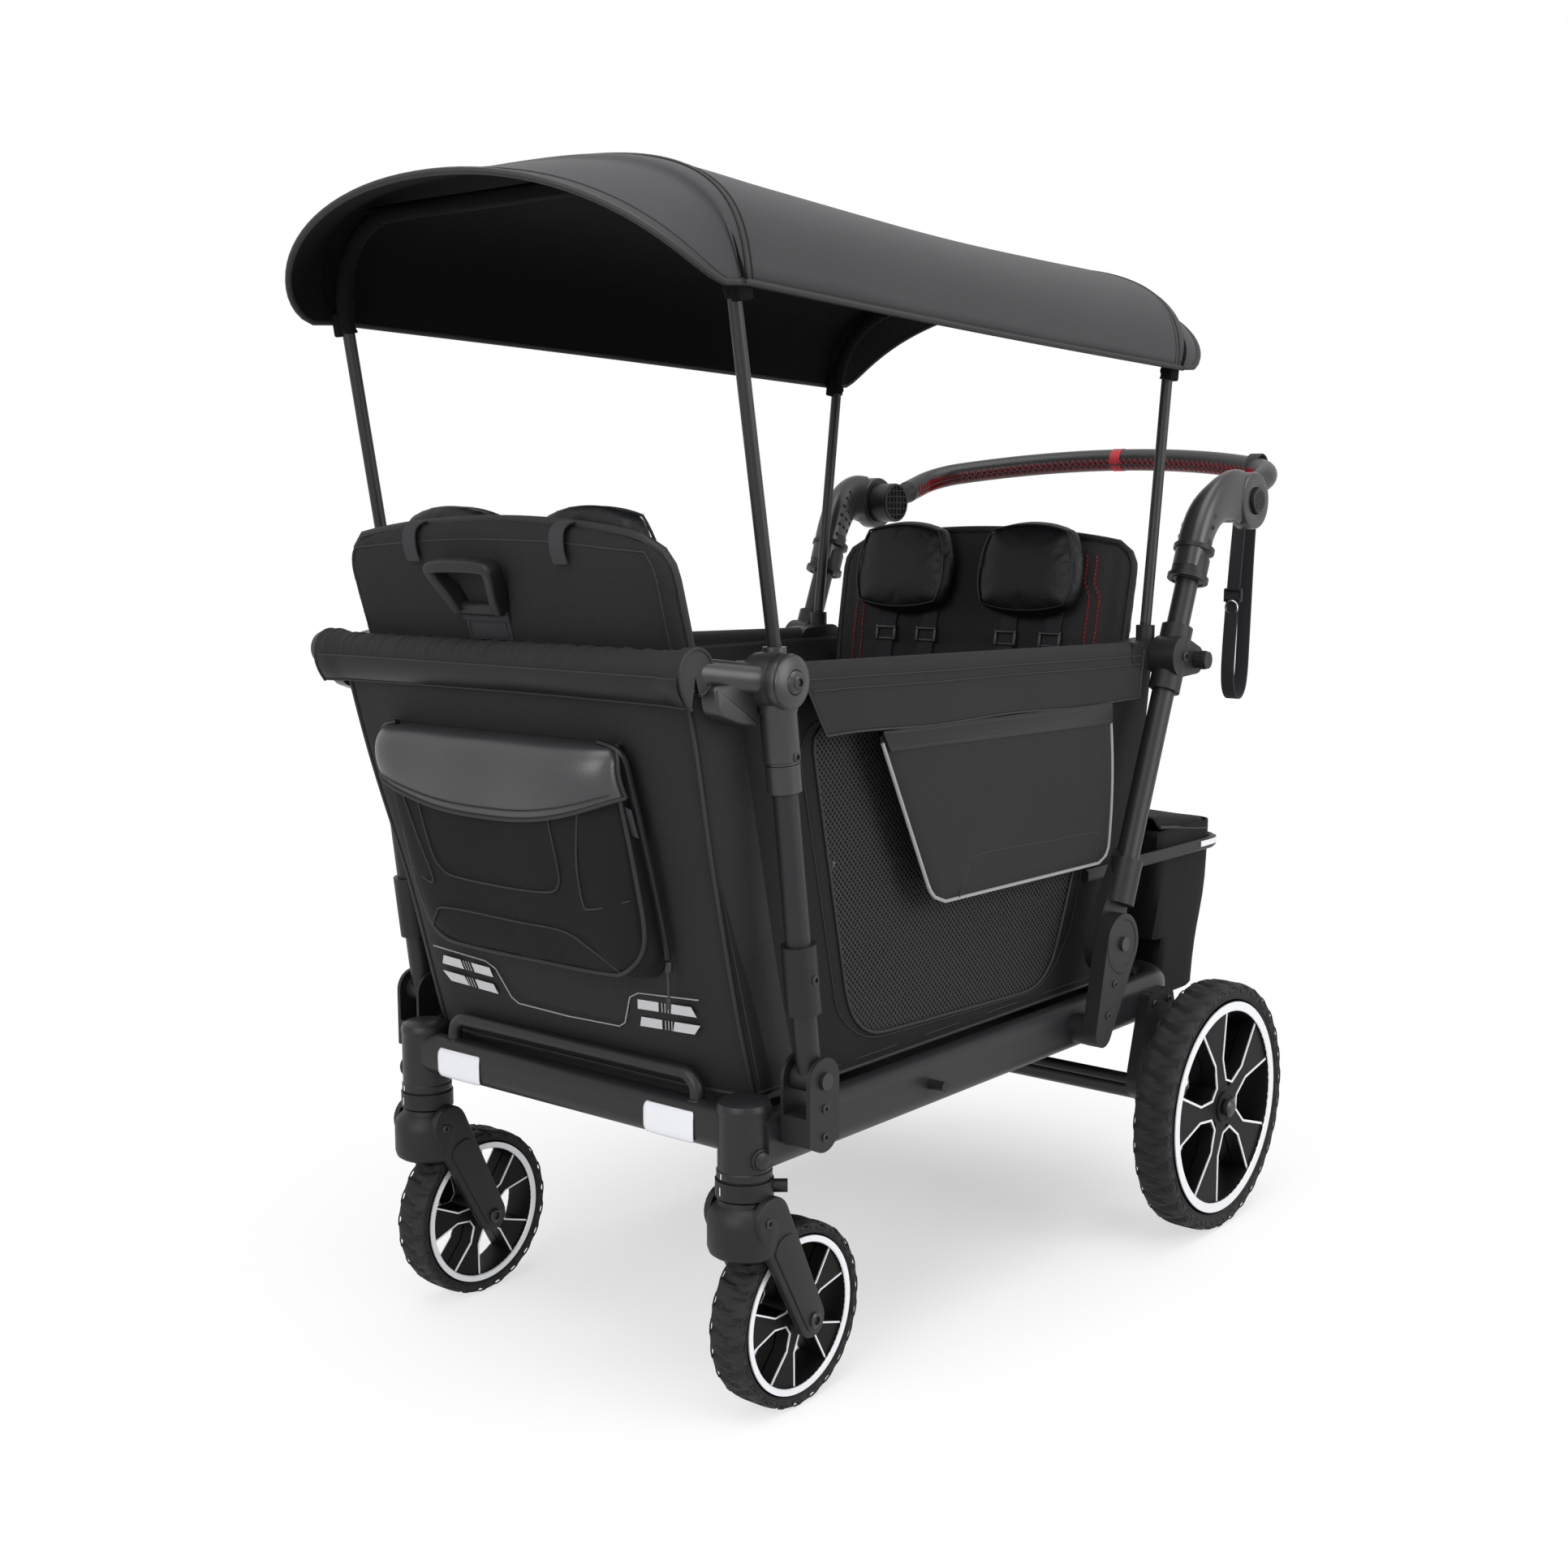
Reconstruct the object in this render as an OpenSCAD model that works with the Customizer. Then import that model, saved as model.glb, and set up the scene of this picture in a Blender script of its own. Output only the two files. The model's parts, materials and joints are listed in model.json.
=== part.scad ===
// Four-seat stroller wagon: wheeled base, fabric tub with two facing seats,
// fold-forward frame, tilting push handle and lift-off canopy.
// Millimetres. +X is the wagon's left side, +Y its rear, +Z up, floor at z = 0.

/* [Wheels] */
// Outer radius of a front tyre
front_tyre_r = 100; // [85:1:110]
// Width of a front tyre
front_tyre_w = 46; // [36:1:52]
// Radius of a front rim, where the tyre sits on it
front_rim_r = 86; // [70:1:88]
// Outer radius of a rear tyre
rear_tyre_r = 165; // [140:1:185]
// Width of a rear tyre
rear_tyre_w = 52; // [40:1:60]
// Radius of a rear rim, where the tyre sits on it
rear_rim_r = 141; // [120:1:150]
// Distance from the middle to the rear wheels' mid plane
rear_wheel_x = 348; // [342:1:380]
// Place of the rear axle along the wagon
rear_axle_y = 325; // [290:1:345]
// Radius of the front axle bolts
front_axle_r = 6; // [4:0.5:8]
// Radius of the rear axle stubs
rear_axle_r = 8; // [6:0.5:10]
// Number of twin spokes in a wheel
spoke_pairs = 5; // [3:1:7]
// Width of one spoke
spoke_w = 9; // [6:0.5:12]

/* [Casters] */
// Distance from the middle to a caster post
caster_x = 247; // [235:1:260]
// Place of the caster posts along the wagon
caster_y = -510; // [-530:1:-500]
// Distance the front axle trails behind its post
caster_trail = 67; // [50:1:80]
// Radius of a caster post
post_r = 28; // [24:0.5:32]
// Height of the post's lower end
post_bottom = 266; // [262:1:280]
// Height of the post's top
post_top = 347; // [335:1:360]
// Radius of the swivel stem
stem_r = 8; // [6:0.5:10]
// Height of the swivel-lock collar
collar_h = 18; // [12:1:22]
// Height of the fork crown
crown_h = 42; // [34:1:44]
// Thickness of a fork leg
leg_t = 8; // [5:0.5:10]
// Width of a fork leg
leg_w = 40; // [28:1:46]

/* [Base] */
// Distance from the middle to a base rail's axis
rail_x = 262; // [256:1:266]
// Width of a base rail's oval section
rail_w = 36; // [30:1:38]
// Height of a base rail's oval section
rail_h = 60; // [50:1:66]
// Height of the base rails' axis
rail_z = 305; // [300:1:312]
// Place where the base rails start to turn in at the rear
rail_rear_y = 300; // [290:1:315]
// Radius of the rear corners of the base
corner_r = 60; // [40:1:80]
// Depth of the front beam's oval section
beam_d = 34; // [28:1:38]
// Height of the front beam's oval section
beam_h = 48; // [40:1:52]
// Height of the front beam's axis
beam_z = 316; // [310:1:320]
// Half width of the grab bar in front
grab_x = 188; // [150:1:200]
// Radius of the grab bar's tube
grab_r = 8; // [6:0.5:9]
// Height of the grab bar's axis above the front beam
grab_rise = 24; // [18:1:32]
// Thickness of the floor board
deck_t = 12; // [8:1:16]
// Radius of an accessory peg on the side rail
peg_r = 6; // [4:0.5:8]
// Length of an accessory peg
peg_l = 20; // [14:1:24]
// Place of the accessory pegs along the wagon
peg_y = -225; // [-300:1:-100]

/* [Fold frame] */
// Distance from the middle to the uprights' axes
upright_x = 299; // [297:0.5:301]
// Radius of the upright tubes
upright_r = 14.5; // [12:0.5:15]
// Front pivot, place along the wagon
front_pivot_y = -468; // [-472:1:-450]
// Front pivot, height
front_pivot_z = 371; // [368:1:380]
// Front corner hub, place along the wagon
hub_y = -522; // [-535:1:-515]
// Front corner hub, height
hub_z = 780; // [770:1:800]
// Radius of a corner hub
hub_r = 27; // [24:0.5:30]
// Rear fold hinge, place along the wagon
hinge_y = 135; // [120:1:150]
// Rear fold hinge, height
hinge_z = 410; // [404:1:416]
// Radius of the rear fold hinge
hinge_r = 38; // [30:0.5:42]
// Backward lean of the rear uprights, in degrees
rear_lean = 22; // [18:0.5:25]
// Height of the rear uprights' top
rear_upright_top = 935; // [900:1:945]
// Radius of the pivot pins
pin_r = 5; // [4:0.5:6]
// Distance from the middle to the top side rails' axes
top_rail_x = 263; // [262:0.5:264]
// Radius of the top side rails
top_rail_r = 12; // [10:0.5:13]
// Place of the rear end of the top side rails
top_rail_rear_y = 245; // [225:1:255]
// Height of the rear end of the top side rails
top_rail_rear_z = 765; // [750:1:775]
// Half length of the front rim rail
rim_half = 262; // [255:1:268]
// Place of the front rim rail along the wagon
rim_y = -616; // [-625:1:-600]
// Height of the front rim rail
rim_z = 793; // [780:1:800]
// Radius of the front rim rail with its padded sleeve
rim_r = 19; // [14:0.5:20]

/* [Handle] */
// Handle pivot, place along the wagon
handle_y = 456; // [440:1:470]
// Handle pivot, height
handle_z = 959; // [950:1:970]
// Radius of the handle hubs
handle_hub_r = 29; // [26:0.5:32]
// Half width between the handle's arms
handle_x = 286; // [280:1:287]
// Reach of the handle from its pivots
handle_reach = 212; // [160:1:230]
// Rise of the handle's plane above level, in degrees
handle_rise = 17.5; // [0:0.5:30]
// Radius of the handle's tube
handle_tube_r = 12; // [10:0.5:13]
// Radius over the handle's wrapped grip
grip_r = 16.5; // [14:0.5:18]
// Radius of the bends at the handle's corners
handle_bend = 65; // [45:1:90]
// Radius of the gentle bow of the handle's middle
handle_bow = 554; // [450:1:700]
// Radius of a handle button
button_r = 17; // [12:0.5:19]
// Travel of a handle button
button_travel = 5; // [3:0.5:6]
// Width of the wrist strap
strap_w = 20; // [15:1:26]

/* [Tub and seats] */
// Half width of the tub between its side walls
tub_x = 243; // [236:0.5:243]
// Thickness of the tub's cloth walls
cloth_t = 4; // [3:0.5:5]
// Height of the tub walls' lower edge
tub_bottom = 338; // [337:1:345]
// Height of the tub walls' upper edge
tub_top = 766; // [740:1:770]
// Seat hinge height
seat_hinge_z = 450; // [440:1:460]
// Front seat hinge, place along the wagon
front_seat_y = -478; // [-482:1:-465]
// Rear seat hinge, place along the wagon
rear_seat_y = 224; // [210:1:228]
// Width of a seat back
seat_w = 468; // [420:1:474]
// Length of a seat back
seat_l = 474; // [430:1:490]
// Thickness of a seat back at its rim
seat_t = 26; // [20:1:32]
// Lean of the front seat back, in degrees
front_seat_lean = 14.8; // [10:0.2:15.5]
// Lean of the rear seat back, in degrees
rear_seat_lean = 8.6; // [5:0.2:9.5]
// Depth of a seat base from its front to the seat back
seat_depth = 215; // [180:1:230]
// Height of the seat bases' top
seat_top = 398; // [385:1:405]
// Width of one headrest
headrest_w = 150; // [120:1:170]
// Height of one headrest
headrest_h = 118; // [90:1:130]
// Thickness of one headrest
headrest_t = 44; // [34:1:50]
// Distance from the middle to a headrest's centre
headrest_x = 98; // [90:1:110]
// Half width of the bag on the front wall
bag_x = 178; // [120:1:200]
// Depth of the bag on the front wall
bag_d = 38; // [25:1:50]
// Half width of the rear storage basket
basket_x = 247; // [200:1:247]
// Depth of the rear storage basket, front to back
basket_d = 170; // [140:1:180]
// Height of the rear storage basket
basket_h = 240; // [200:1:255]

/* [Canopy] */
// Height of the canopy's side hem at the front hoop
hem_front_z = 1155; // [1130:1:1180]
// Height of the canopy's side hem at the rear hoop
hem_rear_z = 1128; // [1110:1:1160]
// Half width of the canopy at its front hoop
canopy_x = 302; // [296:1:312]
// Rise of the canopy's crown above its hem
canopy_rise = 131; // [115:1:150]
// Reach of the front visor ahead of the front hoop
visor_reach = 92; // [60:1:110]
// Drop of the front visor's rim below the line of its arch
visor_drop = 92; // [60:1:110]
// Reach of the rear flap behind the rear hoop
flap_reach = 90; // [40:1:100]
// Drop of the rear flap's rim below the line of its arch
flap_drop = 38; // [20:1:50]
// Half width of the canopy at its rear hoop
canopy_rear_x = 283; // [281:1:300]
// Thickness of the canopy's cloth and lining
canopy_t = 4; // [3:0.5:5]
// Radius of the hoop tubes
hoop_r = 7; // [5:0.5:8]
// Distance from the middle to the front hoop's legs
front_hoop_x = 284; // [282:0.5:286]
// Front hoop's seat, place along the wagon
front_hoop_y = -506; // [-510:1:-500]
// Height at which the front hoop leaves its seat
front_hoop_z = 812; // [808:1:818]
// Distance from the middle to the rear hoop's legs
rear_hoop_x = 268; // [266:0.5:269]
// Rear hoop's seat, place along the wagon
rear_hoop_y = 264; // [255:1:275]
// Height at which the rear hoop leaves its seat
rear_hoop_z = 800; // [795:1:806]
// Forward lean of the front hoop, in degrees
front_hoop_lean = 10; // [5:0.5:14]
// Backward lean of the rear hoop, in degrees
rear_hoop_lean = 7.4; // [4:0.2:10]

/* [Hidden] */
$fn = 64;
// Shared clearances and the overrun of every cut
gap = 0.4;
slip = 0.05;
over = 5;
wall = 6;
base_outer = rail_x + rail_w / 2;
base_inner = rail_x - rail_w / 2;

frame_color = [0.13, 0.13, 0.14];
plastic_color = [0.09, 0.09, 0.1];
cloth_color = [0.06, 0.06, 0.065];
canopy_color = [0.17, 0.17, 0.19];
leather_color = [0.05, 0.05, 0.055];
steel_color = [0.6, 0.6, 0.62];
tyre_color = [0.08, 0.08, 0.085];
rim_color = [0.7, 0.7, 0.72];

// Shared shapes

module both_sides() {
    children();
    mirror([1, 0, 0]) children();
}

// A round rod from point p to point q
module rod(p, q, r) {
    d = q - p;
    translate(p) rotate([0, acos(d.z / norm(d)), atan2(d.y, d.x)]) cylinder(h = norm(d), r = r);
}

// A round rod along X
module cross_rod(x0, x1, y, z, r) {
    translate([x0, y, z]) rotate([0, 90, 0]) cylinder(h = x1 - x0, r = r);
}

// An outline drawn in Y and Z, made a plate from x0 to x1
module side_plate(x0, x1) {
    translate([x0, 0, 0]) rotate([90, 0, 90]) linear_extrude(x1 - x0) children();
}

// A stadium outline, w wide and h high, with round ends on its longer side
module oval(w, h) {
    if (h >= w) {
        square([w, h - w], center = true);
        for (s = [-1, 1]) translate([0, s * (h - w) / 2]) circle(w / 2);
    } else {
        square([w - h, h], center = true);
        for (s = [-1, 1]) translate([s * (w - h) / 2, 0]) circle(h / 2);
    }
}

// A rectangle with round corners
module soft_square(w, h, r) {
    square([w - 2 * r, h], center = true);
    square([w, h - 2 * r], center = true);
    for (i = [-1, 1], j = [-1, 1]) translate([i * (w / 2 - r), j * (h / 2 - r)]) circle(r);
}

// A tapered link from p to q with round ends of radius a and b
module link(p, q, a, b) {
    d = q - p;
    turn = atan2(d.y, d.x);
    open = acos((a - b) / norm(d));
    translate(p) circle(a);
    translate(q) circle(b);
    polygon([for (e = [[p, a, 1], [q, b, 1], [q, b, -1], [p, a, -1]])
        e[0] + e[1] * [cos(turn + e[2] * open), sin(turn + e[2] * open)]]);
}

// Triangles of a closed shell whose two grids of nu by nv cells share a rim, the rear grid first
function shell_faces(nu, nv) = let (row = nu + 1, back = row * (nv + 1)) concat(
    [for (j = [0:nv - 1], i = [0:nu - 1]) let (a = j * row + i, b = a + row) each [
        [b + 1, a + 1, a], [b, b + 1, a], [back + a + 1, back + b + 1, back + a],
        [back + b + 1, back + b, back + a]]],
    [for (i = [0:nu - 1]) let (k = nv * row + i) each [
        [back + i + 1, back + i, i], [i + 1, back + i + 1, i],
        [back + k, back + k + 1, k], [back + k + 1, k + 1, k]]],
    [for (j = [0:nv - 1]) let (a = j * row, b = a + row) each [
        [back + a, back + b, a], [back + b, b, a],
        [back + b + nu, back + a + nu, a + nu], [b + nu, back + b + nu, a + nu]]]);

// Shares that shape every cushion: how far its sides draw in, and how its top corners round off
drawn_in_share = 0.02;
channel_share = 0.16;
edge_share = 0.5;
square_share = 0.001;

// Height of a cushion's face at (u, v), both from -1 to 1, as a share of its crown
function crown_share(u, v, channels) = let (
    dome = sqrt(max(0, 1 - pow(abs(u), 4)) * max(0, 1 - pow(abs(v), 4))),
    groove = channels == 0 ? 0 : channel_share * pow(abs(cos(90 * channels * (v + 1))), 12)
) dome * (1 - groove);

// Half width of a cushion at v, as a share of its half width
function side_share(v, round_share) = let (t = max(0, (v - 1 + round_share) / round_share))
    (1 - drawn_in_share * (1 - v * v)) * (1 - 0.32 * pow(t, 2.6));

// A cushion on the XZ plane, w wide, standing from z = 0 to z = l, its face towards +Y
module cushion(w, l, t, crown, channels, round_share, nu, nv) {
    front = [for (j = [0:nv], i = [0:nu]) let (u = 2 * i / nu - 1, v = 2 * j / nv - 1)
        [u * w / 2 * side_share(v, round_share), t * edge_share + crown * crown_share(u, v, channels),
            (v + 1) / 2 * l]];
    rear = [for (j = [0:nv], i = [0:nu]) let (u = 2 * i / nu - 1, v = 2 * j / nv - 1)
        [u * w / 2 * side_share(v, round_share), -t * edge_share * crown_share(u, v, 0),
            (v + 1) / 2 * l]];
    polyhedron(concat(rear, front), shell_faces(nu, nv));
}

// Wheels

module wheel_rim(rim_r_out, width, hub_radius, bore) {
    ring_t = spoke_w;
    rotate([0, 90, 0]) difference() {
        union() {
            translate([0, 0, -width / 2]) difference() {
                cylinder(h = width, r = rim_r_out);
                translate([0, 0, -over]) cylinder(h = width + 2 * over, r = rim_r_out - ring_t);
            }
            translate([0, 0, -width / 2]) cylinder(h = width, r = hub_radius);
            translate([0, 0, -width / 4]) linear_extrude(width / 2)
                for (i = [0:spoke_pairs - 1], s = [-1, 1]) rotate(360 / spoke_pairs * i)
                    link([hub_radius - spoke_w, s * spoke_w * 0.7], [rim_r_out - ring_t, s * rim_r_out * 0.22],
                        spoke_w / 2, spoke_w / 2 * 0.8);
        }
        translate([0, 0, -width / 2 - over]) cylinder(h = width + 2 * over, r = bore);
    }
}

module tyre(outer, inner, width) {
    t = outer - inner;
    round_r = t * 0.45;
    rotate([0, 90, 0]) rotate_extrude() translate([inner + t / 2, 0]) soft_square(t, width, round_r);
}

rim_inset = 3;
front_hub_r = 22;
rear_hub_r = 28;
front_axle_y = caster_y + caster_trail;

module front_wheel_at(side) {
    translate([side * caster_x, front_axle_y, front_tyre_r]) children();
}

module rear_wheel_at(side) {
    translate([side * rear_wheel_x, rear_axle_y, rear_tyre_r]) children();
}

module front_rim(side) {
    color(rim_color) front_wheel_at(side)
        wheel_rim(front_rim_r, front_tyre_w - 2 * rim_inset, front_hub_r, front_axle_r + slip);
}

module front_tyre(side) {
    color(tyre_color) front_wheel_at(side) tyre(front_tyre_r, front_rim_r, front_tyre_w);
}

module rear_rim(side) {
    color(rim_color) rear_wheel_at(side)
        wheel_rim(rear_rim_r, rear_tyre_w - 2 * rim_inset, rear_hub_r, rear_axle_r + slip);
}

module rear_tyre(side) {
    color(tyre_color) rear_wheel_at(side) tyre(rear_tyre_r, rear_rim_r, rear_tyre_w);
}

// Casters

collar_top = post_bottom - gap;
collar_bottom = collar_top - collar_h;
crown_top = collar_bottom - gap;
crown_bottom = crown_top - crown_h;
crown_r = post_r + 4;
collar_r = post_r + 2.5;
stem_top = post_top - 3 * wall;
leg_x = front_tyre_w / 2 + wall;
bolt_head_r = 9;
bolt_head_t = 4;
lock_knob_r = 7;
lock_knob_l = 14;

module caster_fork(side) {
    color(plastic_color) translate([side * caster_x, caster_y, 0]) difference() {
        union() {
            translate([0, 0, crown_bottom]) cylinder(h = crown_h, r = crown_r);
            translate([0, 0, crown_bottom]) cylinder(h = stem_top - crown_bottom, r = stem_r);
            for (s = [-1, 1]) side_plate(s * leg_x + (s - 1) / 2 * leg_t, s * leg_x + (s + 1) / 2 * leg_t)
                link([0, crown_bottom + crown_h / 2], [caster_trail, front_tyre_r], leg_w * 0.62, leg_w / 2);
            for (s = [-1, 1]) side_plate(s * leg_x + (s - 1) / 2 * leg_t, s * leg_x + (s + 1) / 2 * leg_t)
                translate([0, crown_bottom + crown_h / 2]) square([2 * crown_r * 0.7, crown_h], center = true);
            cross_rod(-leg_x - leg_t - bolt_head_t, leg_x + leg_t + bolt_head_t, caster_trail, front_tyre_r,
                front_axle_r);
            for (s = [-1, 1]) cross_rod(s * (leg_x + leg_t) + (s - 1) / 2 * bolt_head_t,
                s * (leg_x + leg_t) + (s + 1) / 2 * bolt_head_t, caster_trail, front_tyre_r, bolt_head_r);
        }
        translate([0, 0, crown_top]) difference() {
            cylinder(h = collar_h + gap, r = 2 * crown_r);
            translate([0, 0, -over]) cylinder(h = collar_h + 2 * over, r = stem_r);
        }
    }
}

module caster_lock(side) {
    color(plastic_color) translate([side * caster_x, caster_y, collar_bottom]) difference() {
        union() {
            cylinder(h = collar_h, r = collar_r);
            translate([0, 0, collar_h / 2]) rotate([0, 90, 40 * side + 90 * (1 - side)])
                cylinder(h = collar_r + lock_knob_l, r = lock_knob_r);
        }
        translate([0, 0, -over]) cylinder(h = collar_h + 2 * over, r = stem_r + gap);
    }
}

module caster_posts() {
    color(frame_color) both_sides() translate([caster_x, caster_y, 0]) difference() {
        union() {
            translate([0, 0, post_bottom]) cylinder(h = post_top - wall - post_bottom, r = post_r);
            translate([0, 0, post_top - wall]) cylinder(h = wall, r1 = post_r, r2 = post_r - wall);
        }
        translate([0, 0, post_bottom - over]) cylinder(h = stem_top + gap + over - post_bottom, r = stem_r + slip);
    }
}

// Base frame

beam_y = caster_y - wall;

module rail_section() {
    rotate(90) oval(rail_h, rail_w);
}

module base_rails() {
    color(frame_color) both_sides() difference() {
        translate([rail_x, caster_y, rail_z]) rotate([-90, 0, 0])
            linear_extrude(rail_rear_y - caster_y) oval(rail_w, rail_h);
        translate([caster_x, caster_y, 0]) cylinder(h = post_top, r = post_r + slip);
    }
}

module front_crossbeam() {
    color(frame_color) difference() {
        translate([-caster_x, beam_y, beam_z]) rotate([90, 0, 90])
            linear_extrude(2 * caster_x) oval(beam_d, beam_h);
        both_sides() translate([caster_x, caster_y, 0]) cylinder(h = post_top, r = post_r + slip);
    }
}

module rear_crossbeam() {
    color(frame_color) {
        both_sides() translate([rail_x - corner_r, rail_rear_y, rail_z])
            rotate_extrude(angle = 90) translate([corner_r, 0]) oval(rail_w, rail_h);
        translate([corner_r - rail_x, rail_rear_y + corner_r, rail_z]) rotate([90, 0, 90])
            linear_extrude(2 * (rail_x - corner_r)) oval(rail_w, rail_h);
    }
}

module grab_bar() {
    bend = 2.5 * grab_r;
    top = beam_z + beam_h / 2 + grab_rise;
    foot = beam_z + beam_h / 4;
    color(frame_color) difference() {
        union() {
            cross_rod(bend - grab_x, grab_x - bend, beam_y, top, grab_r);
            both_sides() {
                translate([grab_x - bend, beam_y, top - bend]) rotate([90, 0, 0])
                    rotate_extrude(angle = 90) translate([bend, 0]) circle(grab_r);
                translate([grab_x, beam_y, foot]) cylinder(h = top - bend - foot, r = grab_r);
            }
        }
        translate([-caster_x, beam_y, beam_z]) rotate([90, 0, 90])
            linear_extrude(2 * caster_x) oval(beam_d + slip, beam_h + slip);
    }
}

deck_top = rail_z + deck_t;

module floor_deck() {
    front = caster_y + post_r + gap;
    rear = rail_rear_y + corner_r - rail_w / 2 - gap;
    color(plastic_color) translate([0, (front + rear) / 2, rail_z]) linear_extrude(deck_t)
        soft_square(2 * (base_inner - gap), rear - front, corner_r - rail_w / 2);
}

module side_pegs() {
    color(plastic_color) both_sides() cross_rod(base_outer, base_outer + peg_l, peg_y, rail_z, peg_r);
}

// Rear axle, its brackets and the foot brake

bracket_t = 16;
bracket_outer = base_outer + bracket_t;
bracket_front_y = rear_axle_y - 63;
brake_y = rear_axle_y - 85;
brake_z = rear_tyre_r + 40;
brake_r = 7;
pedal_l = 160;
pedal_w = 90;
axle_tube_r = 14;
bracket_low_r = 34;

module axle_brackets() {
    color(frame_color) both_sides() difference() {
        side_plate(base_outer, bracket_outer) {
            link([rear_axle_y, rear_tyre_r], [bracket_front_y, rail_z], bracket_low_r, rail_h / 4);
            link([rear_axle_y, rear_tyre_r], [rail_rear_y, rail_z], bracket_low_r, rail_h / 4);
            link([bracket_front_y, rail_z], [rail_rear_y, rail_z], rail_h / 4, rail_h / 4);
            link([rear_axle_y, rear_tyre_r], [brake_y, brake_z], bracket_low_r, 3 * brake_r);
            link([brake_y, brake_z], [bracket_front_y, rail_z], 3 * brake_r, rail_h / 4);
        }
        cross_rod(base_outer - over, bracket_outer + over, rear_axle_y, rear_tyre_r, rear_axle_r);
        cross_rod(base_outer - over, bracket_outer + over, brake_y, brake_z, brake_r + slip);
    }
}

module rear_axle() {
    end = rear_wheel_x + rear_tyre_w / 2;
    color(steel_color) {
        cross_rod(-base_outer, base_outer, rear_axle_y, rear_tyre_r, axle_tube_r);
        cross_rod(-end, end, rear_axle_y, rear_tyre_r, rear_axle_r);
        both_sides() cross_rod(bracket_outer, rear_wheel_x - rear_tyre_w / 2 + rim_inset - gap, rear_axle_y,
            rear_tyre_r, axle_tube_r);
    }
}

module brake_pedal() {
    color(plastic_color) {
        cross_rod(-bracket_outer, bracket_outer, brake_y, brake_z, brake_r);
        translate([0, brake_y + pedal_l / 2, brake_z - brake_r / 2])
            linear_extrude(brake_r) soft_square(pedal_w, pedal_l, 3 * brake_r);
    }
}

// Fold pivots

cheek_t = 5;
front_lean = atan2(front_pivot_y - hub_y, hub_z - front_pivot_z);
cheek_in = upright_x - upright_r - gap;
cheek_out = upright_x + upright_r + gap;
pivot_half = 24;
upright_axis = [0, sin(rear_lean), cos(rear_lean)];
front_axis = [0, -sin(front_lean), cos(front_lean)];
front_pivot = [upright_x, front_pivot_y, front_pivot_z];
hub = [upright_x, hub_y, hub_z];
hinge = [upright_x, hinge_y, hinge_z];

// A point on a rear upright's axis at height z
function rear_at(z) = hinge + upright_axis * (z - hinge_z) / cos(rear_lean);

module pivot_brackets() {
    foot = rail_z + rail_h / 4;
    color(plastic_color) both_sides() difference() {
        union() {
            side_plate(base_outer, cheek_in)
                link([front_pivot_y, front_pivot_z], [front_pivot_y, foot], pivot_half, pivot_half);
            side_plate(cheek_out, cheek_out + cheek_t)
                link([front_pivot_y, front_pivot_z], [front_pivot_y, foot], pivot_half, pivot_half);
            side_plate(base_outer, cheek_out + cheek_t)
                translate([front_pivot_y, foot]) square([2 * pivot_half, rail_h / 2], center = true);
        }
        cross_rod(base_outer - over, cheek_out + 2 * cheek_t, front_pivot_y, front_pivot_z, pin_r);
    }
}

lobe_x = upright_x + gap / 2;

// The hinge plate's narrow foot as a share of the rail's height
hinge_foot_share = 0.32;

module hinge_bases() {
    low = rear_at(rail_z);
    foot_r = rail_h * hinge_foot_share;
    color(plastic_color) both_sides() difference() {
        union() {
            side_plate(lobe_x, cheek_out + cheek_t)
                link([low.y, low.z], [hinge_y, hinge_z], foot_r, hinge_r);
            side_plate(base_outer, cheek_out + cheek_t)
                translate([low.y, low.z]) circle(foot_r - gap);
        }
        cross_rod(base_outer - over, cheek_out + 2 * cheek_t, hinge_y, hinge_z, pin_r);
    }
}

module hinge_knuckles() {
    neck = rear_at(hinge_z + 2.6 * hinge_r);
    color(plastic_color) both_sides() difference() {
        union() {
            side_plate(cheek_in, upright_x - gap / 2) circle_at([hinge_y, hinge_z], hinge_r);
            side_plate(cheek_in, upright_x - gap / 2)
                link([hinge_y, hinge_z], [neck.y, neck.z], hinge_r, upright_r);
            intersection() {
                rod(rear_at(hinge_z + 1.2 * hinge_r), neck, upright_r + wall);
                translate([cheek_in, hinge_y - over, hinge_z]) cube([4 * upright_r, 4 * hinge_r, 4 * hinge_r]);
            }
        }
        cross_rod(cheek_in - over, upright_x + over, hinge_y, hinge_z, pin_r + slip);
        rod(rear_at(hinge_z + 1.6 * hinge_r), rear_at(rear_upright_top), upright_r);
        cross_rod(upright_x - gap / 2, upright_x + 2 * upright_r, hinge_y, hinge_z, hinge_r + gap);
    }
}

module circle_at(p, r) {
    translate(p) circle(r);
}

module pivot_pins() {
    head = cheek_out + cheek_t;
    color(steel_color) both_sides() {
        cross_rod(base_outer, head + bolt_head_t, front_pivot_y, front_pivot_z, pin_r);
        cross_rod(head, head + bolt_head_t, front_pivot_y, front_pivot_z, bolt_head_r);
        cross_rod(cheek_in, head + bolt_head_t, hinge_y, hinge_z, pin_r);
        cross_rod(head, head + bolt_head_t, hinge_y, hinge_z, bolt_head_r);
    }
}

// Handle frame

module rear_uprights() {
    color(frame_color) both_sides() rod(rear_at(hinge_z + 1.6 * hinge_r), rear_at(rear_upright_top), upright_r);
}

clamp_z = top_rail_rear_z - 4;
clamp_half = 26;
knob_r = 11;
knob_l = 16;
knob_stem_r = 5;
knob_travel = 8;
knob_y = rear_at(clamp_z).y + upright_r + 3 * wall;
clamp_outer = cheek_out + cheek_t;

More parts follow.
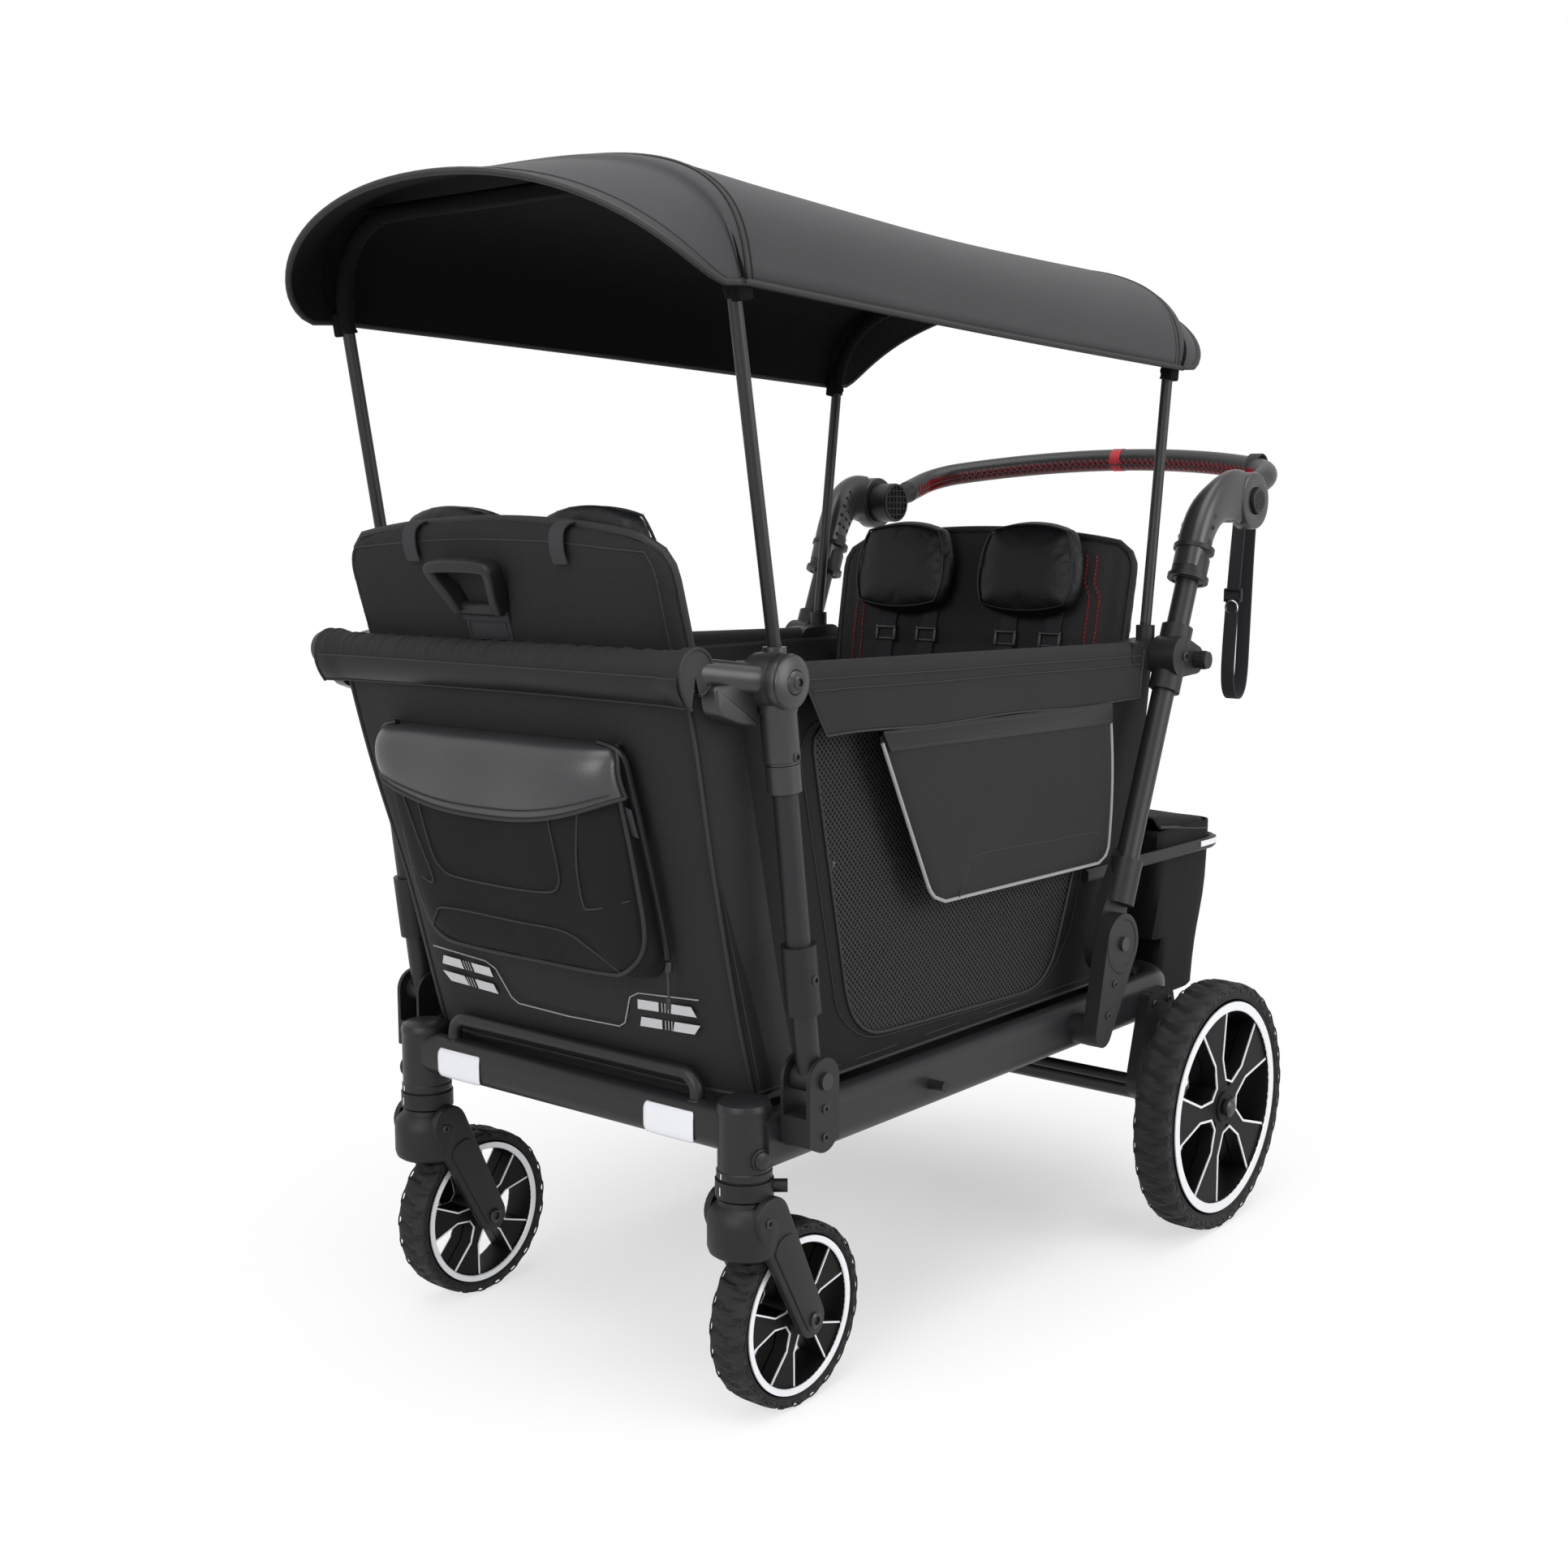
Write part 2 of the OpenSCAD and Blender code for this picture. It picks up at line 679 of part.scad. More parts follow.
module rail_clamps() {
    at = rear_at(clamp_z);
    color(plastic_color) both_sides() difference() {
        union() {
            side_plate(cheek_in, clamp_outer)
                link([top_rail_rear_y + clamp_half, clamp_z], [knob_y, clamp_z - wall], clamp_half, 3 * wall);
            intersection() {
                rod(rear_at(clamp_z - 1.7 * clamp_half), rear_at(clamp_z + 1.4 * clamp_half), upright_r + wall);
                translate([cheek_in, at.y - 4 * clamp_half, at.z - 4 * clamp_half]) cube(8 * clamp_half);
            }
        }
        rod(rear_at(hinge_z + 2 * hinge_r), rear_at(rear_upright_top), upright_r);
        cross_rod(cheek_in - over, clamp_outer + over, knob_y, clamp_z - wall, knob_stem_r + slip);
    }
}

module clamp_knob(side) {
    color(plastic_color) scale_side(side) {
        cross_rod(cheek_in + knob_travel, clamp_outer + gap, knob_y, clamp_z - wall, knob_stem_r);
        cross_rod(clamp_outer + gap, clamp_outer + gap + knob_l, knob_y, clamp_z - wall, knob_r);
    }
}

module scale_side(side) {
    if (side > 0) children();
    else mirror([1, 0, 0]) children();
}

collar_len = 58;
collar_low = 856;
collar_flange = 6;

module fold_collar(side) {
    color(plastic_color) scale_side(side) difference() {
        union() {
            rod(rear_at(collar_low), rear_at(collar_low) + upright_axis * collar_len, upright_r + wall);
            for (k = [0, 1]) rod(rear_at(collar_low) + upright_axis * k * (collar_len - 3 * collar_flange),
                rear_at(collar_low) + upright_axis * (k * (collar_len - 3 * collar_flange) + collar_flange),
                upright_r + 2 * wall);
        }
        rod(rear_at(collar_low - 2 * over), rear_at(rear_upright_top), upright_r + slip);
    }
}

elbow_in = upright_x + 1.5;
elbow_out = elbow_in + 22;
elbow_r = handle_hub_r + 1.5 * wall;
button_cup = 8;

module handle_elbows() {
    top = rear_at(rear_upright_top);
    color(plastic_color) both_sides() difference() {
        union() {
            side_plate(elbow_in, elbow_out) hull() {
                circle_at([top.y, top.z], upright_r + wall);
                circle_at([handle_y, handle_z], elbow_r);
                circle_at([handle_y - elbow_r - wall, handle_z + elbow_r / 3], elbow_r * 2 / 3);
            }
            rod(rear_at(rear_upright_top - 12), rear_at(rear_upright_top + upright_r), upright_r + wall);
        }
        rod(rear_at(collar_low), rear_at(rear_upright_top), upright_r);
        cross_rod(elbow_out - button_cup, elbow_out + over, handle_y, handle_z, button_r + gap);
        cross_rod(elbow_in - over, elbow_out + over, handle_y, handle_z, pin_r + slip);
    }
}

module handle_button(side) {
    color(plastic_color) scale_side(side)
        cross_rod(elbow_out - button_cup + button_travel + gap, elbow_out + button_travel, handle_y, handle_z,
            button_r);
}

// The handle, drawn flat with its pivots on the X axis and its bar towards +Y

bow_centre = handle_reach - handle_bow;
bend_x = handle_x - handle_bend;
bend_y = bow_centre + sqrt(pow(handle_bow - handle_bend, 2) - pow(bend_x, 2));
bow_half_angle = atan2(bend_x, bend_y - bow_centre);
arm_start = handle_hub_r - wall;
grip_start = arm_start + 5 * wall;
bend_steps = 7;
bow_steps = 14;
round_steps = 14;

// The handle's path from its left arm round to its right: place, place and heading in degrees
function handle_arm(start) = concat([[handle_x, start, 90]], [for (k = [0:bend_steps])
    let (a = (90 - bow_half_angle) * k / bend_steps)
    [bend_x + handle_bend * cos(a), bend_y + handle_bend * sin(a), 90 + a]]);
function handle_bow_line() = [for (k = [1:bow_steps - 1])
    let (a = 90 - bow_half_angle + 2 * bow_half_angle * k / bow_steps)
    [handle_bow * cos(a), bow_centre + handle_bow * sin(a), 90 + a]];
function handle_line(start) = let (arm = handle_arm(start), n = len(arm) - 1) concat(arm, handle_bow_line(),
    [for (k = [0:n]) [-arm[n - k].x, arm[n - k].y, -arm[n - k].z]]);

// Rings of radius r around the handle's path
function handle_rings(start, r) = [for (p = handle_line(start), k = [0:round_steps - 1])
    let (b = 360 * k / round_steps, out = p.z - 90)
    [p.x + r * cos(b) * cos(out), p.y + r * cos(b) * sin(out), r * sin(b)]];

// Triangles of the skin over n spans of rings whose first point is number first
function skin(n, first) = [for (i = [0:n - 1], k = [0:round_steps - 1])
    let (a = first + i * round_steps + k, b = first + i * round_steps + (k + 1) % round_steps)
    each [[a, b, b + round_steps], [a, b + round_steps, a + round_steps]]];
function turned(faces) = [for (f = faces) [f[2], f[1], f[0]]];

// A flat ring of triangles between two rings of points
function flat_ring(outer, inner) = [for (k = [0:round_steps - 1]) let (m = (k + 1) % round_steps)
    each [[outer + k, inner + k, inner + m], [outer + k, inner + m, outer + m]]];
// A flat fan of triangles over one ring of points
function flat_fan(first) = [for (k = [1:round_steps - 2]) [first, first + k + 1, first + k]];

module handle_plane() {
    translate([0, handle_y, handle_z]) rotate([handle_rise, 0, 0]) children();
}

module handle_rod(r) {
    n = len(handle_line(arm_start)) - 1;
    polyhedron(handle_rings(arm_start, r), concat(skin(n, 0), flat_fan(0), turned(flat_fan(n * round_steps))));
}

module handle_wrap(outer, inner) {
    n = len(handle_line(grip_start)) - 1;
    last = n * round_steps;
    inside = (n + 1) * round_steps;
    polyhedron(concat(handle_rings(grip_start, outer), handle_rings(grip_start, inner)),
        concat(skin(n, 0), turned(skin(n, inside)), flat_ring(0, inside), turned(flat_ring(last, inside + last))));
}

module handlebar() {
    inner = handle_x - handle_tube_r - wall / 2;
    color(frame_color) handle_plane() {
        handle_rod(handle_tube_r);
        both_sides() {
            cross_rod(inner, elbow_in - gap, 0, 0, handle_hub_r);
            cross_rod(elbow_in - gap - over, elbow_out - button_cup - gap, 0, 0, pin_r);
        }
    }
}

module handle_grip() {
    color(leather_color) handle_plane() handle_wrap(grip_r, handle_tube_r + slip);
}

// Wrist strap: hangs from the left end of the grip and comes back up in a narrow loop
strap_t = 3;
strap_x = 250;
strap_route = [
    [575, 990], [584, 984], [590, 970], [591, 950], [589, 920], [586, 880], [584, 840], [582, 800], [580, 760],
    [578, 725], [573, 700], [562, 686], [548, 686], [538, 700], [535, 725], [537, 760], [541, 800], [546, 840],
    [551, 880], [556, 915], [560, 945], [563, 966]
];

module wrist_strap() {
    n = len(strap_route);
    // Direction across the strap at each point of its route
    across = [for (i = [0:n - 1]) let (d = strap_route[min(i + 1, n - 1)] - strap_route[max(i - 1, 0)])
        [d.y, -d.x] / norm(d) * strap_t / 2];
    ring = [for (i = [0:n - 1]) let (p = strap_route[i], a = across[i]) each [
        [strap_x - strap_w / 2, p.x + a.x, p.y + a.y], [strap_x + strap_w / 2, p.x + a.x, p.y + a.y],
        [strap_x + strap_w / 2, p.x - a.x, p.y - a.y], [strap_x - strap_w / 2, p.x - a.x, p.y - a.y]]];
    sides = [for (i = [0:n - 2], k = [0:3]) let (a = 4 * i + k, b = 4 * i + (k + 1) % 4) each [
        [b + 4, a + 4, a], [b, b + 4, a]]];
    last = 4 * (n - 1);
    caps = [[2, 1, 0], [3, 2, 0], [last + 1, last + 2, last], [last + 2, last + 3, last]];
    color(cloth_color) polyhedron(ring, concat(sides, caps));
}

// Front frame

sleeve_low = 441;
sleeve_high = 513;

// A point on a front upright's axis at height z
function front_at(z) = front_pivot + front_axis * (z - front_pivot_z) / cos(front_lean);

module front_uprights() {
    color(frame_color) both_sides() difference() {
        union() {
            rod(front_pivot, front_at(hub_z - hub_r), upright_r - 1.5);
            cross_rod(cheek_in + gap, cheek_out - gap, front_pivot_y, front_pivot_z, upright_r);
        }
        cross_rod(cheek_in - over, cheek_out + over, front_pivot_y, front_pivot_z, pin_r + slip);
    }
}

module upright_sleeves() {
    color(plastic_color) both_sides() difference() {
        rod(front_at(sleeve_low), front_at(sleeve_high), upright_r + 3.5);
        rod(front_at(sleeve_low - over), front_at(sleeve_high + over), upright_r - 1.5);
    }
}

hub_in = top_rail_x + top_rail_r + 2 * gap;
hub_out = upright_x + upright_r + wall;
eye_r = 18;
hub_bolt_r = 8;
socket_r = 12;
socket_depth = 22;
rim_elbow_r = 15;

module corner_hubs() {
    color(plastic_color) both_sides() difference() {
        union() {
            cross_rod(hub_in, hub_out, hub_y, hub_z, hub_r);
            cross_rod(top_rail_x - top_rail_r, hub_in + over, hub_y, hub_z, hub_bolt_r);
            rod(front_at(hub_z - 3 * hub_r), front_at(hub_z), upright_r + 3);
            translate([front_hoop_x + gap, front_hoop_y, hub_z + eye_r + gap])
                cylinder(h = front_hoop_z - hub_z - eye_r - gap, r = socket_r);
            rod([upright_x, hub_y, hub_z], [rim_half, rim_y, rim_z], rim_elbow_r);
            cross_rod(rim_half - rim_r, rim_half + rim_elbow_r, rim_y, rim_z, rim_r);
        }
        rod(front_pivot, front_at(hub_z - hub_r), upright_r - 1.5);
        translate([front_hoop_x, front_hoop_y, front_hoop_z - socket_depth])
            cylinder(h = socket_depth + over, r = hoop_r + gap);
        cross_rod(rim_half - 2 * rim_r, rim_half - rim_r / 2, rim_y, rim_z, rim_r - wall);
    }
}

module front_rail() {
    inner = rim_half - rim_r - gap / 4;
    color(cloth_color) {
        cross_rod(-inner, inner, rim_y, rim_z, rim_r);
        cross_rod(rim_r / 2 - rim_half, rim_half - rim_r / 2, rim_y, rim_z, rim_r - wall - slip);
    }
}

// Top side rails and what hangs on them

bracket_face = cheek_in - gap;
rail_bracket_h = 28;
side_rail_to = [top_rail_x, top_rail_rear_y, top_rail_rear_z];
side_rail_from = [top_rail_x, hub_y, hub_z] + (side_rail_to - [top_rail_x, hub_y, hub_z]) * 0.02;

module side_rails() {
    color(frame_color) both_sides() difference() {
        union() {
            rod(side_rail_from, side_rail_to, top_rail_r);
            cross_rod(top_rail_x - top_rail_r - gap, top_rail_x + top_rail_r + gap, hub_y, hub_z, eye_r);
        }
        cross_rod(top_rail_x - 2 * top_rail_r, hub_in + over, hub_y, hub_z, hub_bolt_r + slip);
    }
}

module rail_brackets() {
    low = top_rail_rear_z - rail_bracket_h;
    color(plastic_color) both_sides() difference() {
        union() {
            side_plate(top_rail_x - top_rail_r - wall / 2, bracket_face)
                link([top_rail_rear_y - rail_bracket_h, top_rail_rear_z], [rear_hoop_y + wall, clamp_z],
                    top_rail_r + wall / 2, rail_bracket_h - wall);
            translate([rear_hoop_x, rear_hoop_y, low + rail_bracket_h])
                cylinder(h = rear_hoop_z - top_rail_rear_z, r = socket_r);
        }
        rod(side_rail_from, side_rail_to, top_rail_r);
        translate([rear_hoop_x, rear_hoop_y, rear_hoop_z - socket_depth])
            cylinder(h = socket_depth + over, r = hoop_r + gap);
    }
}

flap_front = hub_y + 60;
flap_rear = top_rail_rear_y - rail_bracket_h - top_rail_r - wall * 3 / 2;
flap_t = 10;
flap_in = top_rail_x + top_rail_r + gap;
// Points of the flap's outline, from its top corner at the rear and from its top corner at the front
flap_rear_line = [[0, 0], [20, -80], [-42, -237], [-57, -267]];
flap_front_line = [[257, -267], [227, -237], [130, -68], [117, -58], [12, -32], [0, 0]];

module side_flaps() {
    top = top_rail_rear_z + top_rail_r;
    color(cloth_color) both_sides() side_plate(flap_in, flap_in + flap_t)
        polygon(concat([for (p = flap_rear_line) [flap_rear, top] + p],
            [for (p = flap_front_line) [flap_front, top] + p]));
}

// Tub

front_rake = (rim_y - caster_y - wall) / (rim_z - tub_bottom);
wall_front_y = caster_y + post_r / 2;

// Place of the front wall's outer face at height z
function front_wall_y(z) = wall_front_y + front_rake * (z - tub_bottom);

rear_wall_low_y = rear_seat_y + 34;
rear_wall_high_y = rear_wall_low_y + (tub_top - tub_bottom) * tan(rear_seat_lean);

// Room for the caster posts at the tub's front corners
module post_room() {
    both_sides() translate([caster_x, caster_y, 0]) cylinder(h = post_top + gap, r = post_r + gap);
}

module tub_front_wall() {
    color(cloth_color) difference() {
        side_plate(-tub_x + gap, tub_x - gap) polygon([
            [front_wall_y(tub_bottom), tub_bottom], [front_wall_y(tub_bottom) + cloth_t, tub_bottom],
            [front_wall_y(tub_top) + cloth_t, tub_top], [front_wall_y(tub_top), tub_top]]);
        post_room();
    }
}

module tub_rear_wall() {
    color(cloth_color) side_plate(-tub_x + gap, tub_x - gap) polygon([
        [rear_wall_low_y, tub_bottom], [rear_wall_low_y + cloth_t, tub_bottom],
        [rear_wall_high_y + cloth_t, tub_top], [rear_wall_high_y, tub_top]]);
}

net_cols = 15;
net_rows = 9;
net_step = 34;
net_thread = 8;
net_y = -380;
net_z = 390;

module tub_side_walls() {
    color(cloth_color) difference() {
        both_sides() side_plate(tub_x, tub_x + cloth_t) difference() {
            polygon([
                [front_wall_y(tub_bottom), tub_bottom], [rear_wall_low_y, tub_bottom],
                [rear_wall_high_y, tub_top], [front_wall_y(tub_top), tub_top]]);
            for (i = [0:net_cols - 1], j = [0:net_rows - 1]) translate([net_y + i * net_step, net_z + j * net_step])
                square(net_step - net_thread);
        }
        post_room();
    }
}

bag_top = 712;
bag_low = 462;
bag_slope_share = 0.6;

module front_bag() {
    color(cloth_color) side_plate(-bag_x, bag_x) polygon([
        [front_wall_y(bag_low) - gap, bag_low], [front_wall_y(bag_top) - gap, bag_top],
        [front_wall_y(bag_top) - bag_d * bag_slope_share, bag_top], [front_wall_y(bag_top) - bag_d, bag_top - bag_d],
        [front_wall_y(bag_low) - bag_d, bag_low + bag_d], [front_wall_y(bag_low) - bag_d * bag_slope_share, bag_low]]);
}

// Seats

riser_t = 14;
seat_knuckle = seat_t / 2;
riser_top = seat_hinge_z - seat_knuckle - gap;
base_half = tub_x - 2 * cloth_t;

// A seat's bench: a cushion on the floor board with a riser that carries the seat back
module seat_bench(y, turn) {
    color(cloth_color) translate([0, y, 0]) rotate([0, 0, turn]) {
        translate([0, riser_t / 4, seat_top])
            lying_cushion(2 * base_half, seat_depth, seat_top - deck_top - gap);
        translate([-base_half, -riser_t / 2, deck_top + gap])
            cube([2 * base_half, riser_t, riser_top - deck_top - gap]);
    }
}

// A cushion lying flat from y = 0 to y = l, w wide and t high, with a crown and channels on top
module lying_cushion(w, l, t) {
    nu = 12;
    nv = 8;
    crown = t / 5;
    top = [for (j = [0:nv], i = [0:nu]) let (u = 2 * i / nu - 1, v = 2 * j / nv - 1)
        [u * w / 2 * side_share(v, square_share), (v + 1) / 2 * l, crown * crown_share(u, v, 2) - crown]];
    low = [for (j = [0:nv], i = [0:nu]) let (u = 2 * i / nu - 1, v = 2 * j / nv - 1)
        [u * w / 2 * side_share(v, square_share), (v + 1) / 2 * l, -t]];
    polyhedron(concat(top, low), shell_faces(nu, nv));
}

module front_seat_base() {
    seat_bench(front_seat_y, 0);
}

module rear_seat_base() {
    seat_bench(rear_seat_y, 180);
}

seat_crown = 14;
seat_round_share = 0.42;

// A seat back with its hinge on the X axis, leaning back by lean degrees
module seat_back(lean) {
    color(cloth_color) rotate([lean, 0, 0]) {
        translate([0, 0, seat_knuckle]) cushion(seat_w, seat_l, seat_t, seat_crown, 3, seat_round_share, 14, 12);
        cross_rod(-seat_w / 2 + over, seat_w / 2 - over, 0, 0, seat_knuckle - gap);
        translate([over - seat_w / 2, -seat_knuckle / 2, 0]) cube([seat_w - 2 * over, seat_knuckle, seat_t]);
    }
}

headrest_low = seat_l - 88;
headrest_face = seat_t * edge_share + seat_crown;
front_headrest_sink = 2.4;
rear_headrest_sink = 1.8;

// Two headrests sunk into the face of a seat back that leans by lean degrees
module headrest_pair(lean, low, sink) {
    color(leather_color) rotate([lean, 0, 0]) for (s = [-1, 1])
        translate([s * headrest_x, headrest_face - sink + headrest_t * edge_share, low])
            cushion(headrest_w, headrest_h, headrest_t, headrest_t * edge_share, 0, 0.8, 8, 8);
}

module front_seat_back() {
    translate([0, front_seat_y, seat_hinge_z]) seat_back(front_seat_lean);
}

module rear_seat_back() {
    translate([0, rear_seat_y, seat_hinge_z]) rotate([0, 0, 180]) seat_back(rear_seat_lean);
}

module front_headrests() {
    translate([0, front_seat_y, seat_hinge_z]) headrest_pair(front_seat_lean, headrest_low, front_headrest_sink);
}

module rear_headrests() {
    translate([0, rear_seat_y, seat_hinge_z]) rotate([0, 0, 180]) headrest_pair(rear_seat_lean, headrest_low - 12, rear_headrest_sink);
}

pull_w = 88;
pull_h = 46;
pull_bar = 12;
pull_off = 16;
pull_x = -34;
pull_low = 396;
pull_sink = 0.6;

module seat_pull_handle() {
    back = pull_sink - seat_t * edge_share;
    color(plastic_color) translate([pull_x, front_seat_y, seat_hinge_z]) rotate([front_seat_lean, 0, 0])
        translate([0, back, pull_low]) rotate([90, 0, 0]) {
            linear_extrude(pull_off) for (s = [-1, 1]) translate([s * (pull_w - pull_bar) / 2, 0])
                square([pull_bar, pull_bar], center = true);
            translate([0, 0, pull_off]) linear_extrude(pull_bar) difference() {
                translate([0, pull_h / 2 - pull_bar / 2]) soft_square(pull_w, pull_h, pull_bar);
                translate([0, pull_h / 2 - pull_bar / 2])
                    soft_square(pull_w - 2 * pull_bar, pull_h - 2 * pull_bar, pull_bar / 2);
            }
        }
}

// Rear storage basket

basket_front = rail_rear_y + corner_r + rail_w / 2 - 22;
basket_top = 520;
arm_t = 10;
arm_h = 16;
arm_z = 478;
arm_front = rear_at(arm_z).y - upright_r;

module storage_basket() {
    taper = 16;
    low = basket_top - basket_h;
    rear_low = rail_rear_y + corner_r + rail_w / 2 + gap;
    color(cloth_color) side_plate(-basket_x, basket_x) polygon([
        [rear_low, low], [rear_low + basket_d - 3 * taper, low], [basket_front + basket_d, basket_top - taper],
        [basket_front + basket_d, basket_top], [basket_front, basket_top + taper], [basket_front, rail_z + rail_h],
        [rear_low, rail_z + rail_h]]);
}

module basket_frame() {
    half = tub_x + cloth_t + gap;
    rear = basket_front + basket_d + gap;
    color(frame_color) difference() {
        union() {
            both_sides() {
                translate([half, arm_front, arm_z]) cube([arm_t, rear + arm_t - arm_front, arm_h]);
                translate([half, rail_rear_y - rail_w, rail_z]) cube([arm_t, rail_w, arm_z - rail_z]);
            }
            translate([-half, rear, arm_z]) cube([2 * half, arm_t, arm_h]);
        }
        both_sides() translate([rail_x, caster_y, rail_z]) rotate([-90, 0, 0])
            linear_extrude(rail_rear_y - caster_y + corner_r) oval(rail_w + slip, rail_h + slip);
    }
}

// Canopy

front_bow_y = front_hoop_y - (hem_front_z - front_hoop_z) * tan(front_hoop_lean);
rear_bow_y = rear_hoop_y + (hem_rear_z - rear_hoop_z) * tan(rear_hoop_lean);
// Shares of a brim's reach and drop on its stations, and how they grow from the hem to the crown
brim_shares = [0.3, 0.65, 1];
hem_brim_share = 0.06;
visor_growth_share = 0.4;
flap_growth_share = 0.3;
// How square the arches are at the front hoop, the visor's rim and the rear hoop
front_square_share = 0.667;
visor_square_share = 0.86;
rear_square_share = 0.78;
visor_rise_share = 0.44;
rear_rise_share = 0.07;
sag_share = 0.035;
// Stations along the canopy: place, half width, rise, hem height, lean, squareness, reach, drop and growth
front_station = [front_bow_y, canopy_x, canopy_rise, hem_front_z, -front_hoop_lean, front_square_share, 0, 0,
    visor_growth_share];
rear_station = [rear_bow_y, canopy_rear_x, canopy_rise * (1 + rear_rise_share), hem_rear_z, rear_hoop_lean,
    rear_square_share, 0, 0, flap_growth_share];
visor_step = [0, 0, canopy_rise * visor_rise_share, 0, 0, visor_square_share - front_square_share, -visor_reach,
    visor_drop, 0];
flap_step = [0, 0, 0, 0, 0, 0, flap_reach, flap_drop, 0];
brims = len(brim_shares) - 1;
visor_stations = [for (k = [brims:-1:0]) front_station + visor_step * brim_shares[k]];
flap_stations = [for (k = [0:brims]) rear_station + flap_step * brim_shares[k]];
span_steps = 6;
middle_stations = [for (k = [0:span_steps]) let (
    t = k / span_steps, m = front_station * (1 - t) + rear_station * t, sag = 1 - sag_share * sin(180 * t))
    [m[0], m[1] * sag, m[2] * sag, m[3], m[4], m[5], m[6], m[7], m[8]]];
canopy_stations = concat(visor_stations, middle_stations, flap_stations);
arch_steps = 20;

// A point of the canopy's arch at angle a on station s, moved in by t
function arch_point(s, a, t) = let (
    z = (s[2] - t) * pow(abs(sin(a)), s[5]), x = (s[1] - t) * sign(cos(a)) * pow(abs(cos(a)), s[5]),
    brim = hem_brim_share + (1 - hem_brim_share) * pow(abs(sin(a)), s[8]))
    [x, s[0] + z * tan(s[4]) + s[6] * brim, s[3] + z - s[7] * brim];

module canopy_cloth() {
    n = len(canopy_stations) - 1;
    outer = [for (s = canopy_stations, i = [0:arch_steps]) arch_point(s, 180 - 180 * i / arch_steps, 0)];
    inner = [for (s = canopy_stations, i = [0:arch_steps]) arch_point(s, 180 - 180 * i / arch_steps, canopy_t)];
    color(canopy_color) polyhedron(concat(outer, inner), shell_faces(arch_steps, n));
}

hoop_drop = 16;
hoop_bend = 105;
tab_r = 4;

// A hoop whose legs stand at x and leave their seats at height z, leaning by lean degrees
module hoop(x, y, z, lean, crown_z) {
    top = (crown_z - z) / cos(lean);
    translate([0, y, z]) {
        both_sides() translate([x, 0, gap - socket_depth]) cylinder(h = socket_depth + hoop_r / 2, r = hoop_r + slip);
        rotate([-lean, 0, 0]) {
            both_sides() {
                translate([x, 0, 0]) cylinder(h = top - hoop_bend, r = hoop_r);
                translate([x - hoop_bend, 0, top - hoop_bend]) rotate([90, 0, 0])
                    rotate_extrude(angle = 90) translate([hoop_bend, 0]) circle(hoop_r);
            }
            cross_rod(hoop_bend - x, x - hoop_bend, 0, top, hoop_r);
        }
    }
}

module canopy_hoops() {
    front_tab_z = hem_front_z + wall;
    rear_tab_z = hem_rear_z + wall;
    color(frame_color) {
        both_sides() {
            cross_rod(front_hoop_x + tab_r, canopy_x - canopy_t - 3 * gap,
                front_hoop_y - (front_tab_z - front_hoop_z) * tan(front_hoop_lean), front_tab_z, tab_r);
            cross_rod(rear_hoop_x + tab_r, canopy_rear_x - canopy_t - 3 * gap,
                rear_hoop_y + (rear_tab_z - rear_hoop_z) * tan(rear_hoop_lean), rear_tab_z, tab_r);
        }
        hoop(front_hoop_x, front_hoop_y, front_hoop_z, -front_hoop_lean,
            hem_front_z + canopy_rise - canopy_t - hoop_r - hoop_drop);
        hoop(rear_hoop_x, rear_hoop_y, rear_hoop_z, rear_hoop_lean,
            hem_rear_z + canopy_rise - canopy_t - hoop_r - hoop_drop);
    }
}

base_rails();
front_crossbeam();
rear_crossbeam();
caster_posts();
grab_bar();
floor_deck();
axle_brackets();
rear_axle();
pivot_brackets();
hinge_bases();
pivot_pins();
side_pegs();
tub_front_wall();
tub_side_walls();
tub_rear_wall();
front_bag();
front_seat_base();
rear_seat_base();
basket_frame();
storage_basket();
rear_uprights();
hinge_knuckles();
rail_clamps();
handle_elbows();
handlebar();
handle_grip();
wrist_strap();
handle_button(1);  // handle_button_left
handle_button(-1);  // handle_button_right
fold_collar(1);  // fold_collar_left
fold_collar(-1);  // fold_collar_right
clamp_knob(1);  // clamp_knob_left
clamp_knob(-1);  // clamp_knob_right
front_uprights();
upright_sleeves();
corner_hubs();
front_rail();
side_rails();
rail_brackets();
side_flaps();
canopy_cloth();
canopy_hoops();
front_seat_back();
front_headrests();
seat_pull_handle();
rear_seat_back();
rear_headrests();
caster_fork(1);  // caster_fork_left
caster_fork(-1);  // caster_fork_right
caster_lock(1);  // caster_lock_left
caster_lock(-1);  // caster_lock_right
front_rim(1);  // front_rim_left
front_rim(-1);  // front_rim_right
front_tyre(1);  // front_tyre_left
front_tyre(-1);  // front_tyre_right
rear_rim(1);  // rear_rim_left
rear_rim(-1);  // rear_rim_right
rear_tyre(1);  // rear_tyre_left
rear_tyre(-1);  // rear_tyre_right
brake_pedal();
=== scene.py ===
"""Looks of a stroller wagon: cloth, padding, leather, webbing, wheels and trim on its shared frame.

Lengths in the classes are millimetres; a piece is scaled to metres when it is finished.
"""

from __future__ import annotations

import json
import logging
from dataclasses import dataclass, field
from enum import Enum
from math import atan2, copysign, cos, degrees, exp, pi, radians, sin, sqrt, tan
from typing import Any, Callable, Iterable, Sequence

import bmesh
import bpy
from mathutils import Matrix, Vector
from mathutils.geometry import intersect_line_line_2d

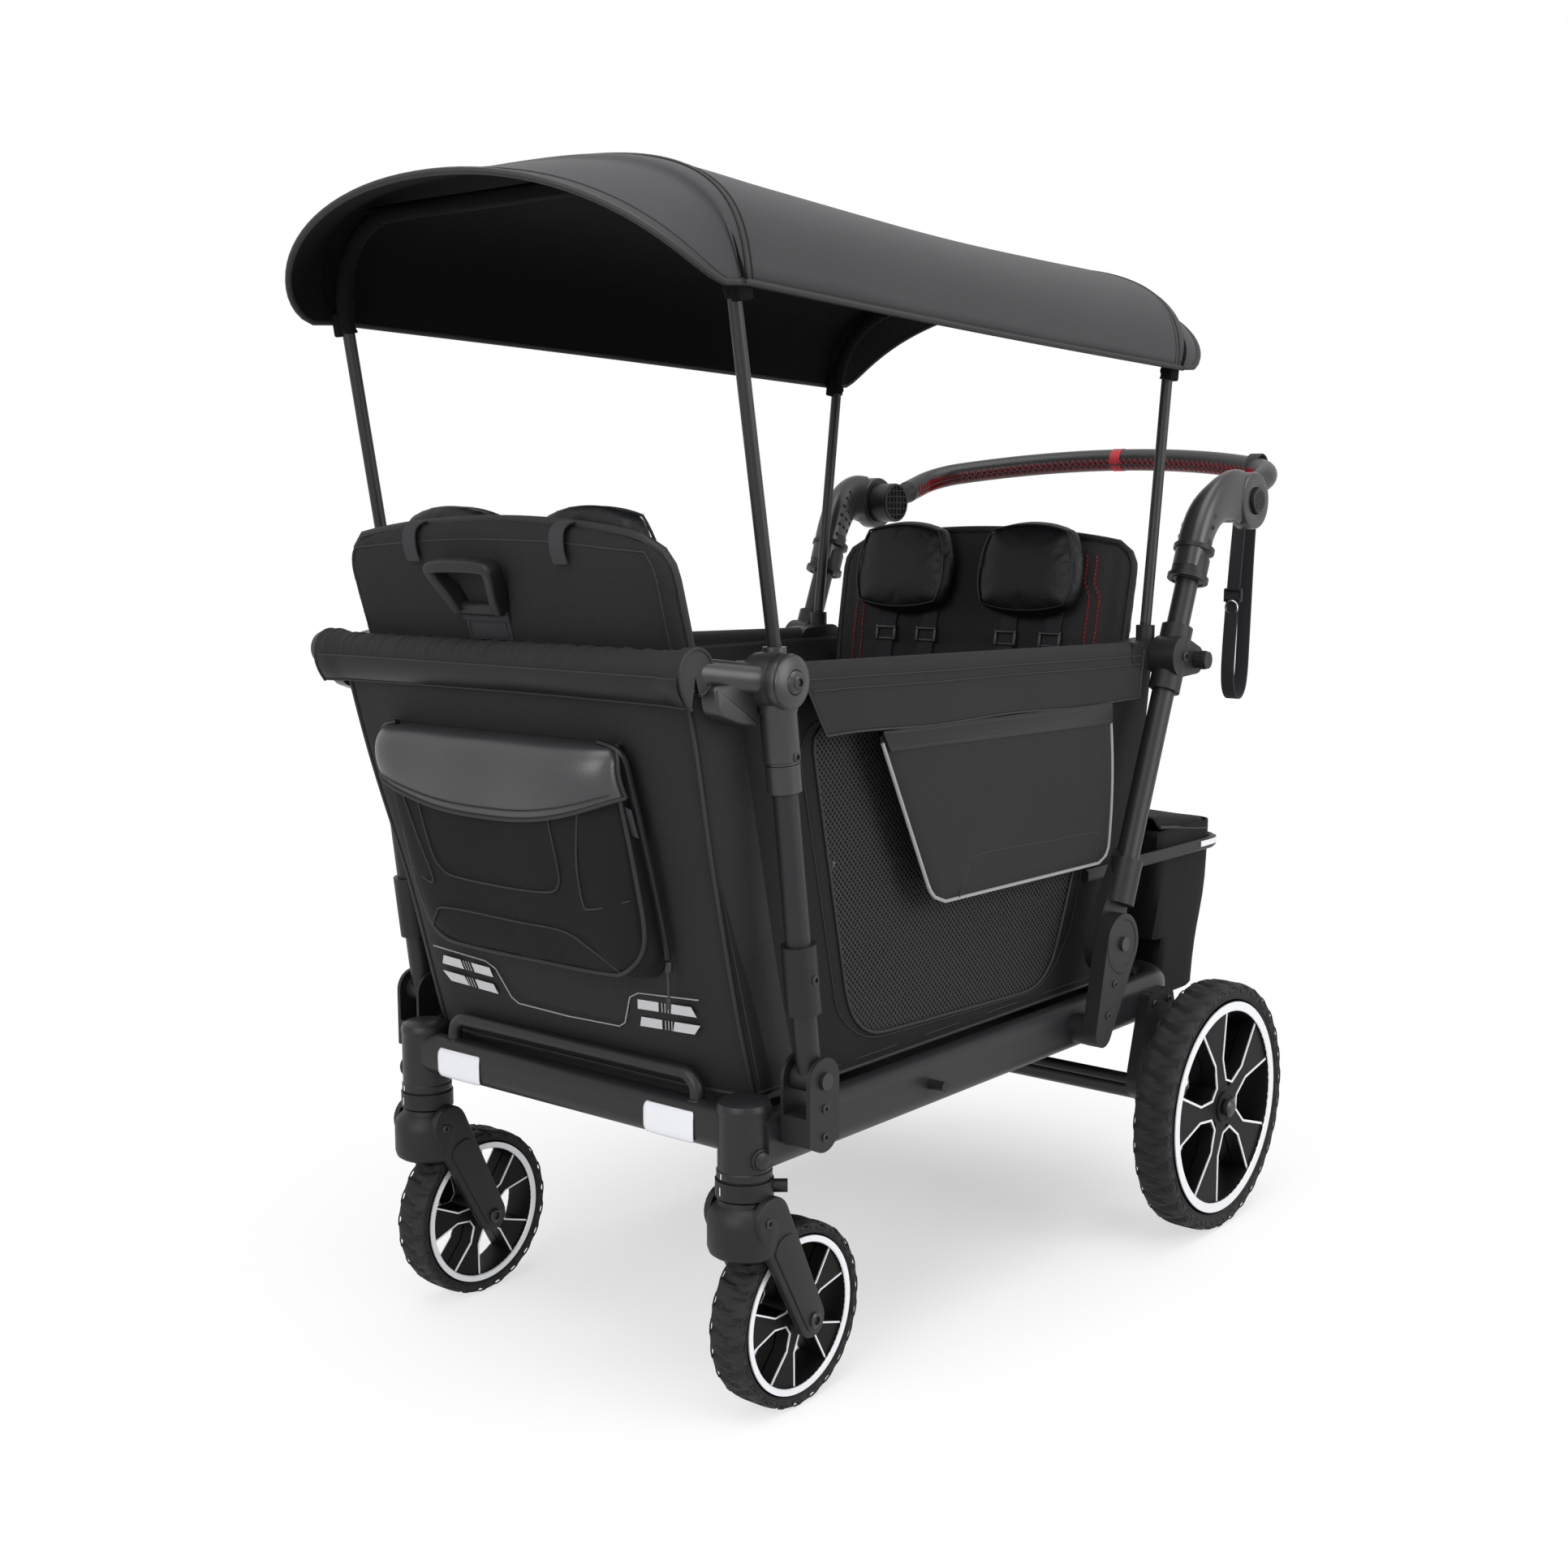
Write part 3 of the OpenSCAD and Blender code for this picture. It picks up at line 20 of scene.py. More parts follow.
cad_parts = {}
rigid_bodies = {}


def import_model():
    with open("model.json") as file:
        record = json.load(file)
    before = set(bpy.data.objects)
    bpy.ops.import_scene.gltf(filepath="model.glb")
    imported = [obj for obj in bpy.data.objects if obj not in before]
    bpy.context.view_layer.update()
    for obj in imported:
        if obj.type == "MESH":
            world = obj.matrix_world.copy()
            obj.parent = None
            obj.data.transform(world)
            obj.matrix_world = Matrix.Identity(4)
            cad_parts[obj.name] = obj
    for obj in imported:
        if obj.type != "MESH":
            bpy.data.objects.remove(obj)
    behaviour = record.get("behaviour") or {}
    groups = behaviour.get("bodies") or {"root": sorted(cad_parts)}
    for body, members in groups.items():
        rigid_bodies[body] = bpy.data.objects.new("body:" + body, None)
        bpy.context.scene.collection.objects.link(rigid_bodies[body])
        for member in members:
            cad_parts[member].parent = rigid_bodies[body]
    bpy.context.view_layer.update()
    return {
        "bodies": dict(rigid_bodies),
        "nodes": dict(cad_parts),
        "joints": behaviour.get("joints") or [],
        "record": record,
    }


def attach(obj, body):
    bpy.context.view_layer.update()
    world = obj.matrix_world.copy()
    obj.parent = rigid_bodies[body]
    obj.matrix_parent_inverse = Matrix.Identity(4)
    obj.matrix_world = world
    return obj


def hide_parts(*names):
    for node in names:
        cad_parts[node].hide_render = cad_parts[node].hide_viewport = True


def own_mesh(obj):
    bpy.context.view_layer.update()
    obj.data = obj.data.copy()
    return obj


LOG = logging.getLogger("wagon")
MM = 0.001
Pair = tuple[float, float]
Shape = Callable[[float, float], Vector]
Verts = list[bmesh.types.BMVert]
SIDES = ((1, "left"), (-1, "right"))
WAYS = (1, -1)
WELD = 0.002
SWELL_FRAMES = 20


class Grain(Enum):
    """The kinds of surface detail a finish can have."""

    SPECKLE = "speckle"
    WEAVE = "weave"
    NET = "net"
    HIDE = "hide"
    TWILL = "twill"
    BRUSH = "brush"


class Sock:
    """A node socket that takes part in Python sums."""

    def __init__(self, graph: Graph, socket: bpy.types.NodeSocket) -> None:
        """Keeps the graph and the socket."""
        self.graph, self.socket = graph, socket

    def math(self, kind: str, first: Any, second: Any = None) -> Sock:
        """The result of a new Math node on numbers or sockets."""
        return self.graph.node("Math", {"operation": kind}, {0: first, 1: second})

    def __add__(self, other: Any) -> Sock:
        """Sum."""
        return self.math("ADD", self, other)

    def __sub__(self, other: Any) -> Sock:
        """Difference."""
        return self.math("SUBTRACT", self, other)

    def __rsub__(self, other: Any) -> Sock:
        """Difference from a number."""
        return self.math("SUBTRACT", other, self)

    def __mul__(self, other: Any) -> Sock:
        """Product."""
        return self.math("MULTIPLY", self, other)

    def __gt__(self, other: Any) -> Sock:
        """One where it is greater, else zero."""
        return self.math("GREATER_THAN", self, other)

    def wave(self, pitch: float) -> Sock:
        """A sine of the given pitch in metres."""
        return self.math("SINE", self * (2 * pi / pitch))


class Graph:
    """A material or world node tree under construction."""

    def __init__(self, tree: bpy.types.NodeTree) -> None:
        """Starts from an empty tree."""
        self.tree = tree
        tree.nodes.clear()

    def node(self, kind: str, settings: dict[str, Any] | None = None, sockets: dict[Any, Any] | None = None,
             out: int | str = 0) -> Sock:
        """Adds one node.

        Args:
            kind: the shader node's type.
            settings: properties that are set first.
            sockets: values or links by socket name or number.
            out: the output that is returned.

        Returns:
            That output.
        """
        made = self.tree.nodes.new("ShaderNode" + kind)
        for key, value in (settings or {}).items():
            setattr(made, key, value)
        for key, value in (sockets or {}).items():
            if isinstance(value, Sock):
                self.tree.links.new(value.socket, made.inputs[key])
            elif value is not None:
                made.inputs[key].default_value = value
        return Sock(self, made.outputs[out]) if made.outputs else None

    def mix(self, share: Any, first: Any, second: Any) -> Sock:
        """A colour between two others by a share."""
        return self.node("Mix", {"data_type": "RGBA"}, {0: share, 6: first, 7: second}, 2)


@dataclass(frozen=True)
class Finish:
    """One procedural finish of the wagon.

    pitch is the size of the surface detail in metres, bump its depth in metres, vary the share by which the
    colour changes over the surface and shine the strength of its reflections.
    """

    name: str
    slot: str
    color: tuple[float, float, float]
    rough: float = 0.6
    grain: Grain = Grain.SPECKLE
    pitch: float = 0.0015
    bump: float = 0.0002
    vary: float = 0.2
    metal: float = 0.0
    coat: float = 0.0
    sheen: float = 0.0
    shine: float = 0.5

    def tone(self, share: float) -> tuple[float, float, float, float]:
        """The finish's colour made lighter or darker by a share."""
        return tuple(min(1.0, c * (1 + share)) for c in self.color) + (1.0,)

    def relief(self, graph: Graph, spot: Sock) -> tuple[Sock, Sock | None]:
        """The surface detail as a height.

        Args:
            graph: the material's node tree.
            spot: Object coordinates.

        Returns:
            A height from about 0 to 1, and the cover where the cloth has holes.
        """
        noise = graph.node("TexNoise", {}, {"Vector": spot, "Scale": 1 / self.pitch, "Detail": 2.0})
        if self.grain is Grain.HIDE:
            cell = graph.node("TexVoronoi", {"feature": "SMOOTH_F1"},
                              {"Vector": spot, "Scale": 1 / self.pitch, "Smoothness": 0.35})
            return cell * 0.8 + noise * 0.2, None
        if self.grain is Grain.BRUSH:
            long = graph.node("Mapping", {}, {"Vector": spot, "Scale": (0.08, 1.0, 1.0)})
            return graph.node("TexNoise", {}, {"Vector": long, "Scale": 1 / self.pitch}), None
        if self.grain is Grain.SPECKLE:
            return noise, None
        split = self.split(graph, spot)
        across, along = split[0] + split[1], split[2] + split[1] * 0.7
        if self.grain is Grain.TWILL:
            return (across + along).wave(self.pitch) * 0.35 + noise * 0.3 + 0.35, None
        height = across.wave(self.pitch) * along.wave(self.pitch) * 0.4 + noise * 0.3 + 0.35
        if self.grain is Grain.NET:
            hole = (split[1] + split[2]).wave(self.pitch) * (split[1] - split[2]).wave(self.pitch)
            return height, 1 - (hole.math("ABSOLUTE", hole) > 0.42)
        return height, None

    @staticmethod
    def split(graph: Graph, spot: Sock) -> list[Sock]:
        """The x, y and z of a vector socket."""
        first = graph.node("SeparateXYZ", {}, {0: spot})
        return [Sock(graph, first.socket.node.outputs[k]) for k in range(3)]

    def material(self) -> bpy.types.Material:
        """Makes the finish's material once and returns it."""
        known = bpy.data.materials.get(self.name)
        if known:
            return known
        made = bpy.data.materials.new(self.name)
        made.use_nodes = True
        graph = Graph(made.node_tree)
        spot = graph.node("TexCoord", {}, {}, "Object")
        height, cover = self.relief(graph, spot)
        cloud = graph.node("TexNoise", {}, {"Vector": spot, "Scale": 9.0, "Detail": 3.0})
        share = height * 0.5 + cloud * 0.5
        color = graph.mix(share, self.tone(-self.vary), self.tone(self.vary))
        # The net's holes are painted near black and left mostly opaque: painted shade of the tub's inside seen through
        # the net.
        if cover is not None:
            color = graph.mix(cover, (0.0015, 0.0015, 0.0016, 1.0), color)
            cover = cover * 0.22 + 0.78
        bump = graph.node("Bump", {}, {"Height": height, "Strength": 0.7, "Distance": self.bump})
        rough = (cloud - 0.5) * 0.16 + (height - 0.5) * 0.08 + self.rough
        shader = graph.node("BsdfPrincipled", {}, {
            "Base Color": color, "Roughness": rough, "Metallic": self.metal, "Coat Weight": self.coat,
            "Coat Roughness": 0.25, "Sheen Weight": self.sheen, "Sheen Roughness": 0.4, "Normal": bump,
            "Specular IOR Level": self.shine, "Alpha": cover})
        graph.node("OutputMaterial", {}, {"Surface": shader})
        return made


POWDER = Finish("powder_coat", "frame_paint", (0.0115, 0.0118, 0.013), 0.4, Grain.SPECKLE, 0.0009, 0.00012, 0.1,
                shine=0.3)
PLASTIC = Finish("moulded_plastic", "black_plastic", (0.0085, 0.0088, 0.0095), 0.47, Grain.SPECKLE, 0.0007, 0.00012,
                 0.1, shine=0.28)
# A lighter, glossier copy of the black plastic for elbows, hub rings, corner hubs and harness sliders: the gloss is
# real, and part of the lightness is a painted highlight.
LIT_GLOSS = Finish("lit_gloss_plastic", "black_plastic", (0.017, 0.0175, 0.0185), 0.33, Grain.SPECKLE, 0.0007, 0.0001, 0.1)
SATIN = Finish("satin_black", "rim_plastic", (0.004, 0.004, 0.0043), 0.5, Grain.SPECKLE, 0.002, 0.00005, 0.1,
               shine=0.12)
SILVER = Finish("silver_edge", "steel", (0.74, 0.75, 0.77), 0.34, Grain.BRUSH, 0.0015, 0.00003, 0.05, 0.35)
STEEL = Finish("bright_steel", "steel", (0.5, 0.5, 0.52), 0.3, Grain.BRUSH, 0.001, 0.00004, 0.1, 1.0)
DARK_STEEL = Finish("dark_steel", "steel", (0.04, 0.04, 0.043), 0.34, Grain.SPECKLE, 0.001, 0.00004, 0.1, 0.7)
RUBBER = Finish("tyre_rubber", "tyre_foam", (0.011, 0.011, 0.0115), 0.7, Grain.SPECKLE, 0.0014, 0.0003, 0.15,
                shine=0.32)
CANOPY = Finish("canopy_weave", "canopy_cloth", (0.031, 0.031, 0.0335), 0.82, Grain.WEAVE, 0.0018, 0.00012, 0.1,
                sheen=0.03, shine=0.4)
LINING = Finish("canopy_lining", "canopy_cloth", (0.003, 0.003, 0.0034), 0.9, Grain.WEAVE, 0.002, 0.00012, 0.15,
                shine=0.12)
TUB = Finish("tub_weave", "tub_cloth", (0.0092, 0.009, 0.0089), 0.86, Grain.WEAVE, 0.0022, 0.0003, 0.22, shine=0.36)
# A darker copy of the tub cloth: on the basket under the tub and on the side walls below the pockets its darkness is
# painted shade. The bag's body and the basket's lid use it too.
DARK_AND_SHADED_WEAVE = Finish("dark_and_painted_shade_weave", "tub_cloth", (0.0065, 0.0064, 0.0064), 0.88, Grain.WEAVE, 0.0022, 0.0003, 0.22, shine=0.22)
SEAT = Finish("seat_weave", "seat_cloth", (0.012, 0.012, 0.0123), 0.88, Grain.WEAVE, 0.0026, 0.0004, 0.25, shine=0.26)
# A lighter copy of the seat cloth for the rear seat: painted light that makes up for the shade of the canopy over it.
LIT_SEAT = Finish("painted_light_seat_weave", "seat_cloth", (0.024, 0.024, 0.0245), 0.88, Grain.WEAVE, 0.0026, 0.0004, 0.25,
                   shine=0.3)
NET = Finish("window_net", "mesh_cloth", (0.024, 0.024, 0.025), 0.75, Grain.NET, 0.015, 0.0004, 0.15, shine=0.25)
HIDE = Finish("soft_leather", "grip_leather", (0.0085, 0.009, 0.01), 0.4, Grain.HIDE, 0.0022, 0.00025, 0.12, shine=0.42)
PAD_HIDE = Finish("pad_leather", "grip_leather", (0.0052, 0.0056, 0.0066), 0.46, Grain.HIDE, 0.0026, 0.0003, 0.12,
                  shine=0.24)
BAND = Finish("smooth_leather", "grip_leather", (0.0065, 0.0068, 0.0078), 0.4, Grain.HIDE, 0.0016, 0.0001, 0.1,
              shine=0.24)
# A lighter copy of the leather for the bag's lid: its lightness is a painted highlight of the light from above the
# front.
LIT_LID_HIDE = Finish("painted_highlight_lid_leather", "grip_leather", (0.023, 0.0235, 0.0255), 0.36, Grain.HIDE, 0.0018, 0.00015, 0.12,
                  shine=0.6)
WEBBING = Finish("webbing", "webbing", (0.008, 0.008, 0.0085), 0.82, Grain.TWILL, 0.003, 0.0004, 0.25)
PIPING = Finish("edge_piping", "tub_cloth", (0.0055, 0.0055, 0.0058), 0.66, Grain.TWILL, 0.002, 0.0002, 0.2)
GREY_PIPING = Finish("grey_piping", "webbing", (0.26, 0.26, 0.27), 0.5, Grain.TWILL, 0.003, 0.0002, 0.15)
RED_THREAD = Finish("red_thread", "grip_leather", (0.4, 0.014, 0.02), 0.6, Grain.TWILL, 0.0015, 0.0002, 0.2)
BLACK_THREAD = Finish("black_thread", "tub_cloth", (0.017, 0.017, 0.0175), 0.8, Grain.TWILL, 0.0015, 0.0002, 0.2)
REFLECTOR = Finish("reflector_patch", "webbing", (0.68, 0.685, 0.72), 0.45, Grain.SPECKLE, 0.002, 0.00005, 0.05)
REFLEX = Finish("reflective_print", "webbing", (0.42, 0.42, 0.43), 0.4, Grain.SPECKLE, 0.001, 0.00005, 0.1)


def at(x: float, y: float, z: float) -> Vector:
    """A point in millimetres."""
    return Vector((x, y, z))


def soft(t: float) -> float:
    """A smooth step from 0 to 1."""
    t = min(1.0, max(0.0, t))
    return t * t * (3 - 2 * t)


def shares(count: int) -> list[float]:
    """Even steps from 0 to 1, both ends included."""
    return [k / count for k in range(count + 1)]


def circle(radius: float, count: int) -> list[Pair]:
    """Points at even steps round a circle."""
    return [(radius * cos(a), radius * sin(a)) for a in (2 * pi * k / count for k in range(count))]


def brim(place: float, power: float, bend: float = 0.5) -> float:
    """A crown that is 1 at 0 and falls to 0 at -1 and 1, later for a higher power."""
    return max(0.0, 1 - abs(place) ** power) ** bend


def squarer(value: float, power: float) -> float:
    """A sine or cosine raised to a power with its sign kept, which squares a circle off."""
    return copysign(abs(value) ** power, value)


def three_sides(sides: int, along: int) -> list[Pair]:
    """The left, upper and right edges of a sheet as one line.

    Args:
        sides: steps up each side.
        along: steps along the upper edge.

    Returns:
        The line's (u, v).
    """
    upper = [(t, 1.0) for t in shares(along)[1:-1]]
    return [(0.0, t) for t in shares(sides)] + upper + [(1.0, 1 - t) for t in shares(sides)]


def flowing(points: Sequence[Vector], count: int, loop: bool = False) -> list[Vector]:
    """A smooth line through points.

    Args:
        points: the points it passes.
        count: how many points it is given.
        loop: True if it closes on itself.

    Returns:
        The line's points.
    """
    total, spans = len(points), len(points) if loop else len(points) - 1
    line = []
    for k in range(count):
        t = spans * k / (count if loop else count - 1)
        i = min(int(t), spans - 1)
        pick = [(i + d) % total if loop else min(max(i + d, 0), total - 1) for d in (-1, 0, 1, 2)]
        a, b, c, d = (points[p] for p in pick)
        f = t - i
        spot = 2 * b + (c - a) * f + (2 * a - 5 * b + 4 * c - d) * f * f
        line.append(0.5 * (spot + (3 * b - a - 3 * c + d) * f ** 3))
    return line


def rounded(corners: Sequence[Pair], radii: Sequence[float],
            steps: int = 6) -> list[Pair]:
    """A closed outline with round corners.

    Args:
        corners: the outline's sharp corners in order.
        radii: how far each corner is cut back.
        steps: points round a corner.

    Returns:
        The outline's points.
    """
    line, total = [], len(corners)
    for i, corner in enumerate(corners):
        spot = Vector(corner)
        back, ahead = Vector(corners[i - 1]) - spot, Vector(corners[(i + 1) % total]) - spot
        first, last = spot + back.normalized() * radii[i], spot + ahead.normalized() * radii[i]
        for t in shares(steps):
            line.append(tuple(first * (1 - t) ** 2 + spot * 2 * t * (1 - t) + last * t * t))
    return line


def evenly(outline: Sequence[Any], count: int) -> list[Vector]:
    """Points at even steps along a closed outline."""
    ring = [Vector(p) for p in outline]
    ring.append(ring[0])
    lengths = [(b - a).length for a, b in zip(ring, ring[1:])]
    step, line, i, gone = sum(lengths) / count, [], 0, 0.0
    for k in range(count):
        goal = step * k
        while i < len(lengths) - 1 and gone + lengths[i] < goal:
            gone += lengths[i]
            i += 1
        line.append(ring[i].lerp(ring[i + 1], (goal - gone) / max(lengths[i], 1e-9)))
    return line


class Maker:
    """A bmesh that sheets, sweeps, turned shapes and blocks are added to, in millimetres."""

    def __init__(self) -> None:
        """Starts with an empty bmesh and the first finish."""
        self.bm = bmesh.new()
        self.skin = 0

    def use(self, skin: int) -> Maker:
        """Chooses the finish, by number, that the next shapes get."""
        self.skin = skin
        return self

    def dress(self, verts: Iterable[bmesh.types.BMVert], closed: bool) -> Verts:
        """Gives new faces the present finish and closes their seams.

        Args:
            verts: the new vertices.
            closed: True if the shape's seams and poles are merged.

        Returns:
            The vertices that are left.
        """
        verts = list(verts)
        for face in {f for v in verts for f in v.link_faces}:
            face.material_index = self.skin
        if closed:
            bmesh.ops.remove_doubles(self.bm, verts=verts, dist=WELD)
            verts = [v for v in verts if v.is_valid]
            bmesh.ops.recalc_face_normals(self.bm, faces=list({f for v in verts for f in v.link_faces}))
        return verts

    def weld(self) -> None:
        """Merges points that lie on each other."""
        bmesh.ops.remove_doubles(self.bm, verts=list(self.bm.verts), dist=WELD)

    def pillow(self, front: Shape, rear: Shape, nu: int, nv: int) -> None:
        """A closed pad.

        Args:
            front: the shape of its front sheet.
            rear: the shape of its rear sheet, which meets the front one all round.
            nu: cells along u.
            nv: cells along v.
        """
        self.sheet(front, nu, nv)
        self.sheet(rear, nu, nv)
        self.dress(list(self.bm.verts), True)

    def sheet(self, shape: Shape, nu: int, nv: int, closed: bool = False,
              facing: Vector | None = None) -> Verts:
        """A grid bent into shape.

        Args:
            shape: gives a point for (u, v), both from 0 to 1.
            nu: cells along u.
            nv: cells along v.
            closed: True if its edges meet and are merged.
            facing: the side that an open sheet shows.

        Returns:
            Its vertices.
        """
        verts = bmesh.ops.create_grid(self.bm, x_segments=nu, y_segments=nv, size=0.5)["verts"]
        for vert in verts:
            vert.co = shape(vert.co.x + 0.5, vert.co.y + 0.5)
        verts = self.dress(verts, closed)
        if facing is not None:
            faces = list({f for v in verts for f in v.link_faces})
            for face in faces:
                face.normal_update()
            if sum((f.normal * f.calc_area() for f in faces), Vector()).dot(facing) < 0:
                bmesh.ops.reverse_faces(self.bm, faces=faces)
        return verts

    def sweep(self, path: Sequence[Vector], section: Sequence[Pair], across: Vector | None = None,
              loop: bool = False) -> Verts:
        """A section carried along a path.

        Args:
            path: the points it follows.
            section: its outline, across and up from the path.
            across: the direction of the section's first axis, or None to let it turn freely.
            loop: True if the path closes on itself.

        Returns:
            Its vertices.
        """
        total = len(path)
        frames, side = [], across
        for i, spot in enumerate(path):
            ahead = path[(i + 1) % total] if loop or i + 1 < total else spot
            back = path[i - 1] if loop or i else spot
            run = (ahead - back).normalized()
            if side is None:
                side = run.orthogonal()
            base = across if across is not None else side
            side = (base - run * base.dot(run)).normalized()
            frames.append((spot, side, run.cross(side)))
        count, rows = len(section), total if loop else total + 1

        def place(u: float, v: float) -> Vector:
            """The swept point at (u, v)."""
            i, j = round(u * count) % count, round(v * rows)
            if loop:
                spot, first, second = frames[j % total]
            else:
                spot, first, second = frames[min(max(j - 1, 0), total - 1)]
                if j in (0, rows):
                    return spot.copy()
            return spot + first * section[i][0] + second * section[i][1]

        return self.sheet(place, count, rows, True)

    def tube(self, path: Sequence[Vector], radius: float, ring: int = 8,
             loop: bool = False) -> Verts:
        """A round rod along a path."""
        return self.sweep(path, circle(radius, ring), None, loop)

    def strap(self, path: Sequence[Vector], across: Vector, width: float, thick: float,
              loop: bool = False) -> Verts:
        """A flat strap with soft edges along a path."""
        w, t, c = width / 2, thick / 2, thick * 0.35
        section = [(w, -t + c), (w, t - c), (w - c, t), (0, t), (c - w, t), (-w, t - c), (-w, c - t), (c - w, -t),
                   (0, -t), (w - c, -t)]
        return self.sweep(path, section, across, loop)

    def lathe(self, profile: Sequence[Pair], centre: Vector, axis: Vector,
              steps: int = 32) -> Verts:
        """A turned shape.

        Args:
            profile: radius and height along the axis, from end to end.
            centre: where height is zero.
            axis: the direction of height.
            steps: faces round the axis.

        Returns:
            Its vertices.
        """
        axis = axis.normalized()
        first = Vector((0, 0, 1)) if abs(axis.z) < 0.9 else Vector((1, 0, 0))
        first = (first - axis * first.dot(axis)).normalized()
        second = axis.cross(first)

        def place(u: float, v: float) -> Vector:
            """The turned point at (u, v)."""
            radius, height = profile[round(v * (len(profile) - 1))]
            angle = 2 * pi * (round(u * steps) % steps) / steps
            return centre + axis * height + (first * cos(angle) + second * sin(angle)) * radius

        return self.sheet(place, steps, len(profile) - 1, True)

    def block(self, centre: Vector, size: tuple[float, float, float], turn: Matrix | None = None, bevel: float = 1.5,
              segments: int = 3) -> Verts:
        """A box with round edges.

        Args:
            centre: its middle.
            size: its sides.
            turn: its rotation.
            bevel: the width of its rounding.
            segments: faces across the rounding.

        Returns:
            Its vertices.
        """
        before = set(self.bm.verts)
        verts = bmesh.ops.create_cube(self.bm, size=1.0)["verts"]
        bmesh.ops.scale(self.bm, vec=size, verts=verts)
        edges = list({e for v in verts for e in v.link_edges})
        bmesh.ops.bevel(self.bm, geom=edges, offset=bevel, segments=segments, profile=0.5, affect="EDGES",
                        material=-1)
        verts = [v for v in self.bm.verts if v not in before]
        bmesh.ops.transform(self.bm, matrix=Matrix.Translation(centre) @ (turn or Matrix()).to_4x4(), verts=verts)
        return self.dress(verts, False)

    def plate(self, outline: Sequence[Vector], depth: Vector, bevel: float = 0.0) -> Verts:
        """A flat outline given a thickness.

        Args:
            outline: its corners in order, in space.
            depth: its thickness as a vector.
            bevel: the width of the rounding on the far side.

        Returns:
            Its vertices.
        """
        face = self.bm.faces.new([self.bm.verts.new(p) for p in outline])
        first = list(face.verts)
        grown = bmesh.ops.extrude_face_region(self.bm, geom=[face], use_keep_orig=True)["geom"]
        far = [g for g in grown if isinstance(g, bmesh.types.BMVert)]
        bmesh.ops.translate(self.bm, vec=depth, verts=far)
        verts = first + far
        if bevel:
            lid = [g for g in grown if isinstance(g, bmesh.types.BMFace)][0]
            made = bmesh.ops.bevel(self.bm, geom=list(lid.edges), offset=bevel, segments=3, profile=0.5,
                                   affect="EDGES", material=-1)
            verts = [v for v in verts if v.is_valid] + made["verts"]
        return self.dress({v for v in verts if v.is_valid}, True)

    def bolt(self, centre: Vector, axis: Vector, radius: float, height: float) -> None:
        """A round bolt head with a six-sided socket."""
        self.lathe([(0, 0), (radius, 0), (radius, height * 0.6), (radius * 0.8, height), (radius * 0.52, height)],
                   centre, axis, 24)
        self.lathe([(radius * 0.52, height), (radius * 0.5, height * 0.35), (0, height * 0.3)], centre, axis, 6)

    def piece(self, name: str, body: str, *finishes: Finish, sharp: float = 40.0,
              stands_for: Sequence[str] = ()) -> bpy.types.Object:
        """Makes the bmesh a piece of the wagon.

        Args:
            name: the piece's name.
            body: the body it rides on.
            finishes: its finishes by number.
            sharp: the angle past which an edge shows.
            stands_for: the solids it replaces.

        Returns:
            The piece.
        """
        bmesh.ops.scale(self.bm, vec=(MM, MM, MM), verts=list(self.bm.verts))
        mesh = bpy.data.meshes.new(name)
        self.bm.to_mesh(mesh)
        self.bm.free()
        for finish in finishes:
            mesh.materials.append(finish.material())
        mesh.polygons.foreach_set("use_smooth", [True] * len(mesh.polygons))
        mesh.set_sharp_from_angle(angle=radians(sharp))
        made = bpy.data.objects.new(name, mesh)
        bpy.context.scene.collection.objects.link(made)
        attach(made, body)
        if stands_for:
            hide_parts(*stands_for)
        LOG.info("%s: %d faces on %s", name, len(mesh.polygons), body)
        return made


def thicken(piece: bpy.types.Object, thick: float, offset: float = -1.0, inside: int = 0) -> None:
    """Gives a sheet a live thickness.

    Args:
        piece: the sheet.
        thick: millimetres.
        offset: -1 to grow inwards, 1 outwards.
        inside: how many finishes further on the inner face and the rim are.
    """
    made = piece.modifiers.new("thickness", "SOLIDIFY")
    made.thickness, made.offset, made.use_even_offset = thick * MM, offset, False
    made.material_offset = made.material_offset_rim = inside


def round_off(piece: bpy.types.Object, level: int = 1) -> None:
    """Adds a live subdivision."""
    made = piece.modifiers.new("smooth", "SUBSURF")
    made.levels = made.render_levels = level


def swell(piece: bpy.types.Object, voxel: float, pressure: float, cap: float) -> None:
    """Fills a closed pad by a cloth simulation whose result is kept in the mesh.

    Args:
        piece: the pad.
        voxel: the size of its new cells, in millimetres.
        pressure: the filling's pressure.
        cap: how far a point may move, in millimetres.
    """
    scene = bpy.context.scene
    remesh = piece.modifiers.new("cells", "REMESH")
    remesh.mode, remesh.voxel_size, remesh.use_smooth_shade = "VOXEL", voxel * MM, True
    graph = bpy.context.evaluated_depsgraph_get()
    old, materials = piece.data, list(piece.data.materials)
    mesh = bpy.data.meshes.new_from_object(piece.evaluated_get(graph))
    piece.modifiers.clear()
    piece.data = mesh
    bpy.data.meshes.remove(old)
    mesh.materials.clear()
    for material in materials:
        mesh.materials.append(material)
    start = [v.co.copy() for v in mesh.vertices]
    cloth = piece.modifiers.new("filling", "CLOTH").settings
    cloth.use_pressure, cloth.uniform_pressure_force, cloth.quality = True, pressure, 4
    cloth.effector_weights.gravity = 0
    cloth.tension_stiffness = cloth.compression_stiffness = 12
    for frame in range(1, SWELL_FRAMES + 1):
        scene.frame_set(frame)
    done = piece.evaluated_get(bpy.context.evaluated_depsgraph_get()).data
    ends = [v.co.copy() for v in done.vertices]
    piece.modifiers.clear()
    for vert, first, last in zip(mesh.vertices, start, ends):
        move = last - first
        vert.co = first + move * min(1.0, cap * MM / max(move.length, 1e-9))
    scene.frame_set(1)
    mesh.polygons.foreach_set("use_smooth", [True] * len(mesh.polygons))
    mesh.update()


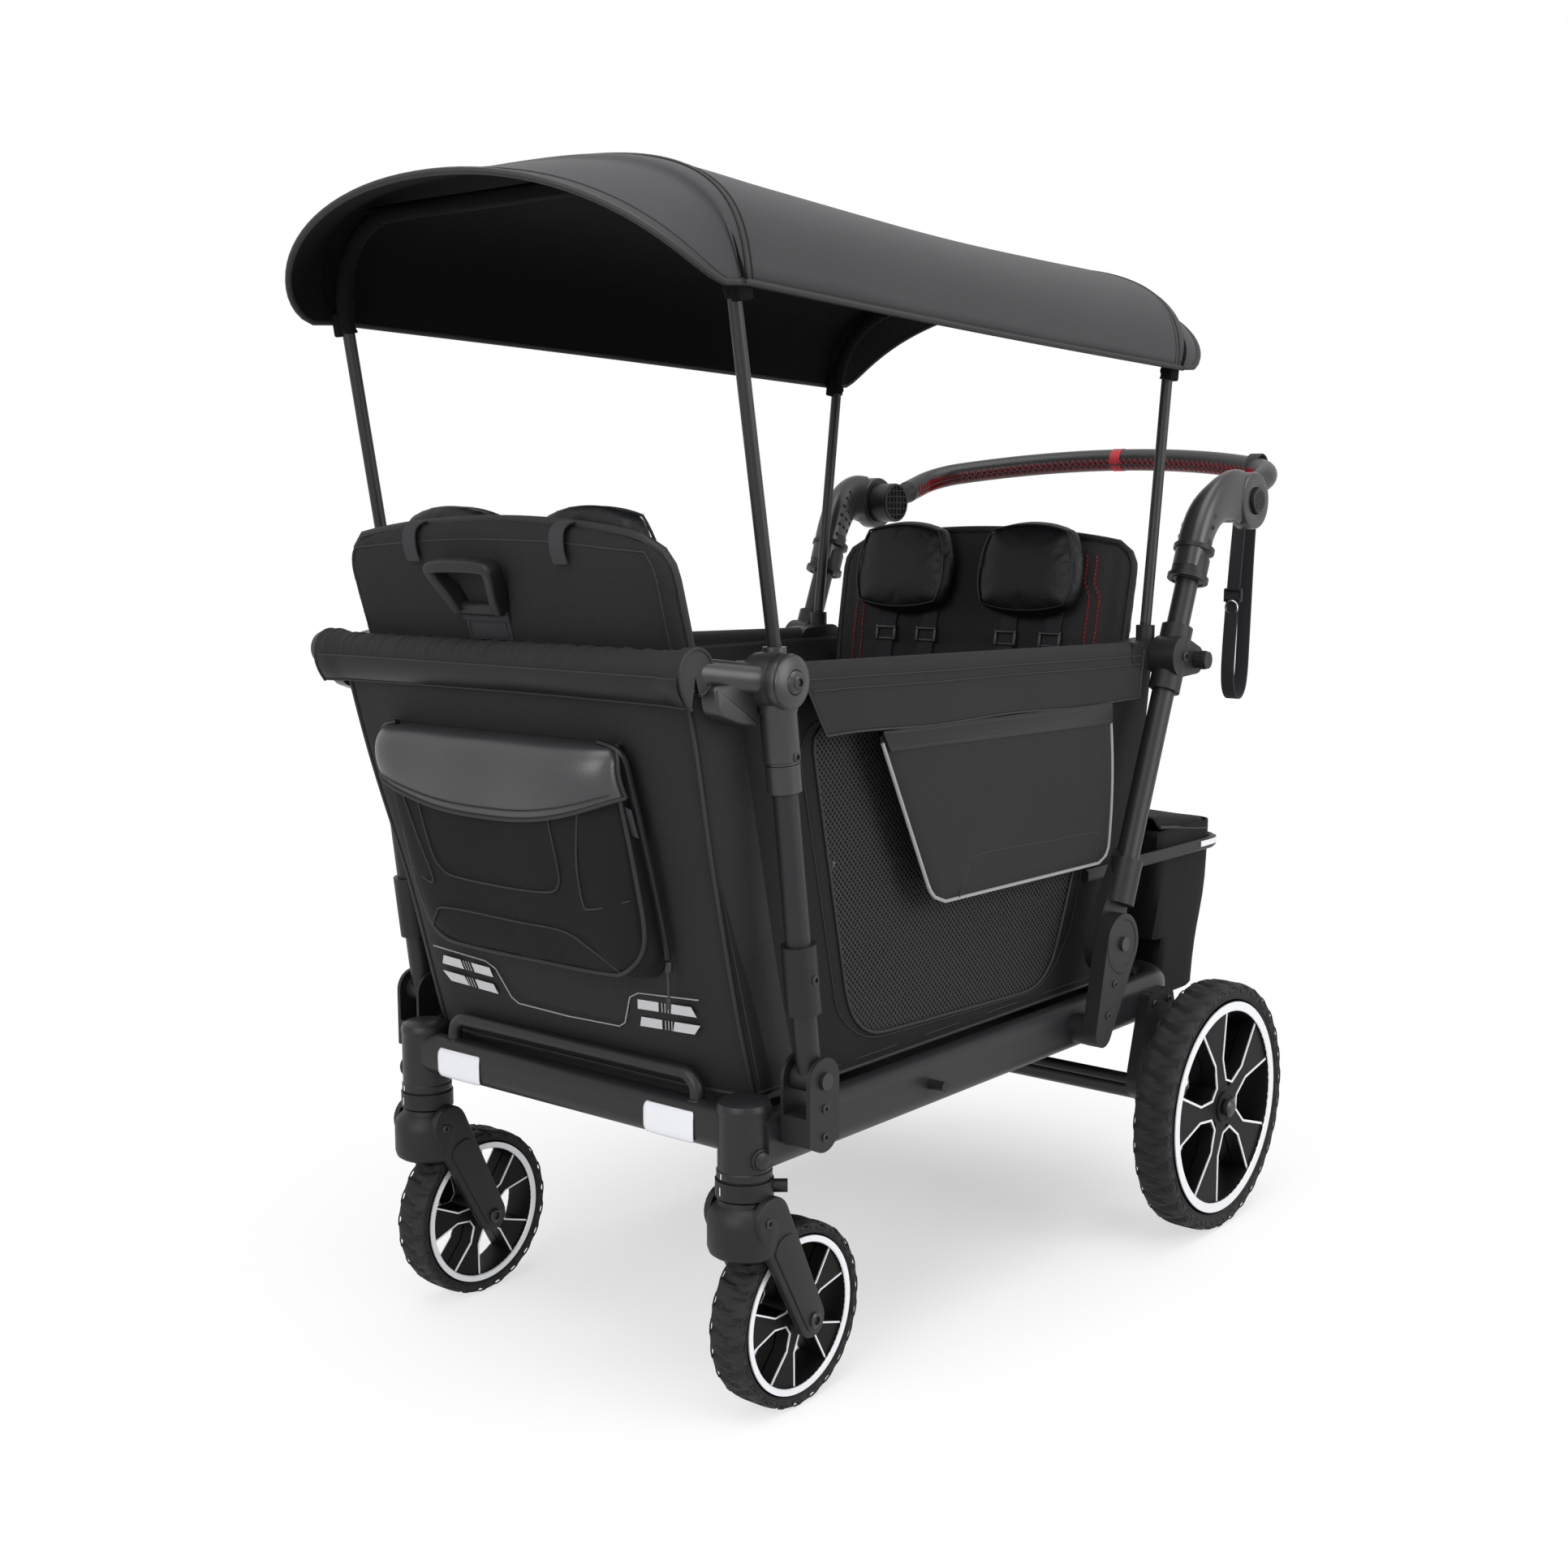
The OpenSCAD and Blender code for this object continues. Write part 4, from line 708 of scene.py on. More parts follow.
@dataclass
class Wheel:
    """One wheel: a treaded tyre, a silver lip and wedge spokes whose windows are edged in silver."""

    name: str
    side: str
    x: float
    y: float
    radius: float
    width: float
    rim: float
    lugs: int
    wedges: int = 5
    phase: float = 33.0
    lip: float = 0.907
    groove: float = 4.2
    LUG_EDGE = ((-0.3, 0.46), (-0.34, 0.7), (-0.12, 0.86), (0.16, 0.86), (0.36, 0.66), (0.22, 0.46))

    def centre(self) -> Vector:
        """The middle of the wheel."""
        return at(self.x, self.y, self.radius)

    def on_face(self, out: float, angle: float, radius: float) -> Vector:
        """A point by its distance from the mid plane, its turn in radians and its distance from the axle."""
        return self.centre() + at(out, radius * cos(angle), radius * sin(angle))

    def tread(self, turn: float, across: float) -> float:
        """The depth of the tyre's grooves.

        Args:
            turn: turn round the axle, from 0 to 1.
            across: place across the tread, from -1 to 1.

        Returns:
            Millimetres below the lugs.
        """
        side = 1 if across > 0 else -1
        phase = turn * self.lugs + (0.5 if side < 0 else 0.0) + 0.32 * abs(across) ** 0.7
        gap = abs((phase % 1.0) - 0.5) * 2
        lug = soft((gap - 0.2) / 0.16) * (1 - soft((gap - 0.97) / 0.03))
        middle = soft((abs(across - 0.16 * sin(2 * pi * turn * self.lugs)) - 0.05) / 0.08)
        shoulder = 1.0 if abs(across) < 0.86 else 0.75
        return self.groove * (1 - lug * middle) * shoulder

    def on_wall(self, way: int, angle: float, height: float) -> Vector:
        """A point on the tyre's side wall, at a share of its height above the rim."""
        up = 2 * height - 1
        across = (1 - up ** 4) ** 0.275
        return self.on_face(way * across * self.width / 2 * (0.94 + 0.06 * up) + way * 0.2, angle,
                            self.rim + (self.radius - self.rim) * height)

    def tyre(self) -> None:
        """Makes the tyre."""
        maker, steps, cells = Maker(), self.lugs * 12, 30
        wall, half = self.radius - self.rim, self.width / 2

        def place(u: float, v: float) -> Vector:
            """The tyre's skin."""
            angle = 2 * pi * (round(u * steps) % steps) / steps
            a = pi * (2 * v - 1) if v < 1 else -pi
            across, up = squarer(sin(a), 0.55), squarer(cos(a), 0.5)
            radius = self.rim + wall / 2 + up * wall / 2
            if up > 0.15:
                radius -= self.tread(u, across) * soft((up - 0.15) / 0.4)
            return self.on_face(across * half * (0.94 + 0.06 * up), angle, radius)

        maker.sheet(place, steps, cells, True)
        for way in WAYS:
            for height in (0.14, 0.3):
                maker.tube([self.on_wall(way, 2 * pi * k / 72, height) for k in range(72)], 0.8, 6, True)
            pitch = 2 * pi / self.lugs
            for k in range(self.lugs):
                line = [self.on_wall(way, pitch * (k + 0.25 * way + a), h) for a, h in self.LUG_EDGE]
                maker.tube(line, 1.0, 5, True)
        maker.piece(f"{self.name}_tread_{self.side}", f"{self.name}_wheel_{self.side}", RUBBER,
                    stands_for=[f"{self.name}_tyre_{self.side}"])

    def spokes(self, maker: Maker, way: int, half: float) -> None:
        """Adds the wedge spokes of one face and the silver edges of the windows between them.

        Args:
            maker: the mesh they go to.
            way: 1 for the left face, -1 for the right.
            half: half the rim's width.
        """
        step, face, line = 360 / self.wedges, way * half * 0.88, 0.0105 * self.rim
        edge = ((16.0, 0.955), (10.5, 0.47), (23.0, 0.255), (30.0, 0.15))
        window = ((16.0, 0.93), (10.5, 0.47), (23.0, 0.255))
        for k in range(self.wedges):
            middle = self.phase + step * k
            maker.use(0)
            outline = [(-a, r) for a, r in edge] + [(a, r) for a, r in reversed(edge)]
            maker.plate([self.on_face(way * 1.0, radians(middle + a), r * self.rim) for a, r in outline],
                        at(face - way, 0, 0))
            maker.use(1)
            inset = [(a - degrees(line / (r * self.rim)), r) for a, r in window]
            rows = [(middle + a, r) for a, r in inset] + [(middle + step - a, r) for a, r in reversed(inset)]
            path = [self.on_face(face, radians(a), r * self.rim) for a, r in rows]
            maker.sweep(path, [(0.9, -line), (0.9, line), (-0.6, line), (-0.6, -line)], at(way, 0, 0))

    def rim_set(self) -> None:
        """Makes the rim, its hub, its spokes and its silver lips."""
        maker = Maker()
        half, axis, outer = self.width / 2 - 3, at(1, 0, 0), self.rim - 0.3
        inner, hub = self.rim * self.lip, self.rim * 0.265
        maker.lathe([(outer, -half), (outer, half), (inner, half), (inner - 1, half * 0.8), (inner - 1, -half * 0.8),
                     (inner, -half), (outer, -half)], self.centre(), axis, 72)
        boss = [(0, half * 0.9), (hub * 0.74, half * 0.9), (hub * 0.8, half * 0.8), (hub, half * 0.76)]
        maker.lathe([(r, -h) for r, h in boss] + boss[::-1], self.centre(), axis, 40)
        for way in WAYS:
            cap = hub * 0.56
            maker.use(0)
            maker.lathe([(0, half * 0.9), (cap, half * 0.9), (cap, half * 0.98), (cap - 2.5, half * 1.04),
                         (cap - 3.5, half), (0, half * 1.01)], self.centre(), at(way, 0, 0), 36)
            maker.use(1)
            maker.lathe([(self.rim - 0.5, half - 1), (self.rim - 0.9, half + 1.4), (inner + 0.8, half + 1.4),
                         (inner, half + 0.4), (inner - 0.4, half * 0.86)], self.centre(), at(way, 0, 0), 96)
            self.spokes(maker, way, half)
        maker.piece(f"{self.name}_spokes_{self.side}", f"{self.name}_wheel_{self.side}", SATIN, SILVER, sharp=30,
                    stands_for=[f"{self.name}_rim_{self.side}"])

    def build(self) -> None:
        """Makes the whole wheel."""
        self.tyre()
        self.rim_set()


@dataclass
class Caster:
    """A swivelling front fork with its post's cap, button and lock marks."""

    way: int
    side: str
    x: float = 247.0
    y: float = -510.0
    trail: float = 67.0
    axle: float = 100.0
    crown: float = 226.0
    leg_in: float = 29.0
    leg_t: float = 8.0
    top_r: float = 25.0
    foot_r: float = 20.0

    def leg_outline(self, x: float, grow: float) -> list[Vector]:
        """The outline of a fork leg.

        Args:
            x: the plane it lies in.
            grow: how far it is grown all round.

        Returns:
            Its points.
        """
        top, foot = Vector((self.y + 3, self.crown)), Vector((self.y + self.trail, self.axle))
        run = foot - top
        turn = atan2(run.y, run.x)
        line = []
        for spot, radius, start in ((top, self.top_r, 0.5), (foot, self.foot_r, -0.5)):
            for t in shares(12):
                a = turn + pi * (start + t)
                line.append(spot + (radius + grow) * Vector((cos(a), sin(a))))
        return [at(x, p.x, p.y) for p in line]

    def fork(self) -> None:
        """Makes the crown, the legs with their raised panels, and the bolts."""
        maker = Maker()
        up, centre = at(0, 0, 1), at(self.x, self.y, 0)
        maker.lathe([(0, 247), (24, 247), (28, 245), (29, 240), (34, 236), (38, 230), (39, 222), (39, 194), (37, 188),
                     (33, 185), (0, 185)], centre, up, 48)
        for way in WAYS:
            start = self.x + way * self.leg_in
            maker.use(0).plate(self.leg_outline(start, 0), at(way * (self.leg_t + 1), 0, 0), 2.5)
            line = self.leg_outline(start + way * (self.leg_t + 0.5), -7)
            maker.plate(line[13:] + [p.lerp(q, 0.25) for p, q in zip(line[:13], reversed(line[13:]))],
                        at(way * 2.4, 0, 0), 1.0)
            face = self.x + way * (self.leg_in + self.leg_t)
            maker.use(1).bolt(at(face + way * 2.8, self.y + self.trail, self.axle), at(way, 0, 0), 8.5, 3.4)
            maker.bolt(at(face + way * 0.6, self.y - 6, self.crown), at(way, 0, 0), 5, 2.4)
        maker.lathe([(6, -40), (6, 40)], at(self.x, self.y + self.trail, self.axle), at(1, 0, 0), 20)
        maker.piece(f"fork_{self.side}", f"caster_{self.side}", PLASTIC, DARK_STEEL, sharp=32,
                    stands_for=[f"caster_fork_{self.side}"])

    def post_trim(self) -> None:
        """Makes the post's domed cap, release button, lower ring and white mark."""
        maker, up = Maker(), at(0, 0, 1)
        centre = at(self.x, self.y, 0)
        maker.lathe([(28.3, 336), (28.8, 338), (28.8, 341), (27, 346), (22, 349), (12, 350.6), (0, 351)], centre, up,
                    48)
        maker.lathe([(28.1, 267), (29.2, 268), (29.2, 275), (28.1, 276)], centre, up, 48)
        out = at(self.way * 0.97, -0.24, 0).normalized()
        spot = at(self.x, self.y, 291) + out * 26
        maker.lathe([(11.5, 0), (11.5, 4), (10, 5), (9.4, 4), (9, 6), (7, 7.2), (0, 7.6)], spot, out, 32)
        maker.use(1)
        front, turn = at(-0.25, -0.97, 0).normalized(), Matrix.Rotation(-0.25, 3, "Z")
        maker.block(at(self.x, self.y, 271.5) + front * 29.2, (1.3, 1.0, 6), turn, 0.3, 1)
        maker.piece(f"post_trim_{self.side}", "chassis", POWDER, REFLECTOR, sharp=35)
        lock = Maker()
        lock.block(at(self.x, self.y, 256) + front * 30.6, (1.3, 1.0, 9), turn, 0.3, 1)
        lock.piece(f"lock_mark_{self.side}", f"caster_lock_{self.side}_body", REFLECTOR)

    def build(self) -> None:
        """Makes the whole caster."""
        self.fork()
        self.post_trim()


@dataclass
class Canopy:
    """The arched sun canopy: one sheet with visor and rear flap, bound edges, seams and hoop sleeves."""

    hem_front: float = 1155.0
    hem_rear: float = 1128.0
    half: float = 302.0
    half_rear: float = 283.0
    rise: float = 131.0
    front_seat: Pair = (-506.0, 812.0)
    rear_seat: Pair = (264.0, 800.0)
    front_lean: float = 10.0
    rear_lean: float = 7.4
    bend: float = 105.0
    stations: list[Vector] = field(default_factory=list)
    ROWS = 66

    def __post_init__(self) -> None:
        """Works out the arches.

        Each has a place, half width, rise, hem, lean, squareness, and a brim's reach, drop and the growths of both.
        """
        front_y = self.front_seat[0] - (self.hem_front - self.front_seat[1]) * tan(radians(self.front_lean))
        rear_y = self.rear_seat[0] + (self.hem_rear - self.rear_seat[1]) * tan(radians(self.rear_lean))
        front = Vector((front_y, self.half, self.rise, self.hem_front, -self.front_lean, 0.6, 0, 0, 0.42, 0.7))
        rear = Vector((rear_y, self.half_rear, self.rise * 1.07, self.hem_rear, self.rear_lean, 0.78, 0, 0, 0.35, 0.6))
        visor = Vector((0, 0, self.rise * 0.9, 0, 0, 0.36, -93, 138, 0, 0))
        flap = Vector((0, 0, self.rise * 0.22, 0, 0, 0.16, 100, 54, 0, 0))
        middle = []
        for k in range(7):
            spot = front.lerp(rear, k / 6)
            sag = 1 - 0.035 * sin(pi * k / 6)
            spot[1] *= sag
            spot[2] *= sag
            middle.append(spot)
        shares = (0.3, 0.65, 1.0)
        self.stations = [front + visor * s for s in reversed(shares)] + middle + [rear + flap * s for s in shares]

    def arch(self, station: Vector, turn: float) -> Vector:
        """A point of the cloth.

        Args:
            station: the arch it lies on.
            turn: place round the arch, from 0 at the left hem to 1 at the right.

        Returns:
            The point.
        """
        c, s = cos(pi * turn), max(0.0, sin(pi * turn))
        up, x = station[2] * s ** station[5], station[1] * squarer(c, station[5])
        return at(x, station[0] + up * tan(radians(station[4])) + station[6] * s ** station[8],
                  station[3] + up - station[7] * s ** station[9])

    def cloth(self) -> None:
        """Makes the sheet with its lining."""
        rows = flowing(self.stations, self.ROWS + 1)
        maker = Maker()

        def place(u: float, v: float) -> Vector:
            """The sheet at (u, v), with a little slack along its hems."""
            spot = self.arch(rows[round(v * self.ROWS)], u)
            edge = max(0.0, 1 - 7 * min(u, 1 - u))
            spot.z += 1.2 * edge * sin(v * 41) * sin(v * pi)
            spot.z += 0.8 * (1 - edge) * sin(v * 17 + 6 * u) * sin(pi * v)
            return spot

        maker.sheet(place, 96, self.ROWS, facing=at(0, 0, 1))
        area = sum(f.calc_area() for f in maker.bm.faces) * MM * MM
        arc = [self.arch(rows[30], t) for t in shares(60)]
        width = sum((b - a).length for a, b in zip(arc, arc[1:])) * MM
        made = maker.piece("canopy_sheet", "canopy", CANOPY, LINING, sharp=60, stands_for=["canopy_cloth"])
        thicken(made, 3.0, -1.0, 1)
        round(area / width * 1.06, 3)

    def edging(self) -> None:
        """Makes the bound edge, the seams at the hoops and the row of stitches beside each."""
        rows = flowing(self.stations, self.ROWS + 1)
        maker = Maker()
        rim = [self.arch(rows[0], t) for t in shares(48)] + [self.arch(r, 1.0) for r in rows[1:]]
        rim += [self.arch(rows[-1], 1 - k / 48) for k in range(1, 49)] + [self.arch(r, 0.0) for r in rows[-2:0:-1]]
        maker.tube([p + at(0, 0, -1.0) for p in rim], 3.6, 8, True)
        for index, shift in ((3, 0.0), (3, 9.0), (9, 0.0), (9, -9.0)):
            station = self.stations[index].copy()
            station += Vector((shift, 0.4, 0.4) + (0.0,) * 7)
            maker.use(1 if shift else 0)
            maker.tube([self.arch(station, t) for t in shares(64)], 0.7 if shift else 1.7, 6)
        maker.use(1)
        for row in (rows[2], rows[-3]):
            maker.tube([self.arch(row, 0.02 + 0.96 * t) + at(0, 0, 0.4) for t in shares(60)], 0.7, 5)
        maker.piece("canopy_edging", "canopy", PIPING, BLACK_THREAD)

    def hoop_line(self, x: float, seat: Pair, lean: float, crown: float, start: float) -> list[Vector]:
        """The middle line of a hoop.

        Args:
            x: half the distance between its legs.
            seat: place and height where it leaves its socket.
            lean: its lean towards the rear, in degrees.
            crown: the height of its top.
            start: the height where the line begins.

        Returns:
            The line from the left leg to the right.
        """
        tilt = radians(lean)
        top, first = (crown - seat[1]) / cos(tilt), (start - seat[1]) / cos(tilt)
        flat = [(x, first), (x, (first + top - self.bend) / 2)]
        flat += [(x - self.bend + self.bend * cos(a), top - self.bend + self.bend * sin(a))
                 for a in (pi / 2 * k / 10 for k in range(11))]
        flat += [(-a, b) for a, b in reversed(flat)]
        return [at(a, seat[0] + b * sin(tilt), seat[1] + b * cos(tilt)) for a, b in flat]

    def sleeves(self) -> None:
        """Makes the gathered cloth sleeves that hold the hoops, and their straps."""
        maker = Maker()
        for x, seat, lean, crown, hem, tab in ((284, self.front_seat, -self.front_lean, 1259, self.hem_front, 8.5),
                                               (268, self.rear_seat, self.rear_lean, 1232, self.hem_rear, 5.5)):
            line = flowing(self.hoop_line(x, seat, lean, crown, hem - 14), 110)
            for vert in maker.sweep(line, circle(9.6, 10)):
                vert.co += vert.normal * 0.8 * sin(vert.co.z * 0.55 + vert.co.x * 0.31)
            for way in WAYS:
                spot = self.hoop_line(x, seat, lean, crown, hem - 10)[0 if way > 0 else -1]
                maker.block(spot + at(way * tab, 0, 6), (12, 22, 26), Matrix.Rotation(radians(-lean), 3, "X"), 2.5)
        maker.piece("hoop_sleeves", "canopy", LINING)

    def build(self) -> None:
        """Makes the whole canopy."""
        self.cloth()
        self.edging()
        self.sleeves()


@dataclass
class Tub:
    """The cloth tub: front, side and rear walls, net windows and the sleeve over the front rim."""

    low: float = 338.0
    top: float = 766.0
    half: float = 247.6
    front_foot: float = -496.0
    front_slope: float = 0.28
    rear_foot: float = 258.0
    rear_slope: float = 0.1512
    window: tuple[Pair, ...] = ((-404, 722), (-330, 372), (72, 357), (218, 716))

    def front_y(self, z: float) -> float:
        """Place of the front wall's face at a height."""
        return self.front_foot - self.front_slope * (z - self.low)

    def rear_y(self, z: float) -> float:
        """Place of the rear wall at a height."""
        return self.rear_foot + self.rear_slope * (z - self.low)

    def on_front(self, x: float, z: float, off: float = 0.0) -> Vector:
        """A point on the front wall, moved out from it."""
        return at(x, self.front_y(z) - off, z)

    def fold(self, piece: bpy.types.Object) -> None:
        """Gives a cloth piece a mesh of its own."""
        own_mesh(piece)

    def front_wall(self) -> None:
        """Makes the front wall, which wraps round both front corners, with its seams."""
        maker = Maker()

        def place(u: float, v: float) -> Vector:
            """The wall at (u, v)."""
            z = self.low + (self.top + 8 - self.low) * v
            angle = radians(90 * (2 * u - 1))
            s, c = sin(angle), max(0.0, cos(angle))
            half = self.half + 1.5 + 15 * soft((v - 0.15) / 0.85)
            x = half * squarer(s, 0.42)
            y = self.front_y(z) + 74 * (1 - c ** 0.3)
            slack = 2.2 * sin(9 * v + 3 * u) * sin(7 * u + 2 * v) + 1.1 * sin(23 * u + 5 * v)
            return at(x, y - slack * c ** 0.3 - 3 * sin(pi * v) * c, z)

        maker.sheet(place, 120, 48, facing=at(0, -1, 0))
        made = maker.piece("tub_front", "chassis", TUB, PIPING, sharp=70, stands_for=["tub_front_wall"])
        thicken(made, 2.5, -1.0, 1)
        self.fold(made)
        seams = Maker()
        for way in WAYS:
            u = 0.5 + way * 0.345
            line = [place(u, t) + at(way * 1.5, -0.8, 0) for t in shares(40)]
            seams.use(0).tube(line, 2.4, 8)
            seams.use(1).tube([p + at(-way * 9, -0.4, 0) for p in line], 0.6, 5)
        seams.use(0).tube([place(t, 0.012) + at(0, -0.5, 0) for t in shares(80)], 2.2, 8)
        self.fold(seams.piece("tub_front_seams", "chassis", PIPING, BLACK_THREAD))

    def rim_sleeve(self) -> None:
        """Makes the gathered sleeve over the front rim with its leather band."""
        maker = Maker()
        y0, z0, radius, half, shift, bent = -616.0, 793.0, 19.0, 273.0, 7.0, 0.66

        def section(v: float, x: float) -> Vector:
            """The sleeve's profile at one place along it: bent round the rail up to a share of v, then hanging."""
            ease = 1 + 0.16 * soft((abs(x - shift) - half + 40) / 30)
            if v < bent:
                a = radians(-80 + 268 * v / bent)
                gather = (1.1 * sin(x * 0.57) * sin(x * 0.071 + 1) + 0.7 * sin(x * 0.23 + 4 * v)) * ease
                r = radius * ease + gather * sin(pi * v / bent) ** 0.5
                return at(x, y0 + r * cos(a), z0 + r * sin(a))
            t = (v - bent) / (1 - bent)
            first = section(bent - 0.0001, x)
            dip = 0.8 * sin(x * 0.03) * t
            return first + at(0, 14 * t * t + dip, -30 * t - 2 * (x / half) ** 2 * t)

        maker.sheet(lambda u, v: section(v, shift + half * (2 * u - 1)), 260, 44, facing=at(0, 0, 1))
        made = maker.piece("front_rim_sleeve", "front_frame", TUB, PIPING, sharp=70, stands_for=["front_rail"])
        thicken(made, 2.0, -1.0, 1)
        band = Maker()
        span = half - 5

        def strip(u: float, v: float) -> Vector:
            """The leather band on the sleeve's lower edge."""
            lip = 1.4 * sin(pi * v) ** 0.5
            return section(0.69 + 0.28 * v, shift + span * (2 * u - 1)) + at(0, -0.6 - lip, 0)

        band.sheet(strip, 90, 8, facing=at(0, -1, 0))
        band.use(1)
        for v in (0.685, 0.985):
            band.tube([section(v, shift + span * (k / 40 - 1)) + at(0, -0.6, 0) for k in range(81)], 1.1, 6)
        for way in WAYS:
            ring = [section(t, shift + way * half) for t in shares(40)]
            band.tube(ring, 1.8, 8)
            end = sum(ring, Vector()) / len(ring) + at(way * 1.2, 0, 0)
            band.sheet(lambda u, v: end.lerp(ring[round(u * 40)], v), 40, 3, facing=at(way, 0, 0))
        band.piece("front_rim_band", "front_frame", BAND, PIPING)

    def side_wall(self, way: int, side: str) -> None:
        """Makes one side wall with its net window.

        Args:
            way: 1 on the left, -1 on the right.
            side: the side's name.
        """
        x, count = way * self.half, 120
        hole = evenly(rounded(self.window, (30, 62, 58, 30)), count)
        middle = sum(hole, Vector((0, 0))) / len(hole)
        corners = [Vector(c) for c in (
            (self.front_y(self.top) + 16, self.top), (self.front_y(self.low) + 16, self.low),
            (self.rear_y(self.low), self.low), (self.rear_y(self.top), self.top))]

        def reach(spot: Vector) -> Vector:
            """Where the ray from the window's middle through a point meets the wall's edge."""
            far = middle + (spot - middle) * 9
            hits = (intersect_line_line_2d(middle, far, a, b) for a, b in zip(corners, corners[1:] + corners[:1]))
            return next(hit for hit in hits if hit)

        edge = [reach(p) for p in hole]

        def cloth(u: float, v: float) -> Vector:
            """The cloth round the window."""
            k = round(u * count) % count
            spot = hole[k].lerp(edge[k], v)
            puff = 1.6 * sin(pi * v) * (1 + 0.5 * sin(0.05 * spot.x) * sin(0.04 * spot.y))
            return at(x + way * puff, spot.x, spot.y)

        def net(u: float, v: float) -> Vector:
            """The net in the window."""
            spot = middle.lerp(hole[round(u * count) % count], v)
            return at(x - way * (0.8 + 1.2 * (1 - v * v)), spot.x, spot.y)

        wall = Maker()
        wall.sheet(cloth, count, 10, facing=at(way, 0, 0))
        wall.weld()
        # The side wall gets the darker cloth as painted shade below the saddle pocket.
        made = wall.piece(f"tub_side_{side}", "chassis", DARK_AND_SHADED_WEAVE, PIPING, sharp=70, stands_for=["tub_side_walls"])
        thicken(made, 2.2, -1.0, 1)
        self.fold(made)
        window = Maker()
        window.sheet(net, count, 14, facing=at(way, 0, 0))
        window.weld()
        self.fold(window.piece(f"window_net_{side}", "chassis", NET, sharp=70))
        trim = Maker()
        trim.tube([at(x + way * 0.8, p.x, p.y) for p in hole], 2.0, 8, True)
        trim.use(1).tube([at(x + way * 1.5, *a.lerp(b, 0.13)) for a, b in zip(hole, edge)], 0.6, 5, True)
        trim.use(0)
        base = [at(x + way * 1.2, -490 + 745 * t, self.low + 3) for t in shares(40)]
        trim.tube(base, 2.2, 8)
        trim.use(1).tube([p + at(0, 0, 9) for p in base], 0.6, 5)
        self.fold(trim.piece(f"window_trim_{side}", "chassis", PIPING, BLACK_THREAD))

    def rear_wall(self) -> None:
        """Makes the rear wall behind the rear seat."""
        maker = Maker()

        def place(u: float, v: float) -> Vector:
            """The wall at (u, v)."""
            z = self.low + (self.top - self.low) * v
            bulge = 4 * sin(pi * u) * sin(pi * v) + 1.2 * sin(15 * u + 6 * v)
            return at(242.5 * (2 * u - 1), self.rear_y(z) + 1 + bulge * 0.5, z)

        maker.sheet(place, 60, 40, facing=at(0, 1, 0))
        made = maker.piece("tub_rear", "chassis", TUB, PIPING, sharp=70, stands_for=["tub_rear_wall"])
        thicken(made, 2.5, 0.0, 1)
        self.fold(made)
        hem = Maker()
        hem.tube([place(t, 1.0) for t in shares(40)], 2.6, 8)
        self.fold(hem.piece("tub_rear_hem", "chassis", PIPING))

    def marks(self) -> None:
        """Makes the plain reflective bars and the thin line low on the front wall."""
        maker = Maker()
        for way in WAYS:
            for row, (z0, z1) in enumerate(((424, 435), (404, 415))):
                for left, right in ((112, 142), (160, 196)):
                    lean = 0.25 * (z1 - z0)
                    tip = 8 if right > 180 else 0
                    quad = [(left - row * 2, z0), (right - tip * row, z0), (right - tip * (1 - row) + lean, z1),
                            (left + lean, z1)]
                    points = [self.on_front(way * a, b + 0.05 * (a - 110), 3.4) for a, b in quad]
                    maker.plate(points, at(0, -0.7, 0))
                maker.use(1)
                for a in (146.5, 151.0, 155.5):
                    points = [self.on_front(way * (a + d), z + 0.05 * (a - 110), 3.4)
                              for d, z in ((0, z0), (1.2, z0), (3.6, z1), (2.4, z1))]
                    maker.plate(points, at(0, -0.6, 0))
                maker.use(0)
            line = [(204, 449), (118, 443), (104, 436), (88, 404), (78, 398), (0, 396)]
            maker.use(1).tube([self.on_front(way * a, b, 4.2) for a, b in line], 0.8, 5)
            maker.use(0)
        self.fold(maker.piece("front_marks", "chassis", REFLEX, GREY_PIPING))

    def build(self) -> None:
        """Makes the whole tub."""
        self.front_wall()
        self.rim_sleeve()
        for way, side in SIDES:
            self.side_wall(way, side)
        self.rear_wall()
        self.marks()


